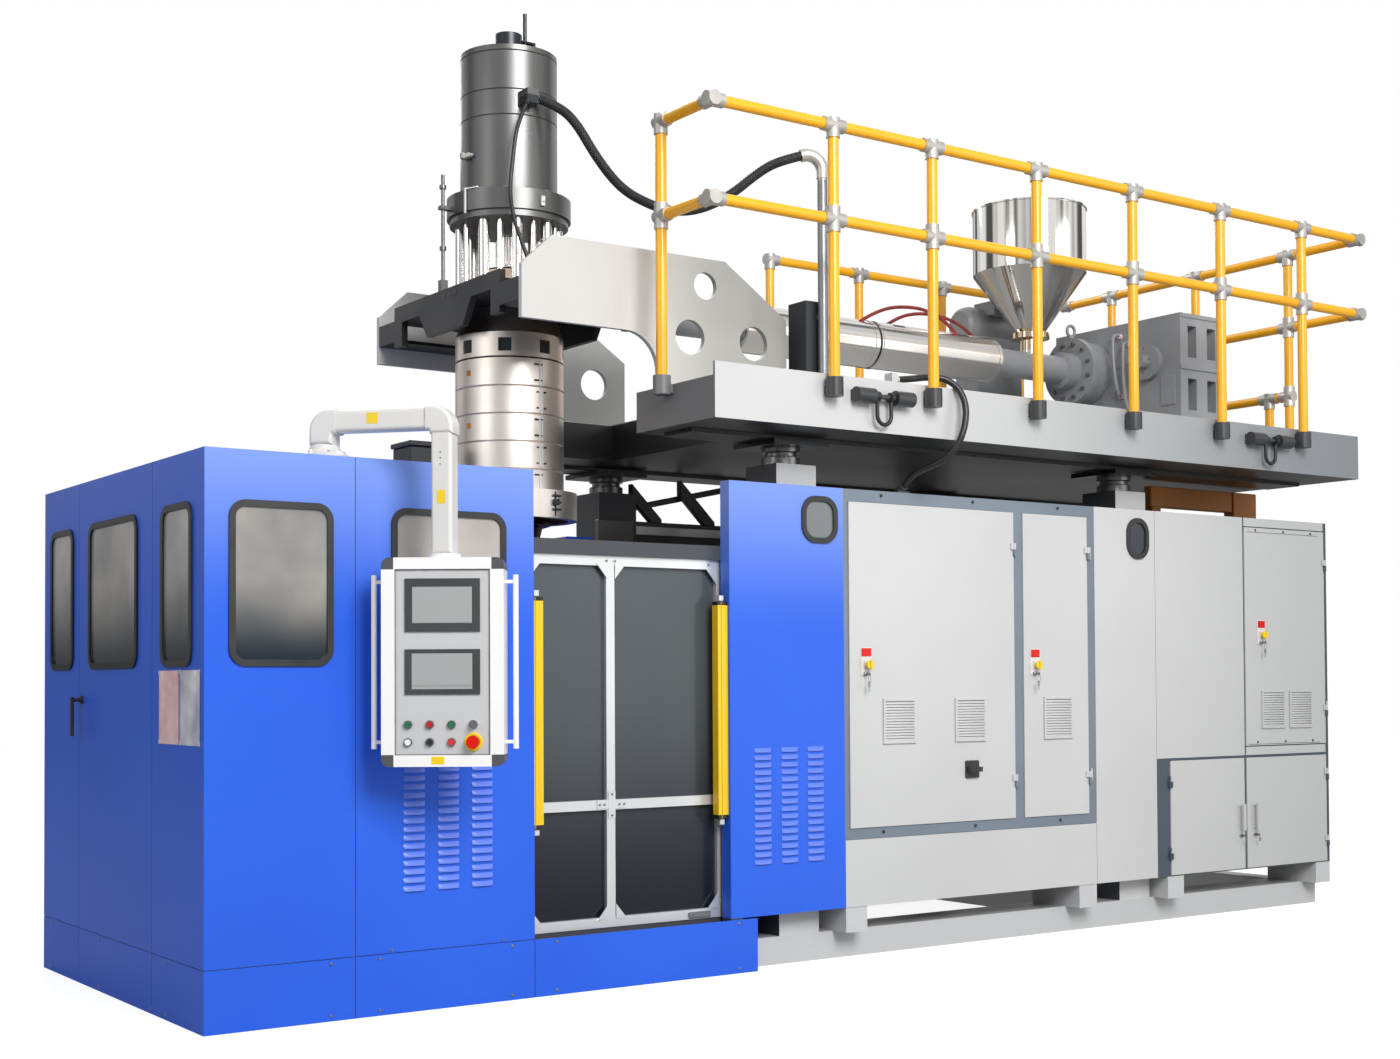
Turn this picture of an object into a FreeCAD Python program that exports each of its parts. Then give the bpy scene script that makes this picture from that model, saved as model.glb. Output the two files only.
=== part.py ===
import FreeCAD, Part
import math
import os

import Sketcher
from FreeCAD import Vector

# Blow moulding machine with an accumulator head, in millimetres.
# The origin is on the floor, straight below the die. +X runs along the machine
# from the mould clamp to the extruder, +Y runs to the back and +Z up.

doc = FreeCAD.newDocument("blow_moulding_machine")
sheet = doc.addObject("Spreadsheet::Sheet", "sizes")

SIZES = [
    # clamp enclosure: distances from the die axis, and heights above the floor
    ("clamp_left", 1760, "die axis to the outside of the left end"),
    ("clamp_front", 975, "die axis to the outside of the front covers"),
    ("clamp_height", 2050, "top of the clamp covers"),
    ("kick_height", 223, "top of the kick plates"),
    ("kick_right", 640, "die axis to the right end of the kick plates"),
    ("sheet_metal", 3, "thickness of covers, doors and kick plates"),
    ("cover_gap", 3, "gap between neighbouring covers"),
    ("panel_split", 1191, "die axis to the joint between the two front covers"),
    ("opening_left", 440, "die axis to the left edge of the mould opening"),
    ("opening_right", 502, "die axis to the right edge of the mould opening"),
    ("corner_depth", 545, "length of the corner cover along the left end"),
    ("leaf_split", 1450, "front plane to the joint between the two end doors"),
    ("post_width", 60, "side of the square posts behind the covers"),
    ("running_gap", 0.3, "clearance between pieces that move on each other"),
    # windows: distances measured on their own cover
    ("window_head", 178, "clamp's top to the upper edge of its windows"),
    ("window_height", 590, "height of the clamp windows"),
    ("window_corner", 62, "corner radius of the clamp windows"),
    ("window_lap", 8, "how far a seal laps over its cover"),
    ("seal_width", 24, "width of the rubber seals"),
    ("seal_proud", 8, "how far the seals stand out"),
    ("pane_thickness", 6, "window pane"),
    ("corner_window_left", 88, "left end to the front window of the corner cover"),
    ("corner_window_width", 393, "front window of the corner cover"),
    ("corner_side_window_front", 114, "front plane to the narrow corner window"),
    ("corner_side_window_width", 324, "narrow window of the corner cover"),
    ("front_window_left", 712, "left end to the window of the second cover"),
    ("front_window_width", 483, "window of the second cover"),
    ("near_window_front", 160, "joint to the window of the wide end door"),
    ("near_window_width", 604, "window of the wide end door"),
    ("far_window_front", 72, "joint to the window of the narrow end door"),
    ("far_window_width", 325, "window of the narrow end door"),
    ("oval_width", 199, "small windows of the right covers"),
    ("oval_height", 205, "height of the small windows"),
    ("oval_head", 42, "top of the right covers to the small windows"),
    ("oval_corner", 75, "corner radius of the small windows"),
    ("leaf_handle", 1159, "height of the end doors' handle"),
    # louvres
    ("louvre_width", 85, "length of one louvre slot"),
    ("louvre_slot", 10, "height of one louvre slot"),
    ("louvre_column", 143, "distance between louvre columns"),
    ("louvre_pitch", 31.5, "distance between louvre rows"),
    ("louvre_bottom", 447, "lowest louvre above the floor"),
    # right hand covers and cabinets
    ("skirt_bottom", 230, "lower edge of the right covers and cabinets"),
    ("cabinet_height", 2066, "top of the right covers and cabinets"),
    ("cover_a_end", 1122, "right end of the blue cover"),
    ("cabinet_a_end", 2704, "right end of the first cabinet"),
    ("column_cover_end", 3142, "right end of the column cover"),
    ("cabinet_b_end", 4527, "right end of the machine's cabinets"),
    ("cabinet_a_depth", 500, "depth of the first cabinet"),
    ("cabinet_b_depth", 600, "depth of the second cabinet"),
    ("case_wall", 4, "wall of the cabinets"),
    ("frame_depth", 40, "depth of the door frames"),
    ("door_sheet", 22, "depth of the cabinet doors"),
    ("door_proud", 3, "how far the cabinet doors stand out"),
    ("door_gap", 2, "gap round the cabinet doors"),
    ("door_a_bottom", 574, "lower edge of the first cabinet's doors"),
    ("door_a_head", 56, "cabinet's top to the first cabinet's doors"),
    ("door_a_left", 1150, "left edge of the large door"),
    ("door_a_middle", 2155, "right edge of the large door"),
    ("door_a_small", 2217, "left edge of the small door"),
    ("door_a_inset", 54, "right end of the first cabinet to its small door"),
    ("lower_plate_top", 525, "top of the plain plate below the doors"),
    ("case_b_left", 3215, "left wall of the second cabinet"),
    ("door_b_split", 3823, "joint between the second cabinet's left and right side"),
    ("door_b_inset", 29, "right end of the second cabinet to its doors"),
    ("door_b_waist", 822, "joint between the second cabinet's lower and upper doors"),
    ("door_b_strip", 44, "height of the bolted strips of the upper door"),
    ("stile", 20, "width of the second cabinet's stiles"),
    ("hinge_inset", 175, "edge of a tall door to its hinge"),
    ("hinge_inset_b", 228, "waist of the second cabinet to the upper door's hinge"),
    ("hinge_inset_low", 116, "edge of a low door to its hinge"),
    ("lock_height", 717, "lower edge of the first cabinet's doors to their locks"),
    ("lock_height_b", 630, "waist of the second cabinet to the upper door's lock"),
    ("switch_height", 238, "lower edge of the large door to the main switch"),
    ("vent_rise", 366, "lower edge of the first cabinet's doors to their vents"),
    ("vent_rise_b", 138, "waist of the second cabinet to the upper door's vents"),
    ("pull_height", 206, "lower edge of the cabinets to the pulls of the low doors"),
    ("pull_length", 136, "length of a pull"),
    ("knuckle_radius", 7, "hinge knuckles"),
    ("knuckle_length", 30, "length of one knuckle"),
    ("vent_width", 192, "filter vents"),
    ("vent_height", 200, "height of the filter vents"),
    ("vent_proud", 5, "how far the vents stand out"),
    # jacks, bed and clamp
    ("jack_side", 220, "side of the jack columns"),
    ("jack_left", 940, "die axis to the left pair of jacks"),
    ("jack_right", 3080, "die axis to the right pair of jacks"),
    ("jack_front", 765, "machine centre to the front pair of jacks"),
    ("jack_back", 685, "machine centre to the rear pair of jacks"),
    ("jack_top", 2170, "top of the jack columns"),
    ("jack_collar", 85, "radius of the jack's collar"),
    ("jack_screw", 60, "radius of the jack's screw"),
    ("jack_screw_length", 600, "length of the screw inside the column"),
    ("jack_plate", 300, "side of the plate on the jack"),
    ("beam_height", 120, "height of the floor beams"),
    ("sill_height", 150, "height of the sills under the clamp"),
    ("sill_width", 120, "width of the floor beams and sills"),
    ("bed_length", 1060, "machine centre to the ends of the clamp bed"),
    ("bed_top", 420, "top of the clamp bed"),
    ("bed_rail_y", 480, "machine centre to the guide rails"),
    ("bed_rail_height", 30, "height of the guide rails"),
    ("platen_open", 430, "die axis to the open platens"),
    ("platen_thickness", 120, "thickness of a platen"),
    ("platen_half_width", 450, "half the width of a platen"),
    ("platen_top", 1720, "top of the platens"),
    ("tie_bar_radius", 35, "radius of the tie bars"),
    ("tie_bar_y", 380, "machine centre to the tie bars"),
    ("tie_bar_low", 570, "height of the lower tie bars"),
    ("tie_bar_high", 1640, "height of the upper tie bars"),
    ("cylinder_radius", 100, "radius of the clamp cylinders"),
    ("cylinder_length", 320, "length of the clamp cylinders"),
    ("piston_rod", 45, "radius of the clamp piston rods"),
    ("cylinder_z", 1105, "height of the clamp cylinders"),
    ("blow_pin_radius", 30, "radius of the blow pin's rod"),
    # sliding door and light curtains
    ("door_profile", 40, "aluminium profile of the sliding door"),
    ("door_left", 460, "die axis to the left edge of the sliding door"),
    ("door_right", 530, "die axis to the right edge of the sliding door"),
    ("door_bottom", 232, "lower edge of the sliding door"),
    ("door_top", 1732, "upper edge of the sliding door"),
    ("door_stile", 38, "die axis to the middle stile"),
    ("door_rail", 725, "height of the middle rail"),
    ("door_back", 855, "machine centre to the back of the sliding door"),
    ("door_pane", 5, "panes of the sliding door"),
    ("track_left", 1340, "die axis to the left end of the door track"),
    ("curtain_width", 50, "width of a light curtain bar"),
    ("curtain_depth", 40, "depth of a light curtain bar"),
    ("curtain_bottom", 648, "lower end of the light curtains"),
    ("curtain_top", 1556, "upper end of the light curtains"),
    # platform
    ("platform_left", 290, "left end of the platform"),
    ("platform_right", 4540, "right end of the platform"),
    ("platform_front", 1175, "machine centre to the front skirt"),
    ("platform_back", 865, "machine centre to the rear skirt"),
    ("platform_bottom", 2290, "underside of the platform"),
    ("flange_bottom", 2274, "underside of the plates between platform and jacks"),
    ("flange_inset", 98, "platform's left end to those plates"),
    ("flange_width", 210, "width of those plates"),
    ("platform_top", 2465, "top of the deck"),
    ("skirt_top", 2520, "top edge of the front skirt"),
    ("platform_plate", 12, "plates of the platform"),
    ("bay_right", 735, "die axis to the wall of the bay beside the head"),
    ("bay_front", 595, "machine centre to the front of the bay"),
    ("bay_back", 300, "machine centre to the back of the bay"),
    # guard rail
    ("rail_radius", 24, "radius of the guard rail tubes"),
    ("rail_offset", 38, "skirt to the centre of the guard rail"),
    ("rail_top", 3570, "height of the top rail"),
    ("rail_middle", 3170, "height of the middle rail"),
    ("rail_low", 2787, "height of the low rail at the right end"),
    ("rail_left", 252, "die axis to the left elbow"),
    ("rail_right", 4505, "die axis to the right elbow"),
    ("rail_first_post", 883, "die axis to the first front post"),
    ("rail_second_post", 1444, "die axis to the second front post"),
    ("rail_pitch", 645, "distance between the other posts"),
    ("rail_end_post", 847, "machine centre to the post of the left end"),
    ("rail_low_post", 631, "machine centre to the short post of the low rail"),
    ("rail_side_post", 765, "machine centre to the first post of the right end"),
    ("rail_rear_left", 2160, "die axis to the left end of the rear rail"),
    ("fitting_radius", 30, "radius of the rail fittings"),
    ("fitting_length", 55, "length of a fitting's socket"),
    ("clamp_bottom", 2420, "lower end of the post clamps"),
    ("clamp_top", 2500, "upper end of the post clamps"),
    # carrier of the accumulator head
    ("carrier_y", 684, "machine centre to the outside of the carrier plates"),
    ("carrier_plate", 25, "thickness of the carrier plates"),
    ("carrier_left", 325, "die axis to the left edge of the carrier plates"),
    ("carrier_right", 1038, "die axis to the right edge of the carrier plates"),
    ("carrier_leg", 344, "die axis to the left edge of the legs"),
    ("carrier_low", 2712, "underside of the carrier plates"),
    ("carrier_nose", 2933, "height of the left upper corner"),
    ("carrier_top", 3067, "upper edge of the carrier plates"),
    ("carrier_shoulder", 2843, "height of the right upper corner"),
    ("carrier_slope_left", 180, "die axis to the end of the left chamfer"),
    ("carrier_slope_right", 700, "die axis to the start of the right chamfer"),
    ("carrier_arc", 162, "radius between arm and leg"),
    ("carrier_bore", 76.5, "radius of the two large holes"),
    ("carrier_small_bore", 60, "radius of the small hole"),
    ("beam_half", 495, "half the length of the notched beam plate"),
    ("beam_plate", 30, "thickness of the beam plates"),
    ("beam_low", 2762, "lower edge of the beam plates"),
    ("beam_top", 2945, "upper edge of the beam plates"),
    ("notch_height", 108, "height of the notches"),
    ("notch_top", 175, "length of a notch along its top"),
    ("notch_slope", 75, "run of a notch's sloping side"),
    ("notch_centre", 332.5, "machine centre to a notch"),
    ("seat_low", 2870, "underside of the plate that the head hangs from"),
    ("seat_top", 2910, "top of the plate that the head hangs from"),
    ("shelf_low", 2790, "underside of the side shelves"),
    # accumulator head
    ("head_radius", 241, "radius of the heater cover"),
    ("head_bottom", 2079, "lower end of the heater cover"),
    ("ring_low", 2637, "lower edge of the windowed ring"),
    ("ring_high", 2751, "upper edge of the windowed ring"),
    ("collar_radius", 198, "radius of the collar"),
    ("band_pitch", 121, "height of one heater band"),
    ("band_groove", 4, "groove between heater bands"),
    ("ring_window", 58, "side of the square ring windows"),
    ("chamber_radius", 150, "bore of the accumulator"),
    ("chamber_bottom", 2200, "lower end of the bore"),
    ("chamber_top", 2830, "upper end of the bore"),
    ("plunger_length", 120, "length of the annular plunger"),
    ("plunger_rod", 60, "radius of the plunger's rod"),
    ("plunger_rod_top", 3520, "upper end of the plunger's rod at rest"),
    ("mandrel_radius", 28, "radius of the mandrel's rod"),
    ("mandrel_top", 3690, "upper end of the mandrel's rod"),
    ("die_tip", 1800, "lower end of the die"),
    ("die_ring_low", 1939, "lower edge of the die's cover ring"),
    ("die_ring_high", 2061, "upper edge of the die's cover ring"),
    ("die_ring_radius", 300, "radius of the die's cover ring"),
    ("die_shoulder", 180, "radius of the die where it leaves its ring"),
    ("die_nose", 85, "radius of the die's lower end"),
    ("die_bore", 62, "bore of the die"),
    ("column_circle", 215, "radius of the circle of columns"),
    ("column_radius", 25, "radius of the thick columns"),
    ("thin_column_radius", 12, "radius of the thin rods"),
    ("flange_low", 3255, "underside of the cylinder flange"),
    ("flange_high", 3374, "top of the cylinder flange"),
    ("flange_radius", 277, "radius of the cylinder flange"),
    ("flange_lip", 12, "step at the flange's lower edge"),
    ("cylinder_top", 4020, "top of the hydraulic cylinder"),
    ("head_cylinder_radius", 217, "radius of the hydraulic cylinder"),
    ("seam_first", 25, "cylinder's top to its first seam"),
    ("seam_second", 196, "cylinder's top to its second seam"),
    ("seam_third", 309, "cylinder's top to its third seam"),
    ("seam_groove", 3, "depth of the cylinder's seams"),
    ("transducer_x", 310, "die axis to the transducer's rod"),
    ("transducer_y", 40, "machine centre to the transducer's rod"),
    ("transducer_top", 3461, "top of the transducer's rod"),
    ("transducer_radius", 8, "radius of the transducer's rod"),
    ("cylinder_bore_top", 3720, "upper end of the cylinder's bore"),
    ("cap_radius", 95, "radius of the cap"),
    ("cap_top", 4130, "top of the cap"),
    ("sensor_top", 4235, "top of the position sensor"),
    # extruder
    ("screw_z", 2948, "height of the extruder's axis"),
    ("barrel_radius", 75, "radius of the barrel"),
    ("barrel_bore", 45, "bore of the barrel"),
    ("barrel_end", 3570, "die axis to the barrel's flange"),
    ("barrel_flange", 185, "radius of the barrel's flange"),
    ("barrel_flange_thickness", 40, "thickness of the barrel's flange"),
    ("barrel_cover_radius", 120, "radius of the barrel cover"),
    ("barrel_cover_start", 1240, "left end of the barrel cover"),
    ("barrel_cover_seam", 2093, "joint of the two halves of the cover"),
    ("barrel_cover_end", 2950, "right end of the barrel cover"),
    ("cover_sheet", 4, "thickness of the barrel cover and hopper"),
    ("inlet_radius", 130, "radius of the head's neck that the barrel feeds"),
    ("inlet_top", 3060, "top of the head's neck"),
    ("screw_clearance", 0.3, "clearance of the screw in its barrel"),
    ("screw_root", 30, "root radius of the screw"),
    ("hopper_x", 3270, "die axis to the hopper's centre"),
    ("hopper_radius", 308, "radius of the hopper"),
    ("hopper_top", 3805, "rim of the hopper"),
    ("hopper_waist", 3450, "height where the cone begins"),
    ("hopper_neck", 3125, "height where the cone ends"),
    ("throat_radius", 60, "radius of the throat"),
    ("throat_flange", 105, "radius of the throat's flange"),
    ("gearbox_left", 3733, "left face of the gearbox"),
    ("gearbox_width", 312, "width of the gearbox"),
    ("gearbox_front", 655, "machine centre to the front of the gearbox"),
    ("gearbox_back", 250, "machine centre to the back of the gearbox"),
    ("gearbox_top", 3190, "top of the gearbox"),
    ("bedplate_top", 2550, "top of the gearbox's bedplate"),
    ("gearbox_seam", 2899, "height of the joint of the gearbox's halves"),
    ("pocket_width", 70, "width of the gearbox's pockets"),
    ("pocket_height", 170, "height of the gearbox's pockets"),
    ("pocket_depth", 60, "depth of the gearbox's pockets"),
    ("boss_y", 440, "machine centre to the input bearing cap"),
    ("boss_radius", 95, "radius of the input bearing cap"),
    ("motor_radius", 110, "radius of the drive motor"),
    ("motor_length", 460, "length of the drive motor"),
    ("motor_y", 400, "machine centre to the motor's axis"),
    # hose mast, hose and cables
    ("mast_x", 1158, "die axis to the hose mast"),
    ("mast_y", 800, "machine centre to the hose mast"),
    ("mast_radius", 23, "radius of the mast's pipe"),
    ("mast_top", 3514, "height where the swan neck begins"),
    ("mast_bend", 69, "radius of the swan neck's axis"),
    ("mast_angle", 105, "degrees that the swan neck turns"),
    ("channel_height", 460, "height of the channel beside the mast"),
    ("hose_radius", 21, "radius of the braided hose"),
    ("cable_radius", 9, "radius of the head's cable"),
    ("lead_radius", 15, "radius of the hose from the platform"),
    ("socket_length", 45, "length of the ferrules of hose and cables"),
    # swing arm and console
    ("arm_x", 1270, "die axis to the arm's pivot"),
    ("arm_y", 882, "machine centre to the arm's pivot"),
    ("arm_side", 80, "side of the arm's square tube"),
    ("arm_edge", 14, "radius along the edges of the arm's tube"),
    ("arm_bend", 74, "outer radius of the arm's elbows"),
    ("arm_sleeve", 58, "corner of the arm to the ends of its elbows"),
    ("arm_elbow", 5, "how far the elbows stand out from the tube"),
    ("arm_rise", 130, "clamp's top to the middle of the arm's level tube"),
    ("arm_foot", 88, "radius of the arm's foot on the roof"),
    ("arm_foot_height", 46, "height of the arm's fixed foot"),
    ("console_collar", 57, "radius of the collar on the console"),
    ("arm_reach_x", 315, "run of the arm along the machine"),
    ("arm_reach_y", 343, "run of the arm away from the machine"),
    ("console_width", 440, "width of the console's housing"),
    ("console_height", 751, "height of the console's housing"),
    ("console_depth", 120, "depth of the console's housing"),
    ("console_top", 1671, "top of the console"),
    ("console_turn", 35.1, "degrees that the console is turned to the left"),
    ("console_neck", 15, "height of the neck on the console"),
    ("console_side", 50, "width of the console's side strips"),
    ("console_end", 43, "height of the console's end strips"),
    ("console_proud", 6, "how far the strips and screens stand out"),
    ("console_corner", 28, "radius of the console's corners"),
    ("screen_width", 270, "width of the screens"),
    ("screen_high", 191, "height of the upper screen"),
    ("screen_high_drop", 267, "console's top to the upper screen's lower edge"),
    ("screen_low", 162, "height of the lower screen"),
    ("screen_low_drop", 492, "console's top to the lower screen's lower edge"),
    ("button_radius", 15, "radius of a push button"),
    ("stop_travel", 6, "travel of the emergency stop"),
    ("button_left", -124, "console's middle to the left column of buttons"),
    ("button_pitch", 78, "distance between columns of buttons"),
    ("button_row_high", 600, "console's top to the upper row of buttons"),
    ("button_row_low", 663, "console's top to the lower row of buttons"),
    ("handle_reach", 37, "side of the console to the middle of a handle"),
    ("handle_length", 629, "length of a handle"),
    ("handle_radius", 10, "radius of a handle"),
    ("mushroom_radius", 23, "radius of the emergency stop"),
]

VALUES = {name: value for name, value, note in SIZES}


class Size(float):
    """A number that carries the sheet's formula with it."""

    def __new__(cls, number, formula):
        made = float.__new__(cls, number)
        made.formula = formula
        return made

    def joined(self, other, number, sign, turned=False):
        first, second = formula_of(self), formula_of(other)
        if turned:
            first, second = second, first
        return Size(number, "(" + first + sign + second + ")")

    def __add__(self, other):
        return self.joined(other, float(self) + float(other), " + ")

    def __radd__(self, other):
        return self.joined(other, float(other) + float(self), " + ", True)

    def __sub__(self, other):
        return self.joined(other, float(self) - float(other), " - ")

    def __rsub__(self, other):
        return self.joined(other, float(other) - float(self), " - ", True)

    def __mul__(self, other):
        return self.joined(other, float(self) * float(other), " * ")

    def __rmul__(self, other):
        return self.joined(other, float(other) * float(self), " * ", True)

    def __truediv__(self, other):
        return self.joined(other, float(self) / float(other), " / ")

    def __neg__(self):
        return Size(-float(self), "(-" + self.formula + ")")


def formula_of(value):
    """Give the text that stands for a value in a formula of the sheet."""
    return value.formula if isinstance(value, Size) else repr(float(value))


for row, (name, value, note) in enumerate(SIZES, start=1):
    sheet.set("A%d" % row, name)
    sheet.set("B%d" % row, str(value))
    sheet.setAlias("B%d" % row, name)
    sheet.set("C%d" % row, note)
doc.recompute()


class Sizes:
    """Look up a size of the sheet by its alias."""

    def __getattr__(self, name):
        return Size(VALUES[name], "sizes." + name)


s = Sizes()


def bind(item, prop, value):
    """Bind a property to the sheet where the value comes from it."""
    item.setExpression(prop, formula_of(value))


def place(item, x, y, z):
    """Put an object at a point of the machine's frame."""
    bind(item, "Placement.Base.x", x)
    bind(item, "Placement.Base.y", y)
    bind(item, "Placement.Base.z", z)


def turn(item, axis, degrees):
    """Turn an object's placement about an axis through its base."""
    item.Placement = FreeCAD.Placement(Vector(), FreeCAD.Rotation(axis, degrees))


# ---------------------------------------------------------------- primitives

def box(name, x, y, z):
    """A block between two values along each axis."""
    block = doc.addObject("Part::Box", name)
    bind(block, "Length", x[1] - x[0])
    bind(block, "Width", y[1] - y[0])
    bind(block, "Height", z[1] - z[0])
    place(block, x[0], y[0], z[0])
    return block


AXES = {"X": (Vector(0, 1, 0), 90), "Y": (Vector(1, 0, 0), -90), "Z": (Vector(0, 0, 1), 0)}


def rod(name, axis, start, length, radius):
    """A round bar that runs along +X, +Y or +Z from a point."""
    bar = doc.addObject("Part::Cylinder", name)
    turn(bar, *AXES[axis])
    bind(bar, "Radius", radius)
    bind(bar, "Height", length)
    place(bar, *start)
    return bar


def fuse(name, pieces):
    """One solid out of pieces that were welded or cast together."""
    whole = doc.addObject("Part::MultiFuse", name)
    whole.Shapes = pieces
    whole.Refine = True
    return whole


def cut(name, base, tools):
    """A piece with one or more tools taken out of it."""
    for index, tool in enumerate(tools):
        result = doc.addObject("Part::Cut", "%s_%d" % (name, index))
        result.Base = base
        result.Tool = tool
        base = result
    return base


def group(name, pieces):
    """Separate solids that share one node."""
    together = doc.addObject("Part::Compound", name)
    together.Links = pieces
    return together


# ------------------------------------------------------------------ sketches

def polygon(sketch, points):
    """A closed outline of straight lines, each corner held by two dimensions."""
    first = sketch.GeometryCount
    for index, start in enumerate(points):
        end = points[(index + 1) % len(points)]
        line = Part.LineSegment(Vector(start[0], start[1], 0), Vector(end[0], end[1], 0))
        sketch.addGeometry(line, False)
    count = len(points)
    for index, corner in enumerate(points):
        line = first + index
        following = first + (index + 1) % count
        sketch.addConstraint(Sketcher.Constraint("Coincident", line, 2, following, 1))
        hold(sketch, "DistanceX", line, 1, corner[0])
        hold(sketch, "DistanceY", line, 1, corner[1])


def hold(sketch, kind, line, end, value):
    """Hold one end of a line at a distance from the sketch's origin."""
    constraint = Sketcher.Constraint(kind, -1, 1, line, end, float(value))
    number = sketch.addConstraint(constraint)
    sketch.setExpression("Constraints[%d]" % number, formula_of(value))


def circle(sketch, centre, radius):
    """A circle held by its centre and radius."""
    shape = Part.Circle(Vector(centre[0], centre[1], 0), Vector(0, 0, 1), float(radius))
    line = sketch.addGeometry(shape, False)
    hold(sketch, "DistanceX", line, 3, centre[0])
    hold(sketch, "DistanceY", line, 3, centre[1])
    number = sketch.addConstraint(Sketcher.Constraint("Radius", line, float(radius)))
    sketch.setExpression("Constraints[%d]" % number, formula_of(radius))


def rounded(sketch, x, y, radius):
    """A rectangle with four round corners."""
    x0, x1, y0, y1 = float(x[0]), float(x[1]), float(y[0]), float(y[1])
    r = float(radius)
    quarter = math.pi / 2
    corners = [(x1 - r, y0 + r, -quarter), (x1 - r, y1 - r, 0), (x0 + r, y1 - r, quarter),
               (x0 + r, y0 + r, 2 * quarter)]
    ends = [((x0 + r, y0), (x1 - r, y0)), ((x1, y0 + r), (x1, y1 - r)),
            ((x1 - r, y1), (x0 + r, y1)), ((x0, y1 - r), (x0, y0 + r))]
    first = sketch.GeometryCount
    for side, (cx, cy, angle) in zip(ends, corners):
        line = Part.LineSegment(Vector(side[0][0], side[0][1], 0), Vector(side[1][0], side[1][1], 0))
        sketch.addGeometry(line, False)
        ring = Part.Circle(Vector(cx, cy, 0), Vector(0, 0, 1), r)
        sketch.addGeometry(Part.ArcOfCircle(ring, angle, angle + quarter), False)
    for side in range(4):
        line, arc = first + 2 * side, first + 2 * side + 1
        following = first + (2 * side + 2) % 8
        sketch.addConstraint(Sketcher.Constraint("Tangent", line, 2, arc, 1))
        sketch.addConstraint(Sketcher.Constraint("Tangent", arc, 2, following, 1))
        if side:
            sketch.addConstraint(Sketcher.Constraint("Equal", first + 1, arc))
    number = sketch.addConstraint(Sketcher.Constraint("Radius", first + 1, r))
    sketch.setExpression("Constraints[%d]" % number, formula_of(radius))
    sketch.addConstraint(Sketcher.Constraint("Horizontal", first))
    hold(sketch, "DistanceY", first, 1, y[0])
    hold(sketch, "DistanceX", first + 2, 1, x[1])
    hold(sketch, "DistanceY", first + 4, 1, y[1])
    hold(sketch, "DistanceX", first + 6, 1, x[0])


PLANES = {"X": "YZ_Plane", "Y": "XZ_Plane", "Z": "XY_Plane"}


def sketch_on(body, axis, level, draw):
    """A sketch of a body, square to an axis at a level along it."""
    sketch = body.newObject("Sketcher::SketchObject", body.Name + "_sketch")
    plane = [item for item in body.Origin.OriginFeatures if item.Role == PLANES[axis]][0]
    sketch.AttachmentSupport = [(plane, "")]
    sketch.MapMode = "FlatFace"
    # the XZ plane looks along -Y, so its offset runs the other way
    bind(sketch, "AttachmentOffset.Base.z", -level if axis == "Y" else level)
    for shape, *values in draw:
        shape(sketch, *values)
    return sketch


def padded(name, axis, span, draw):
    """A body whose first feature is a profile padded between two levels."""
    body = doc.addObject("PartDesign::Body", name)
    start = span[1] if axis == "Y" else span[0]
    pad = body.newObject("PartDesign::Pad", name + "_pad")
    pad.Profile = sketch_on(body, axis, start, draw)
    bind(pad, "Length", span[1] - span[0])
    body.Tip = pad
    doc.recompute()
    return body


def pocket(body, axis, span, draw):
    """Cut a profile out of a body between two levels."""
    before = body.Shape.Volume
    start = span[0] if axis == "Y" else span[1]
    hole = body.newObject("PartDesign::Pocket", body.Name + "_pocket")
    hole.Profile = sketch_on(body, axis, start, draw)
    bind(hole, "Length", span[1] - span[0])
    body.Tip = hole
    doc.recompute()
    if not body.Shape.Volume < before - 1:
        raise RuntimeError("the pocket of %s cuts nothing" % body.Name)
    return hole


def turned(name, profile, x=0, y=0, z=0, axis="Z"):
    """A turned piece: a profile of (radius, height) corners round an axis."""
    body = doc.addObject("PartDesign::Body", name)
    revolution = body.newObject("PartDesign::Revolution", name + "_turn")
    sketch = sketch_on(body, "Y", 0, [(polygon, profile)])
    revolution.Profile = sketch
    revolution.ReferenceAxis = (sketch, ["V_Axis"])
    revolution.Angle = 360
    body.Tip = revolution
    if axis != "Z":
        turn(body, *AXES[axis])
    place(body, x, y, z)
    doc.recompute()
    return body


# --------------------------------------------------------- floor frame, jacks

FRONT = -s.clamp_front
BACK = s.clamp_front
SHEET = s.sheet_metal
inner_front = FRONT + SHEET
inner_back = BACK - SHEET
inner_left = -s.clamp_left + SHEET


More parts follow.
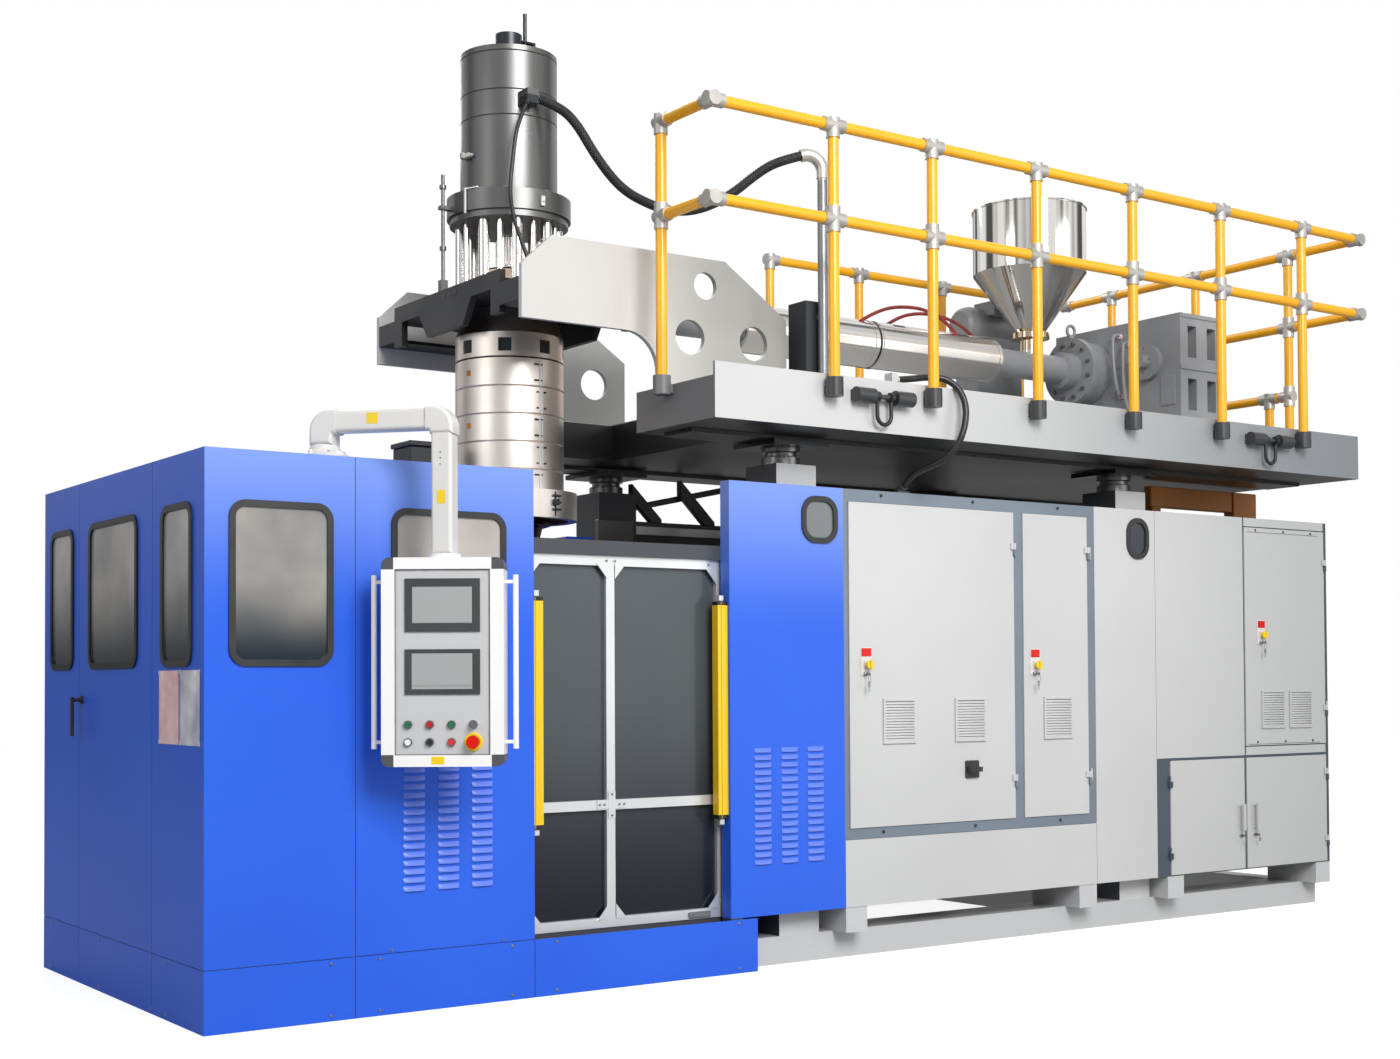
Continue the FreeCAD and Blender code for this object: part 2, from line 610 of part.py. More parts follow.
def base_frame():
    """Sills under the clamp, floor beams to the right, posts behind the covers."""
    right = s.kick_right - SHEET
    beam_front = -s.jack_front - s.jack_side / 2
    beam_back = s.jack_back - s.jack_side / 2
    low = (0, s.sill_height)
    beam = (0, s.beam_height)
    sill_front = (inner_front, inner_front + s.sill_width)
    sill_back = (inner_back - s.sill_width, inner_back)
    between = (sill_front[1], sill_back[0])
    pieces = [
        box("sill_front", (inner_left, right), sill_front, low),
        box("sill_back", (inner_left, right), sill_back, low),
        box("sill_left", (inner_left, inner_left + s.sill_width), between, low),
        box("sill_right", (right - s.sill_width, right), between, low),
        box("sill_middle", (-s.sill_width, s.sill_width), between, low),
        box("beam_front", (right, s.cabinet_b_end), (beam_front, beam_front + s.jack_side), beam),
        box("beam_back", (right, s.cabinet_b_end), (beam_back, beam_back + s.jack_side), beam),
        box("beam_end", (s.cabinet_b_end - s.sill_width, s.cabinet_b_end),
            (beam_front + s.jack_side, beam_back), beam),
        box("beam_cross", (s.jack_right - s.jack_side / 2, s.jack_right + s.jack_side / 2),
            (beam_front + s.jack_side, beam_back), beam),
    ]
    outrigger_y = (FRONT + s.case_wall, beam_front + s.jack_side)
    for index, x in enumerate((s.cover_a_end + s.case_wall, s.cabinet_a_end - s.sill_width,
                               s.case_b_left + s.case_wall, s.cabinet_b_end - s.sill_width)):
        pieces.append(box("outrigger_%d" % index, (x, x + s.sill_width), outrigger_y,
                          (s.beam_height, s.skirt_bottom)))
    post = s.post_width
    top = s.clamp_height - SHEET
    head = top - post
    columns = {"corner": inner_left, "split": -s.panel_split - post / 2,
               "left": -s.opening_left - post, "right": s.opening_right + SHEET}
    for name, x in columns.items():
        for side, y in (("front", inner_front), ("back", inner_back - post)):
            height = top if name == "right" else head
            pieces.append(box("post_%s_%s" % (name, side), (x, x + post), (y, y + post),
                              (s.sill_height, height)))
    hinge_y = FRONT + s.corner_depth
    pieces.append(box("post_hinge", (inner_left, inner_left + post), (hinge_y - post, hinge_y),
                      (s.sill_height, head)))
    roof = (inner_left, -s.opening_left)
    pieces.append(box("roof_front", roof, (inner_front, inner_front + post), (head, top)))
    pieces.append(box("roof_back", roof, (inner_back - post, inner_back), (head, top)))
    for name, x in (("left", inner_left), ("right", -s.opening_left - post)):
        pieces.append(box("roof_" + name, (x, x + post),
                          (inner_front + post, inner_back - post), (head, top)))
    return group("base_frame", pieces)


def jack_positions():
    """The four jacks, as signs of x and centre positions."""
    return [(name_x + "_" + name_y, x, y)
            for name_x, x in (("left", s.jack_left), ("right", s.jack_right))
            for name_y, y in (("front", -s.jack_front), ("back", s.jack_back))]


def jack_columns():
    """Square columns on the floor beams, bored for the screws of the jacks."""
    columns = []
    half = s.jack_side / 2
    for name, x, y in jack_positions():
        column = padded("column_" + name, "Z", (s.beam_height, s.jack_top),
                        [(polygon, [(x - half, y - half), (x + half, y - half),
                                    (x + half, y + half), (x - half, y + half)])])
        bore = s.jack_screw_length + 4 * s.running_gap
        pocket(column, "Z", (s.jack_top - bore, s.jack_top),
               [(circle, (x, y), s.jack_screw + s.running_gap)])
        columns.append(column)
    return group("jack_columns", columns)


def jack_rams():
    """Screw, collar and head plate of each jack, which lift the platform."""
    rams = []
    low = s.jack_top + s.running_gap
    plate = s.platform_plate * 2
    for name, x, y in jack_positions():
        screw = s.jack_screw
        collar = s.jack_collar
        rams.append(turned("ram_" + name, [
            (0, low - s.jack_screw_length), (screw, low - s.jack_screw_length), (screw, low),
            (collar, low), (collar, low + 35), (collar - 14, low + 40), (collar - 14, low + 55),
            (collar, low + 60), (collar, s.flange_bottom - plate),
            (0, s.flange_bottom - plate)], x, y))
        half = s.jack_plate / 2
        rams.append(box("ram_plate_" + name, (x - half, x + half), (y - half, y + half),
                        (s.flange_bottom - plate, s.flange_bottom)))
    return group("jack_rams", rams)


# ----------------------------------------------------------- clamp enclosure

def kick_plates():
    """Folded plates round the foot of the clamp."""
    gap = s.cover_gap / 2
    height = (0, s.kick_height)
    left = -s.clamp_left
    seams = [left, -s.panel_split, -s.opening_left, s.kick_right]
    plates = []
    for side, y in (("front", (FRONT, inner_front)), ("back", (inner_back, BACK))):
        for index in range(3):
            start = seams[index] + (gap if index else 0)
            end = seams[index + 1] - (gap if index < 2 else 0)
            plates.append(box("kick_%s_%d" % (side, index), (start, end), y, height))
    ends = [inner_front, FRONT + s.corner_depth, FRONT + s.leaf_split, inner_back]
    for index in range(3):
        start = ends[index] + (gap if index else 0)
        end = ends[index + 1] - (gap if index < 2 else 0)
        plates.append(box("kick_left_%d" % index, (left, inner_left), (start, end), height))
    beam_front, beam_back = -s.jack_front - s.jack_side / 2, s.jack_back + s.jack_side / 2
    for name, y in (("front", (inner_front, beam_front)), ("back", (beam_back, inner_back))):
        plates.append(box("kick_right_" + name, (s.kick_right - SHEET, s.kick_right), y, height))
    return group("kick_plates", plates)


def hole(x, y, corner):
    """Outline of the hole in a cover behind a window's seal."""
    lap = s.window_lap
    return (rounded, (x[0] + lap, x[1] - lap), (y[0] + lap, y[1] - lap), corner - lap)


window_top = s.clamp_height - s.window_head
window_z = (window_top - s.window_height, window_top)
oval_top = s.cabinet_height - s.oval_head
oval_z = (oval_top - s.oval_height, oval_top)
corner_x = (-s.clamp_left + s.corner_window_left,
            -s.clamp_left + s.corner_window_left + s.corner_window_width)
corner_y = (FRONT + s.corner_side_window_front,
            FRONT + s.corner_side_window_front + s.corner_side_window_width)
front_x = (-s.clamp_left + s.front_window_left,
           -s.clamp_left + s.front_window_left + s.front_window_width)
near_y = (FRONT + s.corner_depth + s.near_window_front,
          FRONT + s.corner_depth + s.near_window_front + s.near_window_width)
far_y = (FRONT + s.leaf_split + s.far_window_front,
         FRONT + s.leaf_split + s.far_window_front + s.far_window_width)
cover_oval_x = (s.cover_a_end - 235, s.cover_a_end - 235 + s.oval_width)
column_oval_x = (s.column_cover_end - 207, s.column_cover_end - 207 + s.oval_width * 0.8)


def corner_cover():
    """One sheet folded round the front left corner, with two windows."""
    left, right = -s.clamp_left, -s.panel_split - s.cover_gap / 2
    end = FRONT + s.corner_depth - s.cover_gap / 2
    body = padded("corner_cover", "Z", (s.kick_height + s.cover_gap, s.clamp_height), [(polygon, [
        (left, FRONT), (right, FRONT), (right, inner_front), (inner_left, inner_front),
        (inner_left, end), (left, end)])])
    pocket(body, "Y", (FRONT, inner_front), [hole(corner_x, window_z, s.window_corner)])
    pocket(body, "X", (left, inner_left), [hole(corner_y, window_z, s.window_corner)])
    return body


def louvres(body, x, z, rows):
    """Three columns of slots, pressed through the front sheet of a cover."""
    slot = [(polygon, [(x, z), (x + s.louvre_width, z),
                       (x + s.louvre_width, z + s.louvre_slot), (x, z + s.louvre_slot)])]
    first = pocket(body, "Y", (FRONT, inner_front), slot)
    pattern = body.newObject("PartDesign::MultiTransform", body.Name + "_louvres")
    pattern.Originals = [first]
    parts = []
    for axis, pitch, copies in (("X_Axis", s.louvre_column, 3), ("Z_Axis", s.louvre_pitch, rows)):
        row = body.newObject("PartDesign::LinearPattern", body.Name + "_row")
        line = [item for item in body.Origin.OriginFeatures if item.Role == axis][0]
        row.Direction = (line, [""])
        row.Occurrences = copies
        bind(row, "Length", pitch * (copies - 1))
        parts.append(row)
    pattern.Transformations = parts
    body.Tip = pattern
    doc.recompute()


def front_cover():
    """The second front cover, with a window and louvres."""
    left, right = -s.panel_split + s.cover_gap / 2, -s.opening_left
    z = (s.kick_height + s.cover_gap, s.clamp_height)
    body = padded("front_cover", "Z", z, [(polygon, [
        (left, FRONT), (right, FRONT), (right, inner_front), (left, inner_front)])])
    pocket(body, "Y", (FRONT, inner_front), [hole(front_x, window_z, s.window_corner)])
    louvres(body, -s.clamp_left + s.corner_depth + 217, s.louvre_bottom, 16)
    return body


def rear_cover():
    """Roof and back of the clamp, folded out of one sheet, with one window."""
    top = s.clamp_height
    roof = top - SHEET
    low = s.kick_height + s.cover_gap
    body = padded("rear_cover", "X", (inner_left, -s.opening_left), [(polygon, [
        (inner_front, roof), (inner_back, roof), (inner_back, low), (BACK, low),
        (BACK, top), (inner_front, top)])])
    pocket(body, "Y", (inner_back, BACK), [hole(front_x, window_z, s.window_corner)])
    return body


def right_cover():
    """The blue cover right of the mould opening."""
    left, right = s.opening_right, s.cover_a_end - s.cover_gap / 2
    flange = FRONT + s.post_width + SHEET
    body = padded("right_cover", "Z", (s.skirt_bottom, s.cabinet_height), [(polygon, [
        (left, FRONT), (right, FRONT), (right, inner_front), (left + SHEET, inner_front),
        (left + SHEET, flange), (left, flange)])])
    pocket(body, "Y", (FRONT, inner_front), [hole(cover_oval_x, oval_z, s.oval_corner)])
    louvres(body, left + 127, s.louvre_bottom, 16)
    return body


FRONT_WINDOWS = [("corner", corner_x, window_z, s.window_corner),
                 ("front", front_x, window_z, s.window_corner),
                 ("cover_oval", cover_oval_x, oval_z, s.oval_corner),
                 ("column_oval", column_oval_x, oval_z, s.oval_corner)]


def seal_outline(x, z, corner):
    """Outer and inner edge of a rubber seal."""
    inset = s.seal_width
    return [(rounded, x, z, corner),
            (rounded, (x[0] + inset, x[1] - inset), (z[0] + inset, z[1] - inset), corner - inset)]


def pane_outline(x, z, corner):
    """Edge of a pane, held behind its seal."""
    inset = s.window_lap * 2
    return [(rounded, (x[0] + inset, x[1] - inset), (z[0] + inset, z[1] - inset), corner - inset)]


def window_seals():
    """The black seals of the windows that stay put."""
    seals = []
    for name, x, z, corner in FRONT_WINDOWS:
        seals.append(padded("seal_" + name, "Y", (FRONT - s.seal_proud, FRONT),
                            seal_outline(x, z, corner)))
    left = -s.clamp_left
    seals.append(padded("seal_side", "X", (left - s.seal_proud, left),
                        seal_outline(corner_y, window_z, s.window_corner)))
    seals.append(padded("seal_back", "Y", (BACK, BACK + s.seal_proud),
                        seal_outline(front_x, window_z, s.window_corner)))
    return group("window_seals", seals)


def window_panes():
    """The panes of the windows that stay put."""
    panes = []
    for name, x, z, corner in FRONT_WINDOWS:
        panes.append(padded("pane_" + name, "Y", (FRONT, FRONT + s.pane_thickness),
                            pane_outline(x, z, corner)))
    left = -s.clamp_left
    panes.append(padded("pane_side", "X", (left, left + s.pane_thickness),
                        pane_outline(corner_y, window_z, s.window_corner)))
    panes.append(padded("pane_back", "Y", (BACK - s.pane_thickness, BACK),
                        pane_outline(front_x, window_z, s.window_corner)))
    return group("window_panes", panes)


def end_door(name, y, window):
    """A folded door leaf at the left end, with its window's hole and seal."""
    left = -s.clamp_left
    low, high = s.kick_height + s.cover_gap, s.clamp_height
    skin = padded(name + "_skin", "X", (left, inner_left), [(polygon, [
        (y[0], low), (y[1], low), (y[1], high), (y[0], high)])])
    pocket(skin, "X", (left, inner_left), [hole(window, window_z, s.window_corner)])
    return skin


def end_doors():
    """The pair of doors at the left end, hinged at their outer edges."""
    near = (FRONT + s.corner_depth + s.cover_gap / 2, FRONT + s.leaf_split - s.cover_gap / 2)
    far = (FRONT + s.leaf_split + s.cover_gap / 2, BACK)
    made = []
    for name, y, window in (("end_door_near", near, near_y), ("end_door_far", far, far_y)):
        left = -s.clamp_left
        skin = end_door(name, y, window)
        seal = padded(name + "_seal", "X", (left - s.seal_proud, left),
                      seal_outline(window, window_z, s.window_corner))
        made.append(fuse(name, [skin, seal]))
        made.append(padded(name + "_pane", "X", (left, left + s.pane_thickness),
                           pane_outline(window, window_z, s.window_corner)))
    return made


def end_door_handle():
    """Swing handle of the end doors: a rose, a neck and a bent lever."""
    x = -s.clamp_left
    y = FRONT + s.leaf_split - 45
    z = s.leaf_handle
    rose = rod("handle_rose", "X", (x - 8, y, z), 8 - s.running_gap, 17)
    neck = rod("handle_neck", "X", (x - 40, y, z), 34, 8)
    lever = box("handle_lever", (x - 48, x - 36), (y - 9, y + 9), (z - 148, z + 12))
    return fuse("end_door_handle", [rose, neck, lever])


# -------------------------------------------------------- right hand cabinets

def cabinet_case(name, x, depth, bars):
    """Five walls of a cabinet and the bars of its door frame."""
    wall = s.case_wall
    z = (s.skirt_bottom, s.cabinet_height)
    y = (inner_front, FRONT + depth)
    inside_x = (x[0] + wall, x[1] - wall)
    inside_y = (y[0], y[1] - wall)
    pieces = [
        box(name + "_left", (x[0], x[0] + wall), y, z),
        box(name + "_right", (x[1] - wall, x[1]), y, z),
        box(name + "_back", inside_x, (y[1] - wall, y[1]), z),
        box(name + "_roof", inside_x, inside_y, (z[1] - wall, z[1])),
        box(name + "_floor", inside_x, inside_y, (z[0], z[0] + wall)),
    ]
    plate_y = (y[1] - wall - 30, y[1] - wall - 26)
    plate = box(name + "_mounting_plate", (x[0] + 120, x[1] - 120), plate_y, (z[0] + 200, z[1] - 200))
    pieces.append(plate)
    for index, stud_x in enumerate((x[0] + 160, x[1] - 160)):
        for row, stud_z in enumerate((z[0] + 240, z[1] - 240)):
            pieces.append(rod("%s_stud_%d%d" % (name, index, row), "Y",
                              (stud_x, plate_y[1], stud_z), 26, 10))
    front = (inner_front, FRONT + s.frame_depth)
    for index, (bar_x, bar_z) in enumerate(bars):
        pieces.append(box("%s_bar_%d" % (name, index), bar_x, front, bar_z))
    return pieces


door_a_top = s.cabinet_height - s.door_a_head
door_a_right = s.cabinet_a_end - s.door_a_inset
door_b_right = s.cabinet_b_end - s.door_b_inset
door_b_left = s.case_b_left + s.case_wall + s.stile + s.door_gap
hinges_a = (s.door_a_bottom + s.hinge_inset, door_a_top - s.hinge_inset)
hinges_b = (s.door_b_waist + s.hinge_inset_b, door_a_top - s.hinge_inset)
hinges_low = (s.skirt_bottom + s.hinge_inset_low, s.door_b_waist - s.hinge_inset_low)

# each door's hinged edge, the side that it is hinged on and the heights of its hinges
DOOR_HINGES = {
    "cabinet_a_large_door": (s.door_a_middle, "right", hinges_a),
    "cabinet_a_small_door": (door_a_right, "right", hinges_a),
    "cabinet_b_upper_door": (door_b_right, "right", hinges_b),
    "cabinet_b_lower_left_door": (door_b_left, "left", hinges_low),
    "cabinet_b_lower_right_door": (door_b_right, "right", hinges_low),
}


def hinge_half(name, door, fixed):
    """The knuckles of a door's hinges: the lower ones on the frame, the upper ones on the door."""
    edge, side, heights = DOOR_HINGES[door]
    sign = 1 if side == "right" else -1
    r, length = s.knuckle_radius, s.knuckle_length
    axis_x = edge + sign
    front = FRONT - s.door_proud
    axis_y = front - s.running_gap - r
    pieces = []
    for index, z in enumerate(heights):
        low = z - length - s.running_gap if fixed else z
        near, far = (axis_x + sign, axis_x + 14 * sign) if fixed else (axis_x, axis_x - 22 * sign)
        leaf_x = (near, far) if float(near) < float(far) else (far, near)
        leaf_y = (axis_y, inner_front if fixed else front)
        barrel = rod("%s_knuckle_%d" % (name, index), "Z", (axis_x, axis_y, low), length, r)
        leaf = box("%s_hinge_%d" % (name, index), leaf_x, leaf_y, (low, low + length))
        pieces.append(fuse("%s_hinge_half_%d" % (name, index), [barrel, leaf]))
    return pieces


def cabinet_cases():
    """The carcasses of both cabinets, with the fixed halves of their hinges."""
    wall = s.case_wall
    gap = s.door_gap
    top = s.cabinet_height - wall
    ax = (s.cover_a_end, s.cabinet_a_end)
    left, right = ax[0] + wall, ax[1] - wall
    low, high = s.door_a_bottom - gap, door_a_top + gap
    bars_a = [
        ((left, s.door_a_left - gap), (low, high)),
        ((s.door_a_middle + gap, s.door_a_small - gap), (low, high)),
        ((door_a_right + gap, right), (low, high)),
        ((left, right), (s.lower_plate_top, low)),
        ((left, right), (high, top)),
    ]
    pieces = cabinet_case("cabinet_a", ax, s.cabinet_a_depth, bars_a)
    bx = (s.case_b_left, s.cabinet_b_end)
    left, right = bx[0] + wall, bx[1] - wall
    waist = (s.door_b_waist - s.stile / 2, s.door_b_waist + s.case_wall)
    strip = s.door_b_strip
    half = s.stile / 2 - gap
    foot = s.skirt_bottom + wall
    middle = (s.door_b_split - half, s.door_b_split + half)
    across = (left + s.stile, door_b_right + gap)
    bars_b = [
        ((left, left + s.stile), (foot, top)),
        (middle, (waist[1] + strip, top - strip)),
        (middle, (foot, waist[0])),
        ((door_b_right + gap, right), (foot, top)),
        (across, waist),
        (across, (top - strip, top)),
        (across, (waist[1], waist[1] + strip)),
    ]
    pieces += cabinet_case("cabinet_b", bx, s.cabinet_b_depth, bars_b)
    for door in DOOR_HINGES:
        pieces += hinge_half(door + "_fixed", door, True)
    pieces.append(roof_gland())
    strip_y = (inner_front, inner_front + SHEET)
    strip_z = (s.skirt_bottom, s.cabinet_height)
    pieces.append(box("column_strip_left", (s.cabinet_a_end, s.cabinet_a_end + 40), strip_y, strip_z))
    pieces.append(box("column_strip_right", (s.column_cover_end - 40, s.case_b_left), strip_y,
                      strip_z))
    return group("cabinet_cases", pieces)


def roof_gland():
    """Slanted gland on the first cabinet's roof, which the platform's hose goes into."""
    x, y, z = PLATFORM_HOSE[-1]
    low = s.cabinet_height
    lower = 34
    foot = box("gland_foot", (x - lower, x + lower), (y, y + 2 * lower), (low, low + 8))
    barrel = socket("gland_barrel", PLATFORM_HOSE[::-1], s.lead_radius + 6)
    below = box("gland_below", (x - lower, x + lower), (y - lower, y + 3 * lower), (low - 60, low))
    return cut("roof_gland", fuse("gland_body", [foot, barrel]), [below])


def cabinet_panels():
    """Plain panels that are screwed on: below the doors, over the column, upper left."""
    front = (FRONT, inner_front)
    gap = s.cover_gap / 2
    lower = box("lower_plate", (s.cover_a_end + gap, s.cabinet_a_end - gap), front,
                (s.skirt_bottom, s.lower_plate_top - gap))
    side = box("upper_left_panel", (s.column_cover_end + gap, s.door_b_split - gap), front,
               (s.door_b_waist + gap, s.cabinet_height))
    column = padded("column_cover", "Y", front, [
        (polygon, [(s.cabinet_a_end + gap, s.skirt_bottom), (s.column_cover_end - gap, s.skirt_bottom),
                   (s.column_cover_end - gap, s.cabinet_height),
                   (s.cabinet_a_end + gap, s.cabinet_height)]),
        hole(column_oval_x, oval_z, s.oval_corner)])
    strips = []
    for name, z in (("top", (s.cabinet_height - s.door_b_strip, s.cabinet_height)),
                    ("low", (s.door_b_waist + gap, s.door_b_waist + s.door_b_strip))):
        strips.append(box("strip_" + name, (s.door_b_split + s.stile / 2, door_b_right), front, z))
    return group("cabinet_panels", [lower, side, column] + strips)


def vent(name, x, z):
    """A filter vent: a flat frame with a stack of slots."""
    y = FRONT - s.door_proud
    slots = []
    for index in range(7):
        low = z + 18 + index * (s.vent_height - 36) / 7
        slots.append((polygon, [(x + 12, low), (x + s.vent_width - 12, low),
                                (x + s.vent_width - 12, low + 9), (x + 12, low + 9)]))
    outline = [(polygon, [(x, z), (x + s.vent_width, z), (x + s.vent_width, z + s.vent_height),
                          (x, z + s.vent_height)])]
    return padded(name, "Y", (y - s.vent_proud, y), outline + slots)


def cabinet_door(name, x, z, vents, extras):
    """A door leaf with its vents and small fixed pieces."""
    y = FRONT - s.door_proud
    leaf = box(name + "_leaf", x, (y, y + s.door_sheet), z)
    pieces = [leaf] + hinge_half(name + "_moving", name, False)
    for index, (vent_x, vent_z) in enumerate(vents):
        pieces.append(vent("%s_vent_%d" % (name, index), vent_x, vent_z))
    pieces += extras
    return fuse(name, pieces)


def lock_knob(name, x, z):
    """A turning lock knob with its square seat."""
    y = FRONT - s.door_proud
    seat = box(name + "_seat", (x - 16, x + 16), (y - 6, y), (z - 16, z + 16))
    knob = rod(name + "_knob", "Y", (x, y - 26, z), 20, 13)
    return [seat, knob]


def cabinet_doors():
    """The five hinged doors of the two cabinets."""
    gap = s.door_gap
    vent_z = s.door_a_bottom + s.vent_rise
    lock_z = s.door_a_bottom + s.lock_height
    a_z = (s.door_a_bottom, door_a_top)
    large = cabinet_door("cabinet_a_large_door", (s.door_a_left, s.door_a_middle), a_z,
                         [(s.door_a_left + 188, vent_z), (s.door_a_left + 621, vent_z)],
                         lock_knob("lock_a_large", s.door_a_left + 96, lock_z))
    small = cabinet_door("cabinet_a_small_door", (s.door_a_small, door_a_right), a_z,
                         [(s.door_a_small + 127, vent_z)],
                         lock_knob("lock_a_small", s.door_a_small + 75, lock_z))
    strip = s.door_b_strip
    waist, half = s.door_b_waist, s.stile / 2
    upper_z = (waist + s.case_wall + strip + gap, s.cabinet_height - s.case_wall - strip - gap)
    bx = (s.door_b_split + half, door_b_right)
    vent_b = waist + s.vent_rise_b
    upper = cabinet_door("cabinet_b_upper_door", bx, upper_z,
                         [(bx[0] + 123, vent_b), (bx[0] + 353, vent_b)],
                         lock_knob("lock_b", bx[0] + 130, waist + s.lock_height_b))
    low_z = (s.skirt_bottom + s.case_wall + gap, waist - half - gap)
    y = FRONT - s.door_proud
    doors = [large, small, upper]
    left_x = (door_b_left, s.door_b_split - half)
    right_x = (s.door_b_split + half, door_b_right)
    grip = s.skirt_bottom + s.pull_height
    ends = (("low", grip + 10), ("high", grip + s.pull_length - 10))
    for name, x, pull in (("cabinet_b_lower_left_door", left_x, s.door_b_split - 45),
                          ("cabinet_b_lower_right_door", right_x, s.door_b_split + 68)):
        pieces = [box(name + "_pull", (pull - 10, pull + 10), (y - 30, y - 20),
                      (grip, grip + s.pull_length))]
        for end, z in ends:
            pieces.append(rod(name + "_pull_" + end, "Y", (pull, y - 21, z), 21, 6))
        doors.append(cabinet_door(name, x, low_z, [], pieces))
    return doors


def main_switch():
    """Rotary main switch on the large door."""
    x, z = s.door_a_left + 723, s.door_a_bottom + s.switch_height
    y = FRONT - s.door_proud - s.running_gap
    plate = rod("switch_rose", "Y", (x, y - 12, z), 12, 36)
    grip = box("switch_grip", (x - 34, x + 34), (y - 40, y - 12), (z - 11, z + 11))
    return fuse("main_switch", [plate, grip])


# ------------------------------------------------------------- mould clamp

def clamp_bed():
    """Bed beams, guide rails, end plates, tie bars, cylinders and blow pin guide."""
    length = s.bed_length
    pieces = []
    for side, y in (("front", -s.bed_rail_y), ("back", s.bed_rail_y)):
        pieces.append(box("bed_" + side, (-length, length), (y - 80, y + 80),
                          (s.sill_height, s.bed_top)))
        pieces.append(box("guide_" + side, (-length, length), (y - 30, y + 30),
                          (s.bed_top, s.bed_top + s.bed_rail_height)))
    floor = s.bed_top + s.bed_rail_height
    for side, x in (("left", (-length, -length + 40)), ("right", (length - 40, length))):
        pieces.append(box("end_plate_" + side, x, (-s.bed_rail_y, s.bed_rail_y),
                          (floor, s.platen_top)))
        start = -length + 40 if side == "left" else length - 40 - s.cylinder_length
        barrel = rod("clamp_barrel_" + side, "X", (start, 0, s.cylinder_z), s.cylinder_length,
                     s.cylinder_radius)
        bore = rod("clamp_bore_" + side, "X", (start - 1 if side == "right" else start + 20, 0,
                                               s.cylinder_z),
                   s.cylinder_length - 19, s.piston_rod + s.running_gap)
        pieces.append(cut("clamp_cylinder_" + side, barrel, [bore]))
    for row, z in (("low", s.tie_bar_low), ("high", s.tie_bar_high)):
        for side, y in (("front", -s.tie_bar_y), ("back", s.tie_bar_y)):
            pieces.append(rod("tie_bar_%s_%s" % (row, side), "X", (-length + 40, y, z),
                              2 * (length - 40), s.tie_bar_radius))
    guide = rod("blow_pin_guide", "Z", (0, 0, s.sill_height), 330, 80)
    bore = rod("blow_pin_bore", "Z", (0, 0, s.sill_height + 20), 311, s.blow_pin_radius + s.running_gap)
    pieces.append(cut("blow_pin_socket", guide, [bore]))
    return group("clamp_bed", pieces)


def platen(side):
    """A ribbed platen on its two carriages, with the piston rod that drives it."""
    sign = -1 if side == "left" else 1
    inner, outer = s.platen_open, s.platen_open + s.platen_thickness
    x = (inner, outer) if sign > 0 else (-outer, -inner)
    rail_top = s.bed_top + s.bed_rail_height + s.running_gap
    half = s.platen_half_width
    body = padded("platen_plate_" + side, "X", x, [
        (polygon, [(-half, rail_top + 60), (half, rail_top + 60), (half, s.platen_top),
                   (-half, s.platen_top)])]
        + [(circle, (y, z), s.tie_bar_radius + s.running_gap)
           for y in (-s.tie_bar_y, s.tie_bar_y) for z in (s.tie_bar_low, s.tie_bar_high)])
    slots = [(polygon, [(y - 14, rail_top + 160), (y + 14, rail_top + 160),
                        (y + 14, s.platen_top - 120), (y - 14, s.platen_top - 120)])
             for y in (-230, 0, 230)]
    face = (inner, inner + 25) if sign > 0 else (-inner - 25, -inner)
    for slot in slots:
        pocket(body, "X", face, [slot])
    pieces = [body]
    for name, y in (("front", -s.bed_rail_y), ("back", s.bed_rail_y)):
        pieces.append(box("carriage_%s_%s" % (side, name), x, (y - 45, y + 45),
                          (rail_top, rail_top + 60)))
    start = outer if sign > 0 else -outer - (s.bed_length - 40 - outer - 60)
    pieces.append(rod("clamp_rod_" + side, "X", (start, 0, s.cylinder_z),
                      s.bed_length - 40 - outer - 60, s.piston_rod))
    return fuse("platen_" + side, pieces)


def blow_pin():
    """Blow pin that rises into the mould from below."""
    r = s.blow_pin_radius
    low = s.sill_height + 20 + s.running_gap
    return turned("blow_pin", [(0, low), (r, low), (r, 520), (18, 545), (18, 625), (12, 640),
                               (0, 640)])


# ------------------------------------------------ sliding door, light curtains

def sliding_door():
    """Aluminium frame with four panes, which slides behind the front covers."""
    y = (-s.door_back - s.door_profile, -s.door_back)
    w = s.door_profile
    half = w / 2
    x = [-s.door_left, -s.door_stile - half, -s.door_stile + half, s.door_right]
    z = [s.door_bottom, s.door_rail - half, s.door_rail + half, s.door_top]
    openings = [((x[0] + w, x[1]), (x[2], x[3] - w)), ((z[0] + w, z[1]), (z[2], z[3] - w))]
    draw = [(polygon, [(x[0], z[0]), (x[3], z[0]), (x[3], z[3]), (x[0], z[3])])]
    panes = []
    middle = y[0] + half
    for column, span in enumerate(openings[0]):
        for row, height in enumerate(openings[1]):
            draw.append((polygon, [(span[0], height[0]), (span[1], height[0]),
                                   (span[1], height[1]), (span[0], height[1])]))
            panes.append(box("door_pane_%d%d" % (column, row), span,
                             (middle, middle + s.door_pane), height))
    return [padded("sliding_door_frame", "Y", y, draw), group("sliding_door_panes", panes)]


def door_tracks():
    """Upper and lower track of the sliding door."""
    gap = s.running_gap
    y = (inner_front + s.post_width, -s.door_back + 10)
    upper = box("track_upper", (-s.track_left, s.opening_right + s.post_width + SHEET), y,
                (s.door_top + gap, s.door_top + 60))
    lower_y = (-s.door_back - s.door_profile + 6, -s.door_back - 6)
    lower = box("track_lower", (-s.track_left, s.kick_right - SHEET), lower_y,
                (s.sill_height, s.door_bottom - gap))
    return group("door_tracks", [upper, lower])


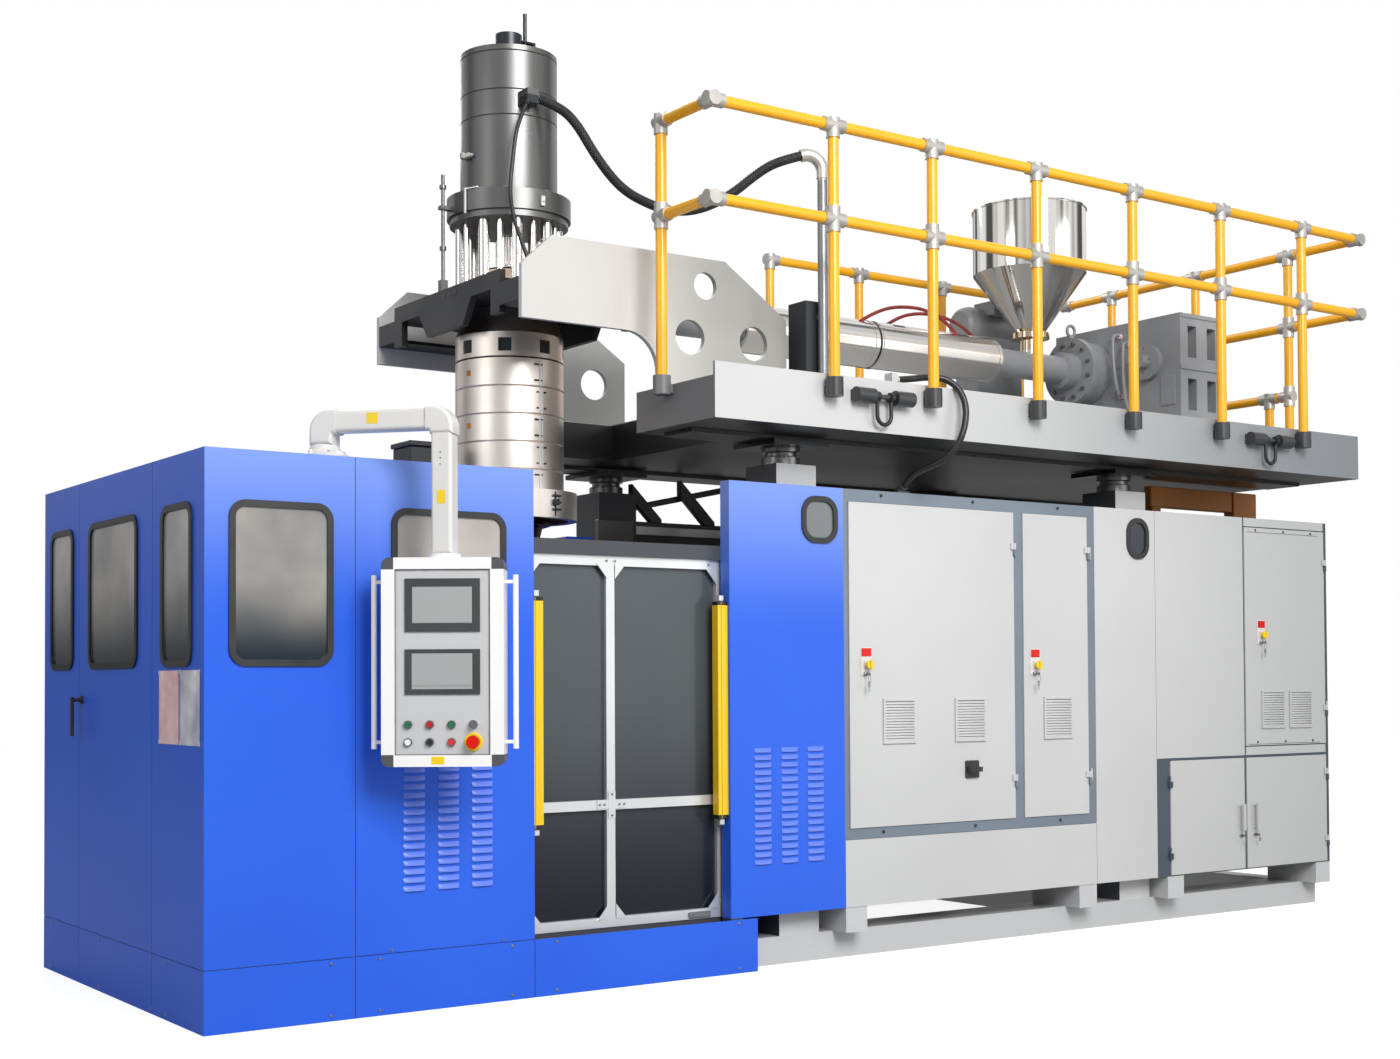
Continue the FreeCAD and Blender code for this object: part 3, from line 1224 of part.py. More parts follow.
def light_curtains():
    """Two light curtain bars at the sides of the mould opening."""
    y = (inner_front + 12, inner_front + 12 + s.curtain_depth)
    z = (s.curtain_bottom, s.curtain_top)
    left, right = -s.opening_left, s.opening_right
    return group("light_curtains", [box("curtain_left", (left, left + s.curtain_width), y, z),
                                    box("curtain_right", (right - s.curtain_width, right), y, z)])


# ------------------------------------------------------------------ platform

def platform_frame():
    """Deck, skirts and bottom plate, with a bay on the left for the head."""
    t = s.platform_plate
    left, right = s.platform_left, s.platform_right
    front, back = -s.platform_front, s.platform_back
    bay, bay_front, bay_back = s.bay_right, -s.bay_front, s.bay_back
    low, deck = s.platform_bottom, s.platform_top - t
    wall = (low + t, deck)
    inside = (front + t, back - t)
    outline = [(left, inside[0]), (right, inside[0]), (right, back), (left, back), (left, bay_back),
               (bay, bay_back), (bay, bay_front), (left, bay_front)]
    pieces = [
        padded("deck", "Z", (deck, s.platform_top), [(polygon, outline)]),
        padded("bottom_plate", "Z", (low, low + t), [(polygon, outline)]),
        box("skirt_front", (left, right), (front, inside[0]), (low, s.skirt_top)),
        box("skirt_right", (right - t, right), inside, wall),
        box("skirt_back", (left, right), (back - t, back), wall),
        box("skirt_left_front", (left, left + t), (inside[0], bay_front - t), wall),
        box("skirt_left_back", (left, left + t), (bay_back + t, back - t), wall),
        box("bay_wall_front", (left, bay + t), (bay_front - t, bay_front), wall),
        box("bay_wall_right", (bay, bay + t), (bay_front, bay_back), wall),
        box("bay_wall_back", (left, bay + t), (bay_back, bay_back + t), wall),
        box("bedplate", (s.gearbox_left - 60, s.gearbox_left + s.gearbox_width + 360),
            (-s.gearbox_front - 200, s.gearbox_back + 60), (s.platform_top, s.bedplate_top)),
    ]
    for name, y in (("front", -s.jack_front), ("back", s.jack_back)):
        pieces.append(box("jack_flange_" + name, (left + s.flange_inset, right - s.flange_inset),
                          (y - s.flange_width / 2, y + s.flange_width / 2), (s.flange_bottom, low)))
    for index, (x, y, side) in enumerate(clamp_places()):
        pieces.append(post_clamp("post_clamp_%d" % index, x, y, side))
    gland_x, gland_y, gland_z = PLATFORM_HOSE[0]
    stand = box("lead_stand", (gland_x - 50, gland_x - 20), (gland_y - 25, gland_y + 25),
                (s.platform_top, gland_z + 24))
    pieces.append(fuse("lead_gland", [stand, socket("lead_socket", PLATFORM_HOSE,
                                                    s.lead_radius + 5)]))
    for index, x in enumerate(LUGS):
        pieces.append(lifting_lug("lug_%d" % index, x))
    return group("platform_frame", pieces)


LUGS = (s.platform_left + 871, s.platform_right - 780)


def front_posts():
    """Die axis to each post of the front guard rail."""
    return [s.rail_first_post] + [s.rail_second_post + s.rail_pitch * index for index in range(5)]


def rear_posts():
    """Die axis to each post of the rear guard rail."""
    return [s.rail_rear_left + s.rail_pitch * index for index in range(4)]


RAIL_FRONT = -s.platform_front - s.rail_offset
RAIL_BACK = s.platform_back + s.rail_offset


def clamp_places():
    """Where the posts stand in clamps on the skirts, and the skirt's side."""
    places = [(x, RAIL_FRONT, "front") for x in front_posts()]
    places += [(x, RAIL_BACK, "back") for x in rear_posts()]
    places.append((s.rail_left, -s.rail_end_post, "left"))
    return places


def post_clamp(name, x, y, side):
    """A round socket on the skirt that a post stands in."""
    z = s.clamp_bottom
    height = s.clamp_top - s.clamp_bottom
    socket = rod(name + "_socket", "Z", (x, y, z), height, s.rail_offset)
    across = {"front": ((x - 26, x + 26), (y, -s.platform_front)),
              "back": ((x - 26, x + 26), (s.platform_back, y)),
              "left": ((x, s.platform_left), (y - 26, y + 26))}[side]
    back = box(name + "_back", across[0], across[1], (z + 8, s.platform_top))
    return fuse(name, [socket, back])


def lifting_lug(name, x):
    """Two lug bosses on the skirt with the pin of a shackle between them."""
    y = -s.platform_front
    z = 2440
    bosses = []
    for side, start in (("left", x - 160), ("right", x + 60)):
        bosses.append(rod("%s_%s" % (name, side), "X", (start, y - 34, z), 100, 33))
    pin = rod(name + "_pin", "X", (x - 61, y - 34, z), 122, 11)
    seats = [box("%s_seat_%d" % (name, index), (start, start + 100), (y - 34, y), (z - 24, z + 24))
             for index, start in enumerate((x - 160, x + 60))]
    return fuse(name, bosses + seats + [pin])


def shackle(name, x):
    """A bow shackle that hangs from the pin of a lug."""
    y = -s.platform_front - 34
    z = 2440
    r = 9
    pin = 11 + s.running_gap
    eyes = []
    for side, start in (("left", x - 48), ("right", x + 30)):
        eye = rod("%s_eye_%s" % (name, side), "X", (start, y, z), 18, 22)
        bore = rod("%s_bore_%s" % (name, side), "X", (start - 1, y, z), 20, pin)
        leg = rod("%s_leg_%s" % (name, side), "Z", (start + r, y, z - 80), 64, r)
        eyes.append(cut("%s_side_%s" % (name, side), fuse("%s_arm_%s" % (name, side), [eye, leg]),
                        [bore]))
    bow = doc.addObject("Part::Torus", name + "_bow")
    turn(bow, Vector(1, 0, 0), 90)
    bow.Radius1 = 39
    bow.Radius2 = r
    bow.Angle3 = 180
    bow.Placement = FreeCAD.Placement(Vector(), FreeCAD.Rotation(Vector(1, 0, 0), 90)) * \
        FreeCAD.Placement(Vector(), FreeCAD.Rotation(Vector(0, 0, 1), 180))
    place(bow, x, y, z - 80)
    return fuse(name, eyes + [bow])


# ---------------------------------------------------------------- guard rail

def rail_run(name, axis, start, end, z, fixed, stops):
    """Tubes of one rail between its fittings, which sit at the stops."""
    tubes = []
    socket = s.fitting_length
    points = [start] + stops + [end]
    for index in range(len(points) - 1):
        low, high = points[index] + socket, points[index + 1] - socket
        at = (low, fixed, z) if axis == "X" else (fixed, low, z)
        tubes.append(rod("%s_%d" % (name, index), axis, at, high - low, s.rail_radius))
    return tubes


def side_posts():
    """Machine centre to each post of the guard rail at the right end."""
    return [-s.rail_side_post + s.rail_pitch * index for index in range(3)]


def guard_rail_tubes():
    """Yellow tubes of the guard rail, cut to length between the fittings."""
    tubes = []
    socket = s.fitting_length
    top, middle = s.rail_top, s.rail_middle
    for level, z in (("top", top), ("middle", middle)):
        tubes += rail_run("front_" + level, "X", s.rail_left, s.rail_right, z, RAIL_FRONT,
                          front_posts())
        tubes += rail_run("left_" + level, "Y", RAIL_FRONT, -s.rail_end_post, z, s.rail_left, [])
    tubes += rail_run("right_top", "Y", RAIL_FRONT, RAIL_BACK, top, s.rail_right, side_posts())
    tubes += rail_run("right_middle", "Y", RAIL_FRONT, side_posts()[-1], middle, s.rail_right,
                      side_posts()[:-1])
    tubes += rail_run("back_top", "X", s.rail_rear_left, s.rail_right, top, RAIL_BACK,
                      rear_posts()[1:])
    low = s.clamp_top
    for index, x in enumerate(front_posts()):
        tubes.append(rod("front_post_%d" % index, "Z", (x, RAIL_FRONT, low),
                         middle - socket - low, s.rail_radius))
        tubes.append(rod("front_upper_%d" % index, "Z", (x, RAIL_FRONT, middle + socket),
                         top - middle - 2 * socket, s.rail_radius))
    for index, x in enumerate(rear_posts()):
        tubes.append(rod("back_post_%d" % index, "Z", (x, RAIL_BACK, low), top - socket - low,
                         s.rail_radius))
    deck = s.platform_top
    bottom = s.rail_low
    tubes += rail_run("right_low", "Y", side_posts()[0], side_posts()[1], bottom, s.rail_right,
                      [-s.rail_low_post])
    tubes.append(rod("low_post", "Z", (s.rail_right, -s.rail_low_post, deck),
                     bottom - socket - deck, s.rail_radius))
    for index, y in enumerate(side_posts()):
        x = s.rail_right
        start = deck
        if index < 2:
            tubes.append(rod("side_foot_%d" % index, "Z", (x, y, deck), bottom - socket - deck,
                             s.rail_radius))
            start = bottom + socket
        tubes.append(rod("side_post_%d" % index, "Z", (x, y, start), middle - socket - start,
                         s.rail_radius))
        tubes.append(rod("side_upper_%d" % index, "Z", (x, y, middle + socket),
                         top - middle - 2 * socket, s.rail_radius))
    tubes.append(rod("post_left", "Z", (s.rail_left, -s.rail_end_post, low), middle - socket - low,
                     s.rail_radius))
    tubes.append(rod("upper_left", "Z", (s.rail_left, -s.rail_end_post, middle + socket),
                     top - middle - 2 * socket, s.rail_radius))
    return group("guard_rail_tubes", tubes)


def fitting(name, x, y, z, arms):
    """A cast fitting: one socket for each tube that meets in it."""
    reach = s.fitting_length
    r = s.fitting_radius
    pieces = []
    for axis in "XYZ":
        low = -reach if "-" + axis in arms else (-r if "+" + axis in arms else None)
        high = reach if "+" + axis in arms else (r if "-" + axis in arms else None)
        if low is None:
            continue
        start = [x, y, z]
        start["XYZ".index(axis)] = start["XYZ".index(axis)] + low
        pieces.append(rod(name + "_" + axis.lower(), axis, start, high - low, r))
    return fuse(name, pieces)


def guard_rail_fittings():
    """Tees, crosses and elbows of the guard rail."""
    parts = []
    top, middle = s.rail_top, s.rail_middle
    for index, x in enumerate(front_posts()):
        parts.append(fitting("front_tee_%d" % index, x, RAIL_FRONT, top, ("-X", "+X", "-Z")))
        parts.append(fitting("front_cross_%d" % index, x, RAIL_FRONT, middle,
                             ("-X", "+X", "-Z", "+Z")))
    for index, x in enumerate(rear_posts()):
        arms = ("-X", "+X", "-Z") if index else ("+X", "-Z")
        parts.append(fitting("back_tee_%d" % index, x, RAIL_BACK, top, arms))
    last = len(side_posts()) - 1
    for index, y in enumerate(side_posts()):
        arms = ("-Y", "-Z", "+Z") if index == last else ("-Y", "+Y", "-Z", "+Z")
        parts.append(fitting("side_tee_%d" % index, s.rail_right, y, top, ("-Y", "+Y", "-Z")))
        parts.append(fitting("side_cross_%d" % index, s.rail_right, y, middle, arms))
    low = s.rail_low
    parts.append(fitting("low_tee", s.rail_right, -s.rail_low_post, low, ("-Y", "+Y", "-Z")))
    for index, arm in enumerate(("+Y", "-Y")):
        parts.append(fitting("low_cross_%d" % index, s.rail_right, side_posts()[index], low,
                             (arm, "-Z", "+Z")))
    for level, z in (("top", top), ("middle", middle)):
        parts.append(fitting("left_elbow_" + level, s.rail_left, RAIL_FRONT, z, ("+X", "+Y")))
        parts.append(fitting("right_elbow_" + level, s.rail_right, RAIL_FRONT, z, ("-X", "+Y")))
    parts.append(fitting("right_back_elbow", s.rail_right, RAIL_BACK, top, ("-X", "-Y")))
    parts.append(fitting("left_end_top", s.rail_left, -s.rail_end_post, top, ("-Y", "-Z")))
    parts.append(fitting("left_end_cross", s.rail_left, -s.rail_end_post, middle,
                         ("-Y", "-Z", "+Z")))
    return group("guard_rail_fittings", parts)


# ------------------------------------------------------------- head carrier

def carrier_plates():
    """Two side plates that carry the accumulator head."""
    plates = []
    for name, y in (("front", (-s.carrier_y, -s.carrier_y + s.carrier_plate)),
                    ("back", (s.carrier_y - s.carrier_plate, s.carrier_y))):
        left, right, leg = -s.carrier_left, s.carrier_right, s.carrier_leg
        plate = padded("carrier_plate_" + name, "Y", y, [
            (polygon, [(left, s.carrier_low), (leg, s.carrier_low), (leg, s.platform_top),
                       (right, s.platform_top), (right, s.carrier_shoulder),
                       (s.carrier_slope_right, s.carrier_top),
                       (-s.carrier_slope_left, s.carrier_top), (left, s.carrier_nose)]),
            (circle, (leg + 249, s.carrier_top - 120), s.carrier_small_bore),
            (circle, (leg + 167, s.carrier_low + 2), s.carrier_bore),
            (circle, (leg + 510, s.carrier_low + 8), s.carrier_bore)])
        corner = Vector(leg, (y[0] + y[1]) / 2, s.carrier_low)
        pad = plate.Tip
        edges = ["Edge%d" % (number + 1) for number, edge in enumerate(pad.Shape.Edges)
                 if edge.CenterOfMass.distanceToPoint(corner) < 1]
        round_corner = plate.newObject("PartDesign::Fillet", plate.Name + "_arc")
        round_corner.Base = (pad, edges)
        bind(round_corner, "Radius", s.carrier_arc)
        plate.Tip = round_corner
        plates.append(plate)
    doc.recompute()
    return group("carrier_plates", plates)


def notched_plate(name, x):
    """A cross plate whose lower edge has two notches, sloped on one side."""
    half, low, high = s.beam_half, s.beam_low, s.beam_top
    up = low + s.notch_height
    a, b, run = s.notch_centre - s.notch_top / 2, s.notch_centre + s.notch_top / 2, s.notch_slope
    return padded(name, "X", x, [(polygon, [
        (-half, low), (-b, low), (-b, up), (-a, up), (-a + run, low), (a - run, low), (a, up),
        (b, up), (b, low), (half, low), (half, high), (-half, high)])])


def carrier_beam():
    """Welded cross beam between the side plates, with the seat of the head."""
    t = s.beam_plate
    inside = s.carrier_y - s.carrier_plate
    left = (-s.carrier_left, -s.carrier_left + t)
    right = (s.carrier_left, s.carrier_left + t)
    slot = s.barrel_radius + 8
    neck = s.inlet_radius
    seat = padded("head_seat", "Z", (s.seat_low, s.seat_top), [
        (polygon, [(left[1], -s.beam_half), (right[0], -s.beam_half), (right[0], s.beam_half),
                   (left[1], s.beam_half)]),
        (circle, (0, 0), neck)])
    pocket(seat, "Z", (s.seat_low, s.seat_top), [
        (polygon, [(0, -slot), (right[0], -slot), (right[0], slot), (0, slot)])])
    notched = notched_plate("beam_plate_right", right)
    pocket(notched, "X", right, [
        (polygon, [(-slot, s.screw_z - slot), (slot, s.screw_z - slot), (slot, s.beam_top),
                   (-slot, s.beam_top)])])
    pieces = [notched_plate("beam_plate_left", left), notched, seat]
    shelf = (s.shelf_low, s.shelf_low + t / 2)
    for name, y, end in (("front", (-inside, -s.beam_half), (-inside, -s.beam_half)),
                         ("back", (s.beam_half, inside), (s.beam_half, inside))):
        pieces.append(box("shelf_" + name, (left[0], right[1]), y, shelf))
        pieces.append(box("end_web_" + name, (left[0], left[0] + t), y, (shelf[1], s.beam_top - 60)))
        pieces.append(box("inner_web_" + name, (right[0], right[0] + t), y,
                          (shelf[1], s.beam_top - 60)))
    return group("carrier_beam", pieces)


# ---------------------------------------------------------- accumulator head

def ring_of_rods(name, degrees, circle_radius, radius, low, high):
    """Round columns on a circle round the head's axis, clear of the barrel."""
    rods = []
    for index, degree in enumerate(degrees):
        angle = math.radians(degree)
        x = circle_radius * math.cos(angle)
        y = circle_radius * math.sin(angle)
        rods.append(rod("%s_%d" % (name, index), "Z", (x, y, low), high - low, radius))
    return rods


def head_columns():
    """Columns that hold the hydraulic cylinder above the head, and thin guide rods."""
    thick = ring_of_rods("column", (30, 70, 110, 150, 210, 250, 290, 330), s.column_circle,
                         s.column_radius, s.seat_top, s.flange_low)
    thin = ring_of_rods("thin_rod", (50, 90, 130, 180, 230, 270, 310), s.column_circle,
                        s.thin_column_radius, s.seat_top, s.flange_low)
    return group("head_columns", thick + thin)


def head_cylinder():
    """Hydraulic cylinder with its flange, seams, cap and sensor bracket."""
    r, groove = s.head_cylinder_radius, s.seam_groove
    bore = s.plunger_rod + s.running_gap
    flange = s.flange_radius
    body = turned("cylinder_body", [
        (bore, s.flange_low), (flange - s.flange_lip, s.flange_low),
        (flange - s.flange_lip, s.flange_low + 28), (flange, s.flange_low + 28),
        (flange, s.flange_high), (r, s.flange_high)] + [
        point for seam in (s.cylinder_top - s.seam_third, s.cylinder_top - s.seam_second,
                           s.cylinder_top - s.seam_first)
        for point in ((r, seam - groove), (r - groove, seam), (r, seam + groove))] + [
        (r, s.cylinder_top),
        (s.cap_radius + 50, s.cylinder_top), (s.cap_radius + 40, s.cylinder_top + 22),
        (s.cap_radius, s.cylinder_top + 30), (s.cap_radius - 35, s.cylinder_top + 34),
        (s.cap_radius - 35, s.cap_top), (0, s.cap_top), (0, s.cylinder_bore_top),
        (bore, s.cylinder_bore_top)])
    top = s.cylinder_top
    post = box("sensor_post", (105, 117), (-40, 40), (top - 1, top + 80))
    arm = box("sensor_arm", (50, 117), (-40, 40), (top + 80, top + 88))
    sensor = rod("sensor_rod", "Z", (70, -25, top + 30), s.sensor_top - top - 30, 9)
    return fuse("head_cylinder", [body, post, arm, sensor] + transducer() + junction_block())


def transducer():
    """Rod beside the flange that measures the plunger's place, on its bracket and foot."""
    x, y, r = -s.transducer_x, s.transducer_y, s.transducer_radius
    foot = s.beam_top + s.running_gap
    block = r * 2
    pieces = [rod("transducer_rod", "Z", (x, y, foot), s.transducer_top - foot, r)]
    pieces.append(box("transducer_foot", (x - block, x + block), (y - block, y + block),
                      (foot, foot + 3 * block)))
    middle = (s.flange_low + s.flange_high) / 2
    pieces.append(box("transducer_bracket", (x - block, x + 3 * block), (y - block, y + block),
                      (middle - r, middle + r)))
    for name, z in (("high", s.flange_high + 3 * r), ("low", s.flange_low - 8 * block)):
        pieces.append(rod("transducer_collar_" + name, "Z", (x, y, z), block, r + 7))
    return pieces


def junction_block():
    """Block on the cylinder's front, with the ferrules of the hose and of the cable."""
    block = box("junction_block", (-70, -12), (-292, -205), (3745, 3806))
    hose = socket("hose_socket", MAST_HOSE, s.hose_radius + 4)
    cable = socket("cable_socket", HEAD_CABLE, s.cable_radius + 4)
    return [block, hose, cable]


def heater_cover():
    """Head barrel: collar, ring with square windows and heater bands; and the die's ring."""
    r, groove = s.head_radius, s.band_groove
    bore, top = s.chamber_radius, s.seat_low
    neck, rod_bore = s.inlet_radius - s.running_gap, s.plunger_rod + s.running_gap
    profile = [(rod_bore, s.inlet_top), (neck - 10, s.inlet_top), (neck, s.inlet_top - 10),
               (neck, top), (s.collar_radius, top), (r, s.ring_high), (r, s.ring_low + groove * 2),
               (r - groove * 2, s.ring_low + groove * 2), (r - groove * 2, s.ring_low),
               (r, s.ring_low)]
    for index in range(1, 5):
        z = s.ring_low - s.band_pitch * index
        profile += [(r, z + groove), (r - groove, z), (r, z - groove)]
    profile += [(r, s.head_bottom), (s.mandrel_radius + 20, s.head_bottom),
                (s.mandrel_radius + 20, s.chamber_bottom), (bore, s.chamber_bottom),
                (bore, s.chamber_top), (rod_bore, s.chamber_top)]
    barrel = turned("head_barrel", profile)
    half = s.ring_window / 2
    z = s.ring_low + 28
    windows = []
    for index in range(8):
        window = box("ring_window_%d" % index, (r - 30, r + 30), (-half, half), (z, z + s.ring_window))
        window.Placement = FreeCAD.Placement(Vector(), FreeCAD.Rotation(Vector(0, 0, 1),
                                                                       45 * index + 11))
        angle = math.radians(45 * index + 11)
        place(window, (r - 30) * math.cos(angle) + half * math.sin(angle),
              (r - 30) * math.sin(angle) - half * math.cos(angle), z)
        windows.append(window)
    barrel = cut("head_barrel_cut", barrel, windows)
    ring = s.die_ring_radius
    cover = turned("die_ring_cover", [
        (ring - 40, s.die_ring_low), (ring, s.die_ring_low), (ring, s.die_ring_high),
        (s.head_radius, s.die_ring_high + 6), (s.head_radius, s.head_bottom),
        (s.die_shoulder, s.head_bottom), (s.die_shoulder, s.head_bottom - 18),
        (ring - 40, s.head_bottom - 30)])
    return group("heater_cover", [barrel, cover])


def die():
    """Die body below the head."""
    shoulder, bore = s.die_shoulder, s.mandrel_radius + 20
    low = s.die_ring_low
    return turned("die", [
        (bore, s.head_bottom), (shoulder, s.head_bottom), (shoulder, low - 20), (shoulder - 35, low - 30),
        (shoulder - 50, low - 90), (s.die_nose, low - 105), (s.die_nose, s.die_tip),
        (s.die_bore, s.die_tip), (bore, s.die_tip + 70)])


def mandrel():
    """Mandrel that opens and closes the die gap, with its long rod."""
    r = s.mandrel_radius
    tip = s.die_tip
    mouth = s.die_bore - 6
    return turned("mandrel", [(0, tip), (mouth, tip), (r, tip + 70), (r, s.mandrel_top),
                              (0, s.mandrel_top)])


def plunger():
    """Annular plunger and its hollow rod, which push the melt out."""
    inner = s.mandrel_radius + s.running_gap
    outer = s.chamber_radius - s.running_gap
    top = s.chamber_top - s.running_gap
    rod_r = s.plunger_rod
    return turned("plunger", [
        (inner, top - s.plunger_length), (outer, top - s.plunger_length), (outer, top),
        (rod_r, top), (rod_r, s.plunger_rod_top), (inner, s.plunger_rod_top)])


# -------------------------------------------------------------------- extruder

def extruder_barrel():
    """Barrel with the adapter at the head and the bolted flange at the gearbox."""
    start = s.inlet_radius
    r, bore = s.barrel_radius, s.barrel_bore
    end, t, flange = s.barrel_end, s.barrel_flange_thickness, s.barrel_flange
    shoulder = s.carrier_left + s.beam_plate
    return turned("extruder_barrel", [
        (0, start), (r, start), (r, shoulder), (r + 35, shoulder), (r + 35, shoulder + 50),
        (r, shoulder + 50), (r, end - 90), (r + 25, end - 80), (r + 25, end), (flange, end),
        (flange, end + t), (flange - 12, end + t), (flange - 12, s.gearbox_left),
        (bore, s.gearbox_left), (bore, start + 90), (0, start + 60)], 0, 0, s.screw_z, "X")


def barrel_cover():
    """Stainless cover over the heated part of the barrel, in two halves along its length."""
    r, t = s.barrel_cover_radius, s.cover_sheet
    seam = 3
    halves = []
    for name, start, end in (("left", s.barrel_cover_start, s.barrel_cover_seam - seam),
                             ("right", s.barrel_cover_seam + seam, s.barrel_cover_end)):
        halves.append(turned("cover_" + name, [
            (s.barrel_radius, start), (r - t * 2, start), (r, start + t), (r, end - t),
            (r - t * 2, end), (s.barrel_radius, end), (s.barrel_radius, end - t),
            (r - t, end - t), (r - t, start + t), (s.barrel_radius, start + t)],
            0, 0, s.screw_z, "X"))
    return group("barrel_cover", halves)


def screw():
    """Plasticising screw with a conical tip and a splined shank."""
    r = s.barrel_bore - s.screw_clearance
    start = s.inlet_radius + 92
    end = s.gearbox_left - s.running_gap
    return turned("screw", [
        (0, start), (s.screw_root, start + 60), (s.screw_root, start + 900), (r - 4, start + 1700),
        (r - 4, start + 1900), (r, start + 1900), (r, start + 1960), (s.screw_root, start + 1980),
        (s.screw_root, end - 500), (r, end - 480), (r, end), (0, end)], 0, 0, s.screw_z, "X")


def hopper():
    """Open hopper: cylinder, cone and throat with its flange."""
    r, t, neck = s.hopper_radius, s.cover_sheet, s.throat_radius
    low = s.screw_z + s.barrel_radius
    collar = s.hopper_neck - 30
    body = turned("hopper_shell", [
        (neck - 15, low - 12), (neck, low - 12), (neck, collar), (s.throat_flange, collar),
        (s.throat_flange, s.hopper_neck), (neck + 15, s.hopper_neck),
        (r, s.hopper_waist), (r, s.hopper_top - 8), (r + 6, s.hopper_top - 8),
        (r + 6, s.hopper_top), (r - t, s.hopper_top), (r - t, s.hopper_waist + t),
        (neck - 15, s.hopper_neck)], s.hopper_x, 0)
    barrel = rod("throat_cut", "X", (s.hopper_x - 200, 0, s.screw_z), 400, s.barrel_radius)
    return cut("hopper", body, [barrel])


def gearbox():
    """Cast gearbox in two halves, with pockets, feet and bearing caps."""
    left, right = s.gearbox_left, s.gearbox_left + s.gearbox_width
    front, back = -s.gearbox_front, s.gearbox_back
    low, high = s.bedplate_top, s.gearbox_top
    body = padded("gear_case", "Z", (low, high), [(polygon, [
        (left, front), (right, front), (right, back), (left, back)])])
    x0 = left + 60
    step = s.gearbox_width / 2
    for row, z in (("low", s.gearbox_seam - 60 - s.pocket_height), ("high", s.gearbox_seam + 55)):
        for column in range(2):
            x = x0 + step * column
            pocket(body, "Y", (front, front + s.pocket_depth), [(polygon, [
                (x, z), (x + s.pocket_width, z), (x + s.pocket_width, z + s.pocket_height),
                (x, z + s.pocket_height)])])
    seam = box("gear_seam", (left, right + 8), (front - 8, back + 8),
               (s.gearbox_seam - 12, s.gearbox_seam + 12))
    cap = rod("input_cap", "X", (left - 36, -s.boss_y, s.screw_z), 37, s.boss_radius)
    shaft = rod("input_shaft", "X", (left - 90, -s.boss_y, s.screw_z), 91, 38)
    return fuse("gearbox", [body, seam, cap, shaft])


def motor():
    """Drive motor behind the barrel, with feet, end bell and terminal box."""
    r, length = s.motor_radius, s.motor_length
    x = s.gearbox_left - length - 160
    y, z = s.motor_y, s.screw_z + 275
    shell = turned("motor_shell", [
        (0, x), (r - 30, x), (r - 12, x + 20), (r, x + 60), (r, x + length - 60),
        (r - 12, x + length - 20), (r - 30, x + length), (40, x + length), (40, x + length + 60),
        (0, x + length + 60)], 0, y, z, "X")
    foot = box("motor_foot", (x + 60, x + length - 60), (y - r + 20, y + r - 20),
               (s.platform_top, z - r / 2))
    terminal = box("motor_terminal", (x + 120, x + 280), (y - 160, y), (z + r - 60, z + r + 20))
    return fuse("motor", [shell, foot, terminal])


def hose_mast():
    """Upright pipe on the deck with a swan neck that takes the braided hose."""
    x, y, r = s.mast_x, -s.mast_y, s.mast_radius
    top, bend_radius, deck = s.mast_top, s.mast_bend, s.platform_top
    across, along = HOSE_HEADING
    pipe = rod("mast_pipe", "Z", (x, y, deck), top - deck, r)
    bend = doc.addObject("Part::Torus", "mast_bend")
    bind(bend, "Radius1", bend_radius)
    bind(bend, "Radius2", r + 5)
    bind(bend, "Angle3", s.mast_angle)
    heading = FreeCAD.Rotation(Vector(0, 0, 1), math.degrees(math.atan2(along, across)))
    upright = FreeCAD.Rotation(Vector(1, 0, 0), 90)
    bend.Placement = FreeCAD.Placement(Vector(), heading * upright)
    place(bend, x - bend_radius * across, y - bend_radius * along, top)
    ferrule = socket("mast_ferrule", MAST_HOSE[::-1], r + 5)
    collar = rod("mast_socket", "Z", (x, y, top - 36), 36, r + 5)
    channel = [box("mast_web", (x - 80, x - 6), (y + r, y + r + 5), (deck, deck + s.channel_height)),
               box("mast_side", (x - 80, x - 75), (y + r, y + 150), (deck, deck + s.channel_height))]
    tie_z = deck + s.channel_height - 80
    tie = box("mast_tie", (x - 20, x + 20), (y - 5, y + r + 1), (tie_z, tie_z + 20))
    return fuse("hose_mast", [pipe, bend, ferrule, collar, tie] + channel)


# --------------------------------------------------------------- hose and cables

# routes in the machine's frame; the mast's hose lies in one upright plane from the
# cylinder to the mast, as pairs of a distance along that plane and a height
HOSE_START = -245
HOSE_PLANE = math.hypot(VALUES["mast_x"], VALUES["mast_y"] + HOSE_START)
HOSE_HEADING = (VALUES["mast_x"] / HOSE_PLANE, -(VALUES["mast_y"] + HOSE_START) / HOSE_PLANE)


def hose_end(beyond):
    """Distance and height of a point beyond the swan neck's mouth, on its axis."""
    angle = math.radians(VALUES["mast_angle"])
    radius = VALUES["mast_bend"]
    away, down = -math.sin(angle), math.cos(angle)
    return (HOSE_PLANE - radius + radius * math.cos(angle) + beyond * away,
            VALUES["mast_top"] + radius * math.sin(angle) + beyond * down)


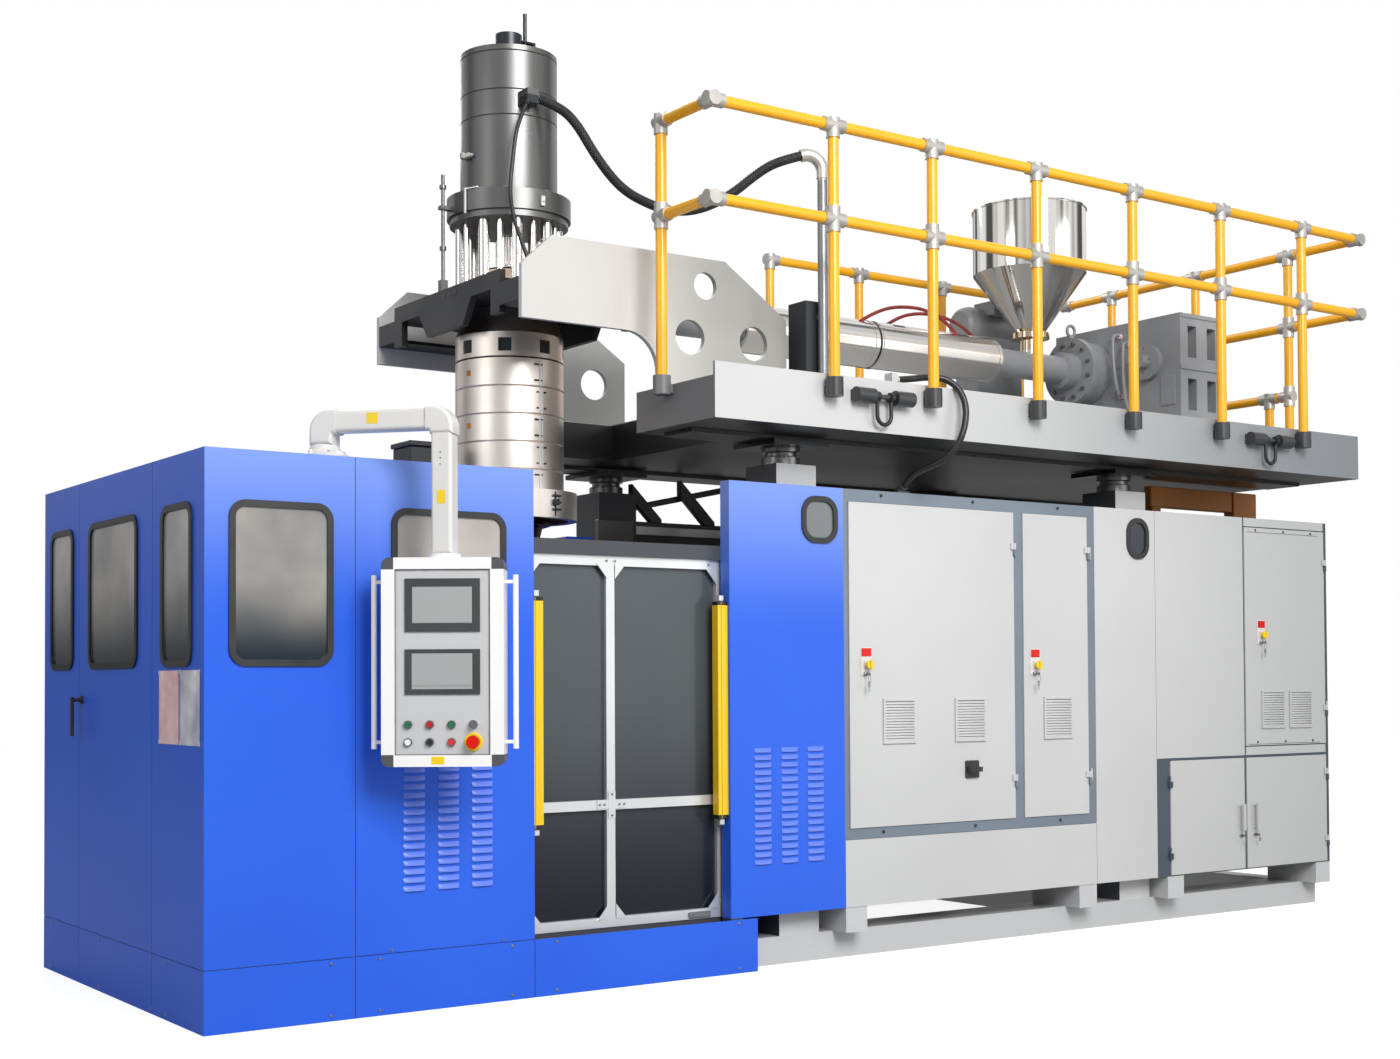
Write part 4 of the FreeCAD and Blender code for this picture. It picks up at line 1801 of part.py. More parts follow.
HOSE_PROFILE = [(12, 3781), (84, 3757), (168, 3696), (271, 3521), (378, 3393), (503, 3331),
                (601, 3304), (726, 3317), (862, 3385), (996, 3499), hose_end(112), hose_end(12)]
MAST_HOSE = [(run * HOSE_HEADING[0], HOSE_START + run * HOSE_HEADING[1], height)
             for run, height in HOSE_PROFILE]
HEAD_CABLE = [(-70, -281, 3735), (-122, -290, 3636), (-143, -292, 3493), (-159, -290, 3352),
              (-142, -280, 3253), (-104, -290, 3134), (-75, -302, 3055), (-66, -310, 2980),
              (-66, -310, VALUES["seat_top"] + VALUES["running_gap"])]
PLATFORM_HOSE = [(1330, -1100, 2546), (1410, -1100, 2556), (1495, -1110, 2571), (1560, -1150, 2568),
                 (1608, -1194, 2526), (1624, -1228, 2446), (1612, -1234, 2352), (1582, -1222, 2264),
                 (1542, -1176, 2200), (1502, -1098, 2168), (1484, -1025.9, 2144.8), (1484, -966, 2098)]


def route(points):
    """Straight runs joined by tangent arcs, each as large as its two runs allow."""
    corners = [Vector(*point) for point in points]
    edges = []
    radii = []
    start = corners[0]
    for before, corner, after in zip(corners, corners[1:], corners[2:]):
        back, ahead = (before - corner), (after - corner)
        reach = 0.45 * min(back.Length, ahead.Length)
        back.normalize()
        ahead.normalize()
        half_turn = (math.pi - back.getAngle(ahead)) / 2
        radius = reach / math.tan(half_turn)
        inward = (back + ahead).normalize()
        first, last = corner + back * reach, corner + ahead * reach
        middle = corner + inward * (math.hypot(radius, reach) - radius)
        edges.append(Part.LineSegment(start, first).toShape())
        edges.append(Part.Arc(first, middle, last).toShape())
        radii.append(radius)
        start = last
    edges.append(Part.LineSegment(start, corners[-1]).toShape())
    return Part.Wire(edges), radii


def cord(name, points, radius):
    """A hose or cable: a round section swept along its route."""
    wire, radii = route(points)
    path = doc.addObject("Part::Feature", name + "_route")
    path.Shape = wire
    section = doc.addObject("Part::Circle", name + "_section")
    bind(section, "Radius", radius)
    heading = Vector(*points[1]) - Vector(*points[0])
    section.Placement = FreeCAD.Placement(Vector(*points[0]),
                                          FreeCAD.Rotation(Vector(0, 0, 1), heading))
    sweep = doc.addObject("Part::Sweep", name)
    sweep.Sections = [section]
    sweep.Spine = (path, ["Edge%d" % (number + 1) for number in range(len(wire.Edges))])
    sweep.Solid = True
    doc.recompute()
    expected = math.pi * radius ** 2 * wire.Length
    print("%s: radii %s mm, volume %.5f of section times length" % (
        name, ", ".join("%.0f" % value for value in radii), sweep.Shape.Volume / expected))
    return sweep


def socket(name, points, radius):
    """The ferrule that a hose or cable leaves, in line with its first run."""
    end = Vector(*points[0])
    away = (end - Vector(*points[1])).normalize()
    ferrule = doc.addObject("Part::Cylinder", name)
    bind(ferrule, "Radius", radius)
    bind(ferrule, "Height", s.socket_length)
    ferrule.Placement = FreeCAD.Placement(end, FreeCAD.Rotation(Vector(0, 0, 1), away))
    return ferrule


def cords():
    """The braided hose, the head's cable and the hose from the platform to the first cabinet."""
    return [cord("mast_hose", MAST_HOSE, s.hose_radius),
            cord("head_cable", HEAD_CABLE, s.cable_radius),
            cord("platform_hose", PLATFORM_HOSE, s.lead_radius)]


# ------------------------------------------------------- swing arm and console

def arm_base():
    """Flared foot on the roof that the arm turns on."""
    low = s.clamp_height
    high = low + s.arm_foot_height
    foot, neck = s.arm_foot, s.arm_side / 2 + s.arm_elbow * 2
    return turned("arm_base", [(0, low), (foot, low), (foot, low + 10), (foot - 8, low + 14),
                               (neck + 10, high - 18), (neck, high), (0, high)], -s.arm_x, -s.arm_y)


def bent_tube(name, corners, half, width, bends):
    """A flat bent bar of square section: its outline padded, then the bends and edges rounded."""
    tube = padded(name, "Y", (-width, width), [(polygon, corners)])
    pad = tube.Tip
    for index, (corner, radius) in enumerate(bends):
        place_of = Vector(float(corner[0]), 0, float(corner[1]))
        edges = ["Edge%d" % (number + 1) for number, edge in enumerate(pad.Shape.Edges)
                 if edge.CenterOfMass.distanceToPoint(place_of) < 1]
        bend = tube.newObject("PartDesign::Fillet", "%s_bend_%d" % (name, index))
        bend.Base = (pad, edges)
        bind(bend, "Radius", radius)
        tube.Tip = bend
        doc.recompute()
        pad = bend
    sides = ["Edge%d" % (number + 1) for number, edge in enumerate(pad.Shape.Edges)
             if abs(abs(edge.CenterOfMass.y) - float(width)) < 0.01 and runs_along(edge, corners)]
    rounding = tube.newObject("PartDesign::Fillet", name + "_edges")
    rounding.Base = (pad, sides)
    bind(rounding, "Radius", s.arm_edge)
    tube.Tip = rounding
    doc.recompute()
    return tube


def runs_along(edge, corners):
    """Whether an edge lies between the two ends of a bent bar, not across one of them."""
    first, last = corners[0], corners[-1]
    ends = {(round(float(first[0]), 3), round(float(first[1]), 3)),
            (round(float(last[0]), 3), round(float(last[1]), 3))}
    found = {(round(v.X, 3), round(v.Z, 3)) for v in edge.Vertexes}
    return found != ends


def swing_arm():
    """Square arm of riser, level tube and drop, with an elbow at each corner."""
    low = s.clamp_height + s.arm_foot_height + s.running_gap
    high = s.clamp_height + s.arm_rise
    foot = s.console_top + s.console_neck + s.running_gap
    reach = Size(math.hypot(s.arm_reach_x, s.arm_reach_y),
                 "sqrt(sizes.arm_reach_x ^ 2 + sizes.arm_reach_y ^ 2)")
    half = s.arm_side / 2
    level = bent_tube("arm_tube", [
        (half + 10, high - half), (reach - half, high - half), (reach - half, foot),
        (reach + half, foot), (reach + half, high + half), (half + 10, high + half)],
        half, half, [((reach + half, high + half), s.arm_bend)])
    proud = half + s.arm_elbow
    pivot = elbow("arm_elbow_pivot", -proud, proud, s.arm_sleeve, low, high, proud)
    end = elbow("arm_elbow_end", reach + proud, reach - proud, reach - s.arm_sleeve,
                high - s.arm_sleeve, high, proud)
    arm = fuse("swing_arm", [level, pivot, end])
    heading = math.degrees(math.atan2(-s.arm_reach_y, s.arm_reach_x))
    arm.Placement = FreeCAD.Placement(Vector(), FreeCAD.Rotation(Vector(0, 0, 1), heading))
    place(arm, -s.arm_x, -s.arm_y, 0)
    return arm


def elbow(name, outside, inside, reach, foot, high, proud):
    """A cast elbow over a corner of the arm, rounded outside and inside."""
    top, under = high + proud, high - proud
    sign = 1 if float(reach) > float(inside) else -1
    corners = [(reach, under), (inside, under), (inside, foot), (outside, foot), (outside, top),
               (reach, top)]
    if sign < 0:
        corners.reverse()
    return bent_tube(name, corners, proud, proud, [((outside, top), s.arm_bend + s.arm_elbow),
                                                   ((inside, under), s.arm_elbow)])


def console_centre():
    """Where the arm's end hangs the console."""
    return -s.arm_x + s.arm_reach_x, -s.arm_y - s.arm_reach_y


TURN = math.radians(VALUES["console_turn"])


def on_console(item, across, out, up):
    """Place a piece in the console's own frame: across, out of its face, and up."""
    x, y = console_centre()
    rotation = FreeCAD.Rotation(Vector(0, 0, 1), -VALUES["console_turn"])
    item.Placement = FreeCAD.Placement(Vector(), rotation * item.Placement.Rotation)
    place(item, x + across * math.cos(TURN) - out * math.sin(TURN),
          y - across * math.sin(TURN) - out * math.cos(TURN), s.console_top + up)
    return item


def console_box(name, across, out, up):
    """A block of the console between two values along each of its directions."""
    block = doc.addObject("Part::Box", name)
    bind(block, "Length", across[1] - across[0])
    bind(block, "Width", out[1] - out[0])
    bind(block, "Height", up[1] - up[0])
    return on_console(block, across[0], out[1], up[0])


def console_rod(name, axis, across, out, up, length, radius):
    """A round piece of the console along its face's normal or upright."""
    bar = doc.addObject("Part::Cylinder", name)
    if axis == "out":
        turn(bar, Vector(1, 0, 0), 90)
    bind(bar, "Radius", radius)
    bind(bar, "Height", length)
    return on_console(bar, across, out, up)


def console_housing():
    """Housing with a raised rim, its neck, fixed push buttons and two grab handles."""
    half, height = s.console_width / 2, s.console_height
    face = s.console_depth / 2
    side, end, proud = s.console_side, s.console_end, s.console_proud
    outline = (rounded, (-half, half), (-height, 0), s.console_corner)
    opening = (polygon, [(-half + side, -height + end), (half - side, -height + end),
                         (half - side, -end), (-half + side, -end)])
    shell = on_console(padded("console_shell", "Y", (-face, face), [outline]), 0, 0, 0)
    rim = on_console(padded("console_rim", "Y", (-face - proud, -face), [outline, opening]), 0, 0, 0)
    neck = console_rod("console_neck", "up", 0, 0, 0, s.console_neck, s.console_collar)
    buttons = []
    for index, (across, up) in enumerate(button_places()):
        bezel = console_rod("bezel_%d" % index, "out", across, face, up, 8, s.button_radius)
        cap = console_rod("button_%d" % index, "out", across, face, up, 14, s.button_radius - 4)
        buttons += [bezel, cap]
    across, up = s.button_left + s.button_pitch * 3, -s.button_row_low
    bore = console_rod("stop_bore", "out", across, face - s.stop_travel - 2, up,
                       s.stop_travel + 3, s.button_radius + s.running_gap)
    housing = cut("console_case", fuse("console_body", [shell, rim, neck] + buttons), [bore])
    return group("console_housing", [housing] + console_handles(half))


def button_places():
    """Across and height of the flat push buttons on the console."""
    return [(s.button_left + s.button_pitch * column, up)
            for up in (-s.button_row_high, -s.button_row_low) for column in range(3)]


def console_screens():
    """Two framed screens, one above the other."""
    face = s.console_depth / 2
    screens = []
    for name, low, height in (("upper", -s.screen_high_drop, s.screen_high),
                              ("lower", -s.screen_low_drop, s.screen_low)):
        screens.append(console_box("screen_" + name, (-s.screen_width / 2, s.screen_width / 2),
                                   (face, face + s.console_proud), (low, low + height)))
    return group("console_screens", screens)


def console_handles(half):
    """A grab tube on each side of the console, on two arms."""
    handles = []
    low_end = -s.console_height + 62
    for name, sign in (("left", -1), ("right", 1)):
        across = (half + s.handle_reach) * sign
        edge = half * sign
        tube = console_rod("handle_tube_" + name, "up", across, 0, low_end, s.handle_length,
                           s.handle_radius)
        arms = []
        for level, up in (("low", low_end + 25), ("high", low_end + s.handle_length - 25)):
            span = (across, edge) if sign < 0 else (edge, across)
            arms.append(console_box("handle_arm_%s_%s" % (name, level), span, (-6, 6),
                                    (up - 6, up + 6)))
        handles.append(fuse("handle_" + name, [tube] + arms))
    return handles


def emergency_stop():
    """Mushroom button on its round plate."""
    face = s.console_depth / 2 + s.running_gap
    across, up = s.button_left + s.button_pitch * 3, -s.button_row_low
    stem = console_rod("stop_stem", "out", across, face, up, 22, s.button_radius)
    head = console_rod("stop_head", "out", across, face + 14, up, 18, s.mushroom_radius)
    return fuse("emergency_stop", [stem, head])


def key_selector():
    """Two position key selector."""
    face = s.console_depth / 2 + s.running_gap
    across, up = s.button_left + s.button_pitch * 3, -s.button_row_high
    rose = console_rod("selector_rose", "out", across, face, up, 12, s.button_radius)
    key = console_box("selector_key", (across - 3, across + 3), (face + 11, face + 32),
                      (up - 11, up + 11))
    return fuse("key_selector", [rose, key])


# ------------------------------------------------------------------- assembly

nodes = [
    base_frame(), jack_columns(), kick_plates(), corner_cover(), front_cover(), rear_cover(),
    right_cover(), window_seals(), window_panes(), cabinet_cases(), cabinet_panels(), clamp_bed(),
    light_curtains(), door_tracks(), arm_base(), end_door_handle(), main_switch(),
    platen("left"), platen("right"), blow_pin(), swing_arm(), console_housing(),
    console_screens(), emergency_stop(), key_selector(),
    jack_rams(), platform_frame(), guard_rail_tubes(), guard_rail_fittings(), carrier_plates(),
    carrier_beam(), head_columns(), head_cylinder(), heater_cover(), die(), mandrel(), plunger(),
    extruder_barrel(), barrel_cover(), screw(), hopper(), gearbox(), motor(), hose_mast(),
    shackle("shackle_left", LUGS[0]), shackle("shackle_right", LUGS[1]),
]
nodes += end_doors() + cabinet_doors() + sliding_door() + cords()

doc.recompute()
for item in doc.Objects:
    if "Invalid" in item.State or "Error" in item.State:
        raise RuntimeError("%s did not recompute: %s" % (item.Label, item.State))

LABELS = {"hopper_0": "hopper"}
os.makedirs("parts", exist_ok=True)
for node in nodes:
    node.Label = LABELS.get(node.Name, node.Name)
    shape = node.Shape
    if shape.isNull() or not shape.isValid():
        raise RuntimeError("%s has no valid shape" % node.Label)
    shape.exportStep("parts/%s.step" % node.Label)
    print("%-28s %3d solids %10.1f cm3" % (node.Label, len(shape.Solids), shape.Volume / 1000))
print("%d nodes" % len(nodes))
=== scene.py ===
# %% [markdown]
# # Blow moulding machine
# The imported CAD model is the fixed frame, with every solid in its place. This script adds the
# small fittings that the solids leave out, gives every solid and piece a procedural finish,
# and sets up a plain studio at the photograph's viewing angle. Lengths are in metres: x runs
# to the machine's right, y to its back and z up, and the die hangs above the origin.

# %% Load the frame
import math

import bmesh
import bpy
import numpy as np
from mathutils import Matrix, Vector


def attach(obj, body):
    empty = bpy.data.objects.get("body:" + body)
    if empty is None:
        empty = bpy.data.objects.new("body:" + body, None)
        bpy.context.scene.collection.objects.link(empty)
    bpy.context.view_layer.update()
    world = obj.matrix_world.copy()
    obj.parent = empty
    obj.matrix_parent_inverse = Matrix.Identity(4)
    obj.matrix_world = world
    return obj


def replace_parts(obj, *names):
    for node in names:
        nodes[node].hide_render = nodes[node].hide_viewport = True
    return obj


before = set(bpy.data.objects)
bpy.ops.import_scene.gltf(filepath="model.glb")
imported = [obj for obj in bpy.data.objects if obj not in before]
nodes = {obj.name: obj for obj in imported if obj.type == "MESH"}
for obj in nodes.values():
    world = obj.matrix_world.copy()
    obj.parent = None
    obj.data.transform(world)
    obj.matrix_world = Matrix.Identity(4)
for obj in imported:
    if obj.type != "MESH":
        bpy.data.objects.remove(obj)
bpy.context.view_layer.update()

# %% [markdown]
# ## Camera
# The picture was taken from the machine's front left, at about the console's height. A camera
# can be placed by eye and nudged until the edges agree. Here it was solved from the machine's
# own straight edges, because a solved camera lets every later piece be measured in the
# photograph. Its axes are a right, an up and a forward direction.

# %% Place the camera
YAW, PITCH, ROLL = 0.6130919, 0.0241148, -0.0052141
EYE = Vector((-4.0313, -7.2027, 1.2156))
FOCAL, CENTRE_ROW = 1839.95, 638.45
WIDTH, HEIGHT = 1400, 1059
SENSOR = 36

forward = Vector((math.sin(YAW) * math.cos(PITCH), math.cos(YAW) * math.cos(PITCH), math.sin(PITCH)))
level = Vector((math.cos(YAW), -math.sin(YAW), 0))
upright = level.cross(forward)
right = level * math.cos(ROLL) + upright * math.sin(ROLL)
up = upright * math.cos(ROLL) - level * math.sin(ROLL)

camera_data = bpy.data.cameras.new("camera")
camera = bpy.data.objects.new("camera", camera_data)
bpy.context.scene.collection.objects.link(camera)
axes = Matrix((right, up, -forward)).transposed().to_4x4()
camera.matrix_world = Matrix.Translation(EYE) @ axes
camera_data.sensor_fit = "HORIZONTAL"
camera_data.sensor_width = SENSOR
camera_data.lens = SENSOR * FOCAL / WIDTH
camera_data.shift_y = (CENTRE_ROW - HEIGHT / 2) / WIDTH
camera_data.clip_end = 100
bpy.context.scene.camera = camera
print("camera lens %.2f mm" % camera_data.lens)

# %% [markdown]
# ## Node helpers
# A shader is a tree of nodes. Clicking them together by hand is fine for one material, but
# this machine needs about forty, so a few helpers add and link a node in one line.

# %% Write the node helpers


def node(tree, kind, feeds=None, **settings):
    """Add a node. A setting is a property or an input's value; feeds = {input: socket or value}."""
    made = tree.nodes.new(kind)
    for key, value in settings.items():
        if hasattr(made, key):
            setattr(made, key, value)
        else:
            made.inputs[key.replace("_", " ")].default_value = value
    for key, value in (feeds or {}).items():
        if isinstance(value, bpy.types.NodeSocket):
            tree.links.new(value, made.inputs[key])
        else:
            made.inputs[key].default_value = value
    return made


def group_with(name, inputs, outputs):
    """Make an empty node group with its named sockets."""
    group = bpy.data.node_groups.new(name, "ShaderNodeTree")
    for label, kind, default in inputs:
        socket = group.interface.new_socket(label, in_out="INPUT", socket_type=kind)
        socket.default_value = default
    for label, kind in outputs:
        group.interface.new_socket(label, in_out="OUTPUT", socket_type=kind)
    return group, group.nodes.new("NodeGroupInput").outputs, group.nodes.new("NodeGroupOutput").inputs


def blend(tree, factor, first, second):
    """Mix two colours by a factor."""
    return node(tree, "ShaderNodeMix", {"Factor": factor, 6: first, 7: second}, data_type="RGBA").outputs[2]


def calculate(tree, operation, *terms):
    """One Math node over sockets or numbers."""
    return node(tree, "ShaderNodeMath", dict(enumerate(terms)), operation=operation).outputs[0]


print("node helpers ready")

# %% [markdown]
# ## A skin that is never quite even
# Real paint and metal drift a little in tone and gloss over a panel, and have a fine grain
# that softens reflections. A painted image could carry that, but it would blur and show its
# seams on a machine six metres long. Noise has no seams, so one group makes it for all.

# %% Build the skin group


def build_skin():
    """Colour = mix(Tone, Shade, n(p * Scale)), roughness = Rough + Spread * (n - 0.5),
    normal = bump of fine noise at Grain Scale with strength Grain, stretched by Stretch."""
    group, source, sink = group_with("skin", [
        ("Tone", "NodeSocketColor", (0.5, 0.5, 0.5, 1)), ("Shade", "NodeSocketColor", (0.4, 0.4, 0.4, 1)),
        ("Rough", "NodeSocketFloat", 0.4), ("Spread", "NodeSocketFloat", 0.1),
        ("Scale", "NodeSocketFloat", 1.5), ("Grain", "NodeSocketFloat", 0.05),
        ("Grain Scale", "NodeSocketFloat", 300.0), ("Stretch", "NodeSocketVector", (1, 1, 1))],
        [("Colour", "NodeSocketColor"), ("Roughness", "NodeSocketFloat"), ("Normal", "NodeSocketVector")])
    place = node(group, "ShaderNodeTexCoord").outputs["Object"]
    drift = node(group, "ShaderNodeTexNoise", {"Vector": place, "Scale": source["Scale"]},
                 Detail=3.0, Roughness=0.55)
    ease = node(group, "ShaderNodeMapRange", {"Value": drift.outputs["Fac"], "From Min": 0.3,
                                              "From Max": 0.7}).outputs["Result"]
    centred = calculate(group, "SUBTRACT", ease, 0.5)
    gloss = calculate(group, "MULTIPLY_ADD", centred, source["Spread"], source["Rough"])
    scaled = node(group, "ShaderNodeVectorMath", {0: place, 1: source["Stretch"]}, operation="MULTIPLY")
    fine = node(group, "ShaderNodeTexNoise", {"Vector": scaled.outputs[0], "Scale": source["Grain Scale"]},
                Detail=2.0)
    bump = node(group, "ShaderNodeBump", {"Height": fine.outputs["Fac"], "Strength": source["Grain"]},
                Distance=0.0005)
    link = group.links.new
    link(blend(group, ease, source["Tone"], source["Shade"]), sink["Colour"])
    link(gloss, sink["Roughness"])
    link(bump.outputs["Normal"], sink["Normal"])
    return group


SKIN = build_skin()
print("group:", SKIN.name)

# %% [markdown]
# ## Two colours on one solid
# Some solids carry two colours, such as a button's cap in its ring. Cutting them apart would
# change the CAD model. A mask that is 1 inside a box of the machine's frame needs no cut.

# %% Build the box mask group


def build_inside_box():
    """1 where Low < q < High on every axis, q being p turned by Turn about the upright through
    Centre: the least of q - Low and High - q, above 0."""
    group, source, sink = group_with("inside_box", [
        ("Low", "NodeSocketVector", (0, 0, 0)), ("High", "NodeSocketVector", (1, 1, 1)),
        ("Centre", "NodeSocketVector", (0, 0, 0)), ("Turn", "NodeSocketFloat", 0.0)],
        [("Inside", "NodeSocketFloat")])

    def vectors(operation, first, second):
        """One Vector Math node over two vectors."""
        return node(group, "ShaderNodeVectorMath", {0: first, 1: second}, operation=operation).outputs[0]

    place = node(group, "ShaderNodeTexCoord").outputs["Object"]
    turned = node(group, "ShaderNodeVectorRotate", {"Vector": place, "Center": source["Centre"],
                                                    "Angle": source["Turn"]},
                  rotation_type="Z_AXIS").outputs[0]
    over = vectors("SUBTRACT", turned, source["Low"])
    under = vectors("SUBTRACT", source["High"], turned)
    x, y, z = node(group, "ShaderNodeSeparateXYZ", {0: vectors("MINIMUM", over, under)}).outputs
    least = calculate(group, "MINIMUM", calculate(group, "MINIMUM", x, y), z)
    group.links.new(calculate(group, "GREATER_THAN", least, 0), sink["Inside"])
    return group


INSIDE = build_inside_box()
ANY = (-9, 9)


def around(x, y, z):
    """A zone's corners from its three spans."""
    return ((x[0], y[0], z[0]), (x[1], y[1], z[1]))


print("group:", INSIDE.name)

# %% [markdown]
# ## One recipe for every finish
# Every finish here is the Principled shader fed by `skin`. Two extras can lie over it: a fade
# along one axis, for the way a long panel catches less light at one end, and zones of another
# colour. Constants such as metallic and coat sit on the shader itself.

# %% Write the finish recipe


def rgba(colour):
    """A colour with full opacity."""
    return (*colour, 1)


def faded(tree, colour, other, axis, start, stop):
    """Blend to another colour from p0 to p1 along an axis, smoothly."""
    place = node(tree, "ShaderNodeTexCoord").outputs["Object"]
    split = node(tree, "ShaderNodeSeparateXYZ", {0: place})
    span = node(tree, "ShaderNodeMapRange", {"From Min": start, "From Max": stop,
                                             "Value": split.outputs[axis]},
                interpolation_type="SMOOTHSTEP")
    return blend(tree, span.outputs["Result"], colour, rgba(other))


def zoned(tree, colour, other, boxes, turned):
    """Blend to another colour inside any of the boxes."""
    total = None
    for low, high in boxes:
        mask = node(tree, "ShaderNodeGroup", node_tree=INSIDE)
        for key, value in (("Low", low), ("High", high), ("Centre", turned[:3]), ("Turn", turned[3])):
            mask.inputs[key].default_value = value
        inside = mask.outputs[0]
        total = calculate(tree, "MAXIMUM", total, inside) if total else inside
    return blend(tree, total, colour, rgba(other))


def finish(name, tone, shade, rough=0.4, spread=0.1, scale=1.5, grain=0.05, grain_scale=300.0,
           stretch=(1, 1, 1), zones=(), turned=(0, 0, 0, 0), fade=None, **constants):
    """A Principled material whose colour, roughness and normal come from `skin`. fade =
    (colour, axis, p0, p1) blends towards a colour from p0 to p1. Each zone (colour, [boxes])
    is painted over that; turned = (x, y, z, angle) sets the boxes' own frame."""
    material = bpy.data.materials.new(name)
    material.use_nodes = True
    tree = material.node_tree
    shader = tree.nodes["Principled BSDF"]
    skin = node(tree, "ShaderNodeGroup", node_tree=SKIN)
    values = {"Tone": rgba(tone), "Shade": rgba(shade), "Rough": rough, "Spread": spread,
              "Scale": scale, "Grain": grain, "Grain Scale": grain_scale, "Stretch": stretch}
    for key, value in values.items():
        skin.inputs[key].default_value = value
    colour = skin.outputs["Colour"]
    if fade:
        colour = faded(tree, colour, *fade)
    for other, boxes in zones:
        colour = zoned(tree, colour, other, boxes, turned)
    tree.links.new(colour, shader.inputs["Base Color"])
    tree.links.new(skin.outputs["Roughness"], shader.inputs["Roughness"])
    tree.links.new(skin.outputs["Normal"], shader.inputs["Normal"])
    for key, value in constants.items():
        shader.inputs[key.replace("_", " ")].default_value = value
    return material


print("finish recipe ready")

# %% [markdown]
# ## Blue covers
# The sheet covers are sprayed a strong blue with a weak gloss. Towards the top they mirror
# light from above and turn pale. Only a much larger studio would reflect that, so the paint
# itself fades upwards as a painted reflection, but not on the left side, which faces away from
# the light. The end doors have a black seal, and the pressed louvres are painted a lighter
# blue, a painted highlight for the light that they catch more than the flat sheet.

# %% Mix the blue paints
BLACK = (0.012, 0.012, 0.013)
LEFT, FRONT = -1.760, -0.975
left_side = around((LEFT - 0.02, LEFT + 0.001), ANY, ANY)
seal_zone = around((LEFT - 0.02, LEFT - 0.0004), (-1, 1), (1.2, 1.95))
SOFT_COAT = {"Coat_Weight": 0.06, "Coat_Roughness": 0.12, "Specular_IOR_Level": 0.25}

blue = finish("blue_paint", (0.022, 0.112, 0.70), (0.026, 0.130, 0.76), 0.36, 0.06, 0.9, 0.03, 220,
              zones=[((0.022, 0.110, 0.66), [left_side])],
              fade=((0.20, 0.32, 0.76), "Z", 1.40, 2.20), **SOFT_COAT)
blue_door = finish("blue_door_paint", (0.020, 0.100, 0.62), (0.026, 0.125, 0.70), 0.36, 0.06, 0.9,
                   0.03, 220, zones=[(BLACK, [seal_zone])], **SOFT_COAT)
# The louvres' lighter blue is a painted highlight.
louvre_highlight_blue = finish("louvre_highlight_paint", (0.115, 0.205, 0.80), (0.10, 0.19, 0.76), 0.34, 0.06, 0.9,
                     0.03, 220, Coat_Weight=0.1, Coat_Roughness=0.12)
print("blues:", blue.name, blue_door.name, louvre_highlight_blue.name)

# %% [markdown]
# ## Cabinet greys
# The cabinets are light grey powder coat, and their far end gets less light. A shaded lamp
# could do that, but it would change the covers too, so the grey itself fades along x, as
# painted shade. The locks' knobs and the plates behind the vents are parts of the doors'
# solids, so zones give them their yellow and their darker grey.

# %% Mix the cabinet paints
VENTS_A = [(1.338, 0.940), (1.771, 0.940), (2.344, 0.940)]
VENTS_B = [(3.956, 0.960), (4.186, 0.960)]
LOCKS = [(1.246, 1.291), (2.292, 1.291), (3.963, 1.452)]
KNOB = 0.0135
knob_zones = [around((x - KNOB, x + KNOB), (-1.01, -0.9845), (z - KNOB, z + KNOB)) for x, z in LOCKS]
vent_zones = [around((x + 0.012, x + 0.180), (-0.99, -0.9825), (z + 0.012, z + 0.188))
              for x, z in VENTS_A + VENTS_B]
# Painted shade: the grey fades darker along x.
COATED_AND_SHADED = {"fade": ((0.48, 0.485, 0.485), "X", 2.6, 4.6), "Coat_Weight": 0.1, "Coat_Roughness": 0.25}

light_grey = finish("light_grey_paint", (0.60, 0.605, 0.60), (0.54, 0.545, 0.54), 0.42, 0.08, 0.8,
                    0.04, 260, **COATED_AND_SHADED)
door_grey = finish("door_paint", (0.60, 0.605, 0.60), (0.54, 0.545, 0.54), 0.42, 0.08, 0.8, 0.04, 260,
                   zones=[((0.85, 0.62, 0.01), knob_zones), ((0.22, 0.22, 0.215), vent_zones)], **COATED_AND_SHADED)
# Painted shade: the cases are near black inside. A dark gland on the roof shares that colour.
case_grey = finish("case_paint", (0.185, 0.225, 0.275), (0.155, 0.19, 0.235), 0.42, 0.1, 1.2, 0.04, 260,
                   zones=[((0.060, 0.078, 0.105), [around((3.13, 4.6), ANY, ANY)]),
                          ((0.05, 0.055, 0.06), [around(ANY, (-0.95, 0.4), (0, 2.0)),
                                                 around((1.4, 1.6), (-1.02, -0.9), (2.0665, 2.2))])])
print("cabinet greys with", len(knob_zones), "knobs and", len(vent_zones), "vents")

# %% [markdown]
# ## Frame, platform and carrier paints
# The platform is one big weldment in pale grey, and its paint carries painted shade: it
# darkens towards the right, is near black underneath, and is mid grey at its left end, which
# lies in shade. The lugs that stand off its skirts are near black. The inner frame is nearly
# black, but its beams on the floor are pale. Separate objects for each tone would cut up
# solids that belong together, so the zones follow the solids' own planes.

# %% Mix the frame paints
inner_dark = finish("inner_frame_paint", (0.060, 0.066, 0.075), (0.045, 0.050, 0.058), 0.45, 0.1, 1.2,
                    0.04, 260, zones=[((0.55, 0.555, 0.56), [around((0.66, 4.6), ANY, (-0.1, 0.2295))])])
lug_zones = [around((0.6, 4.6), (-1.4, -1.1756), ANY), around((0.6, 4.6), (0.8656, 1.0), ANY)]
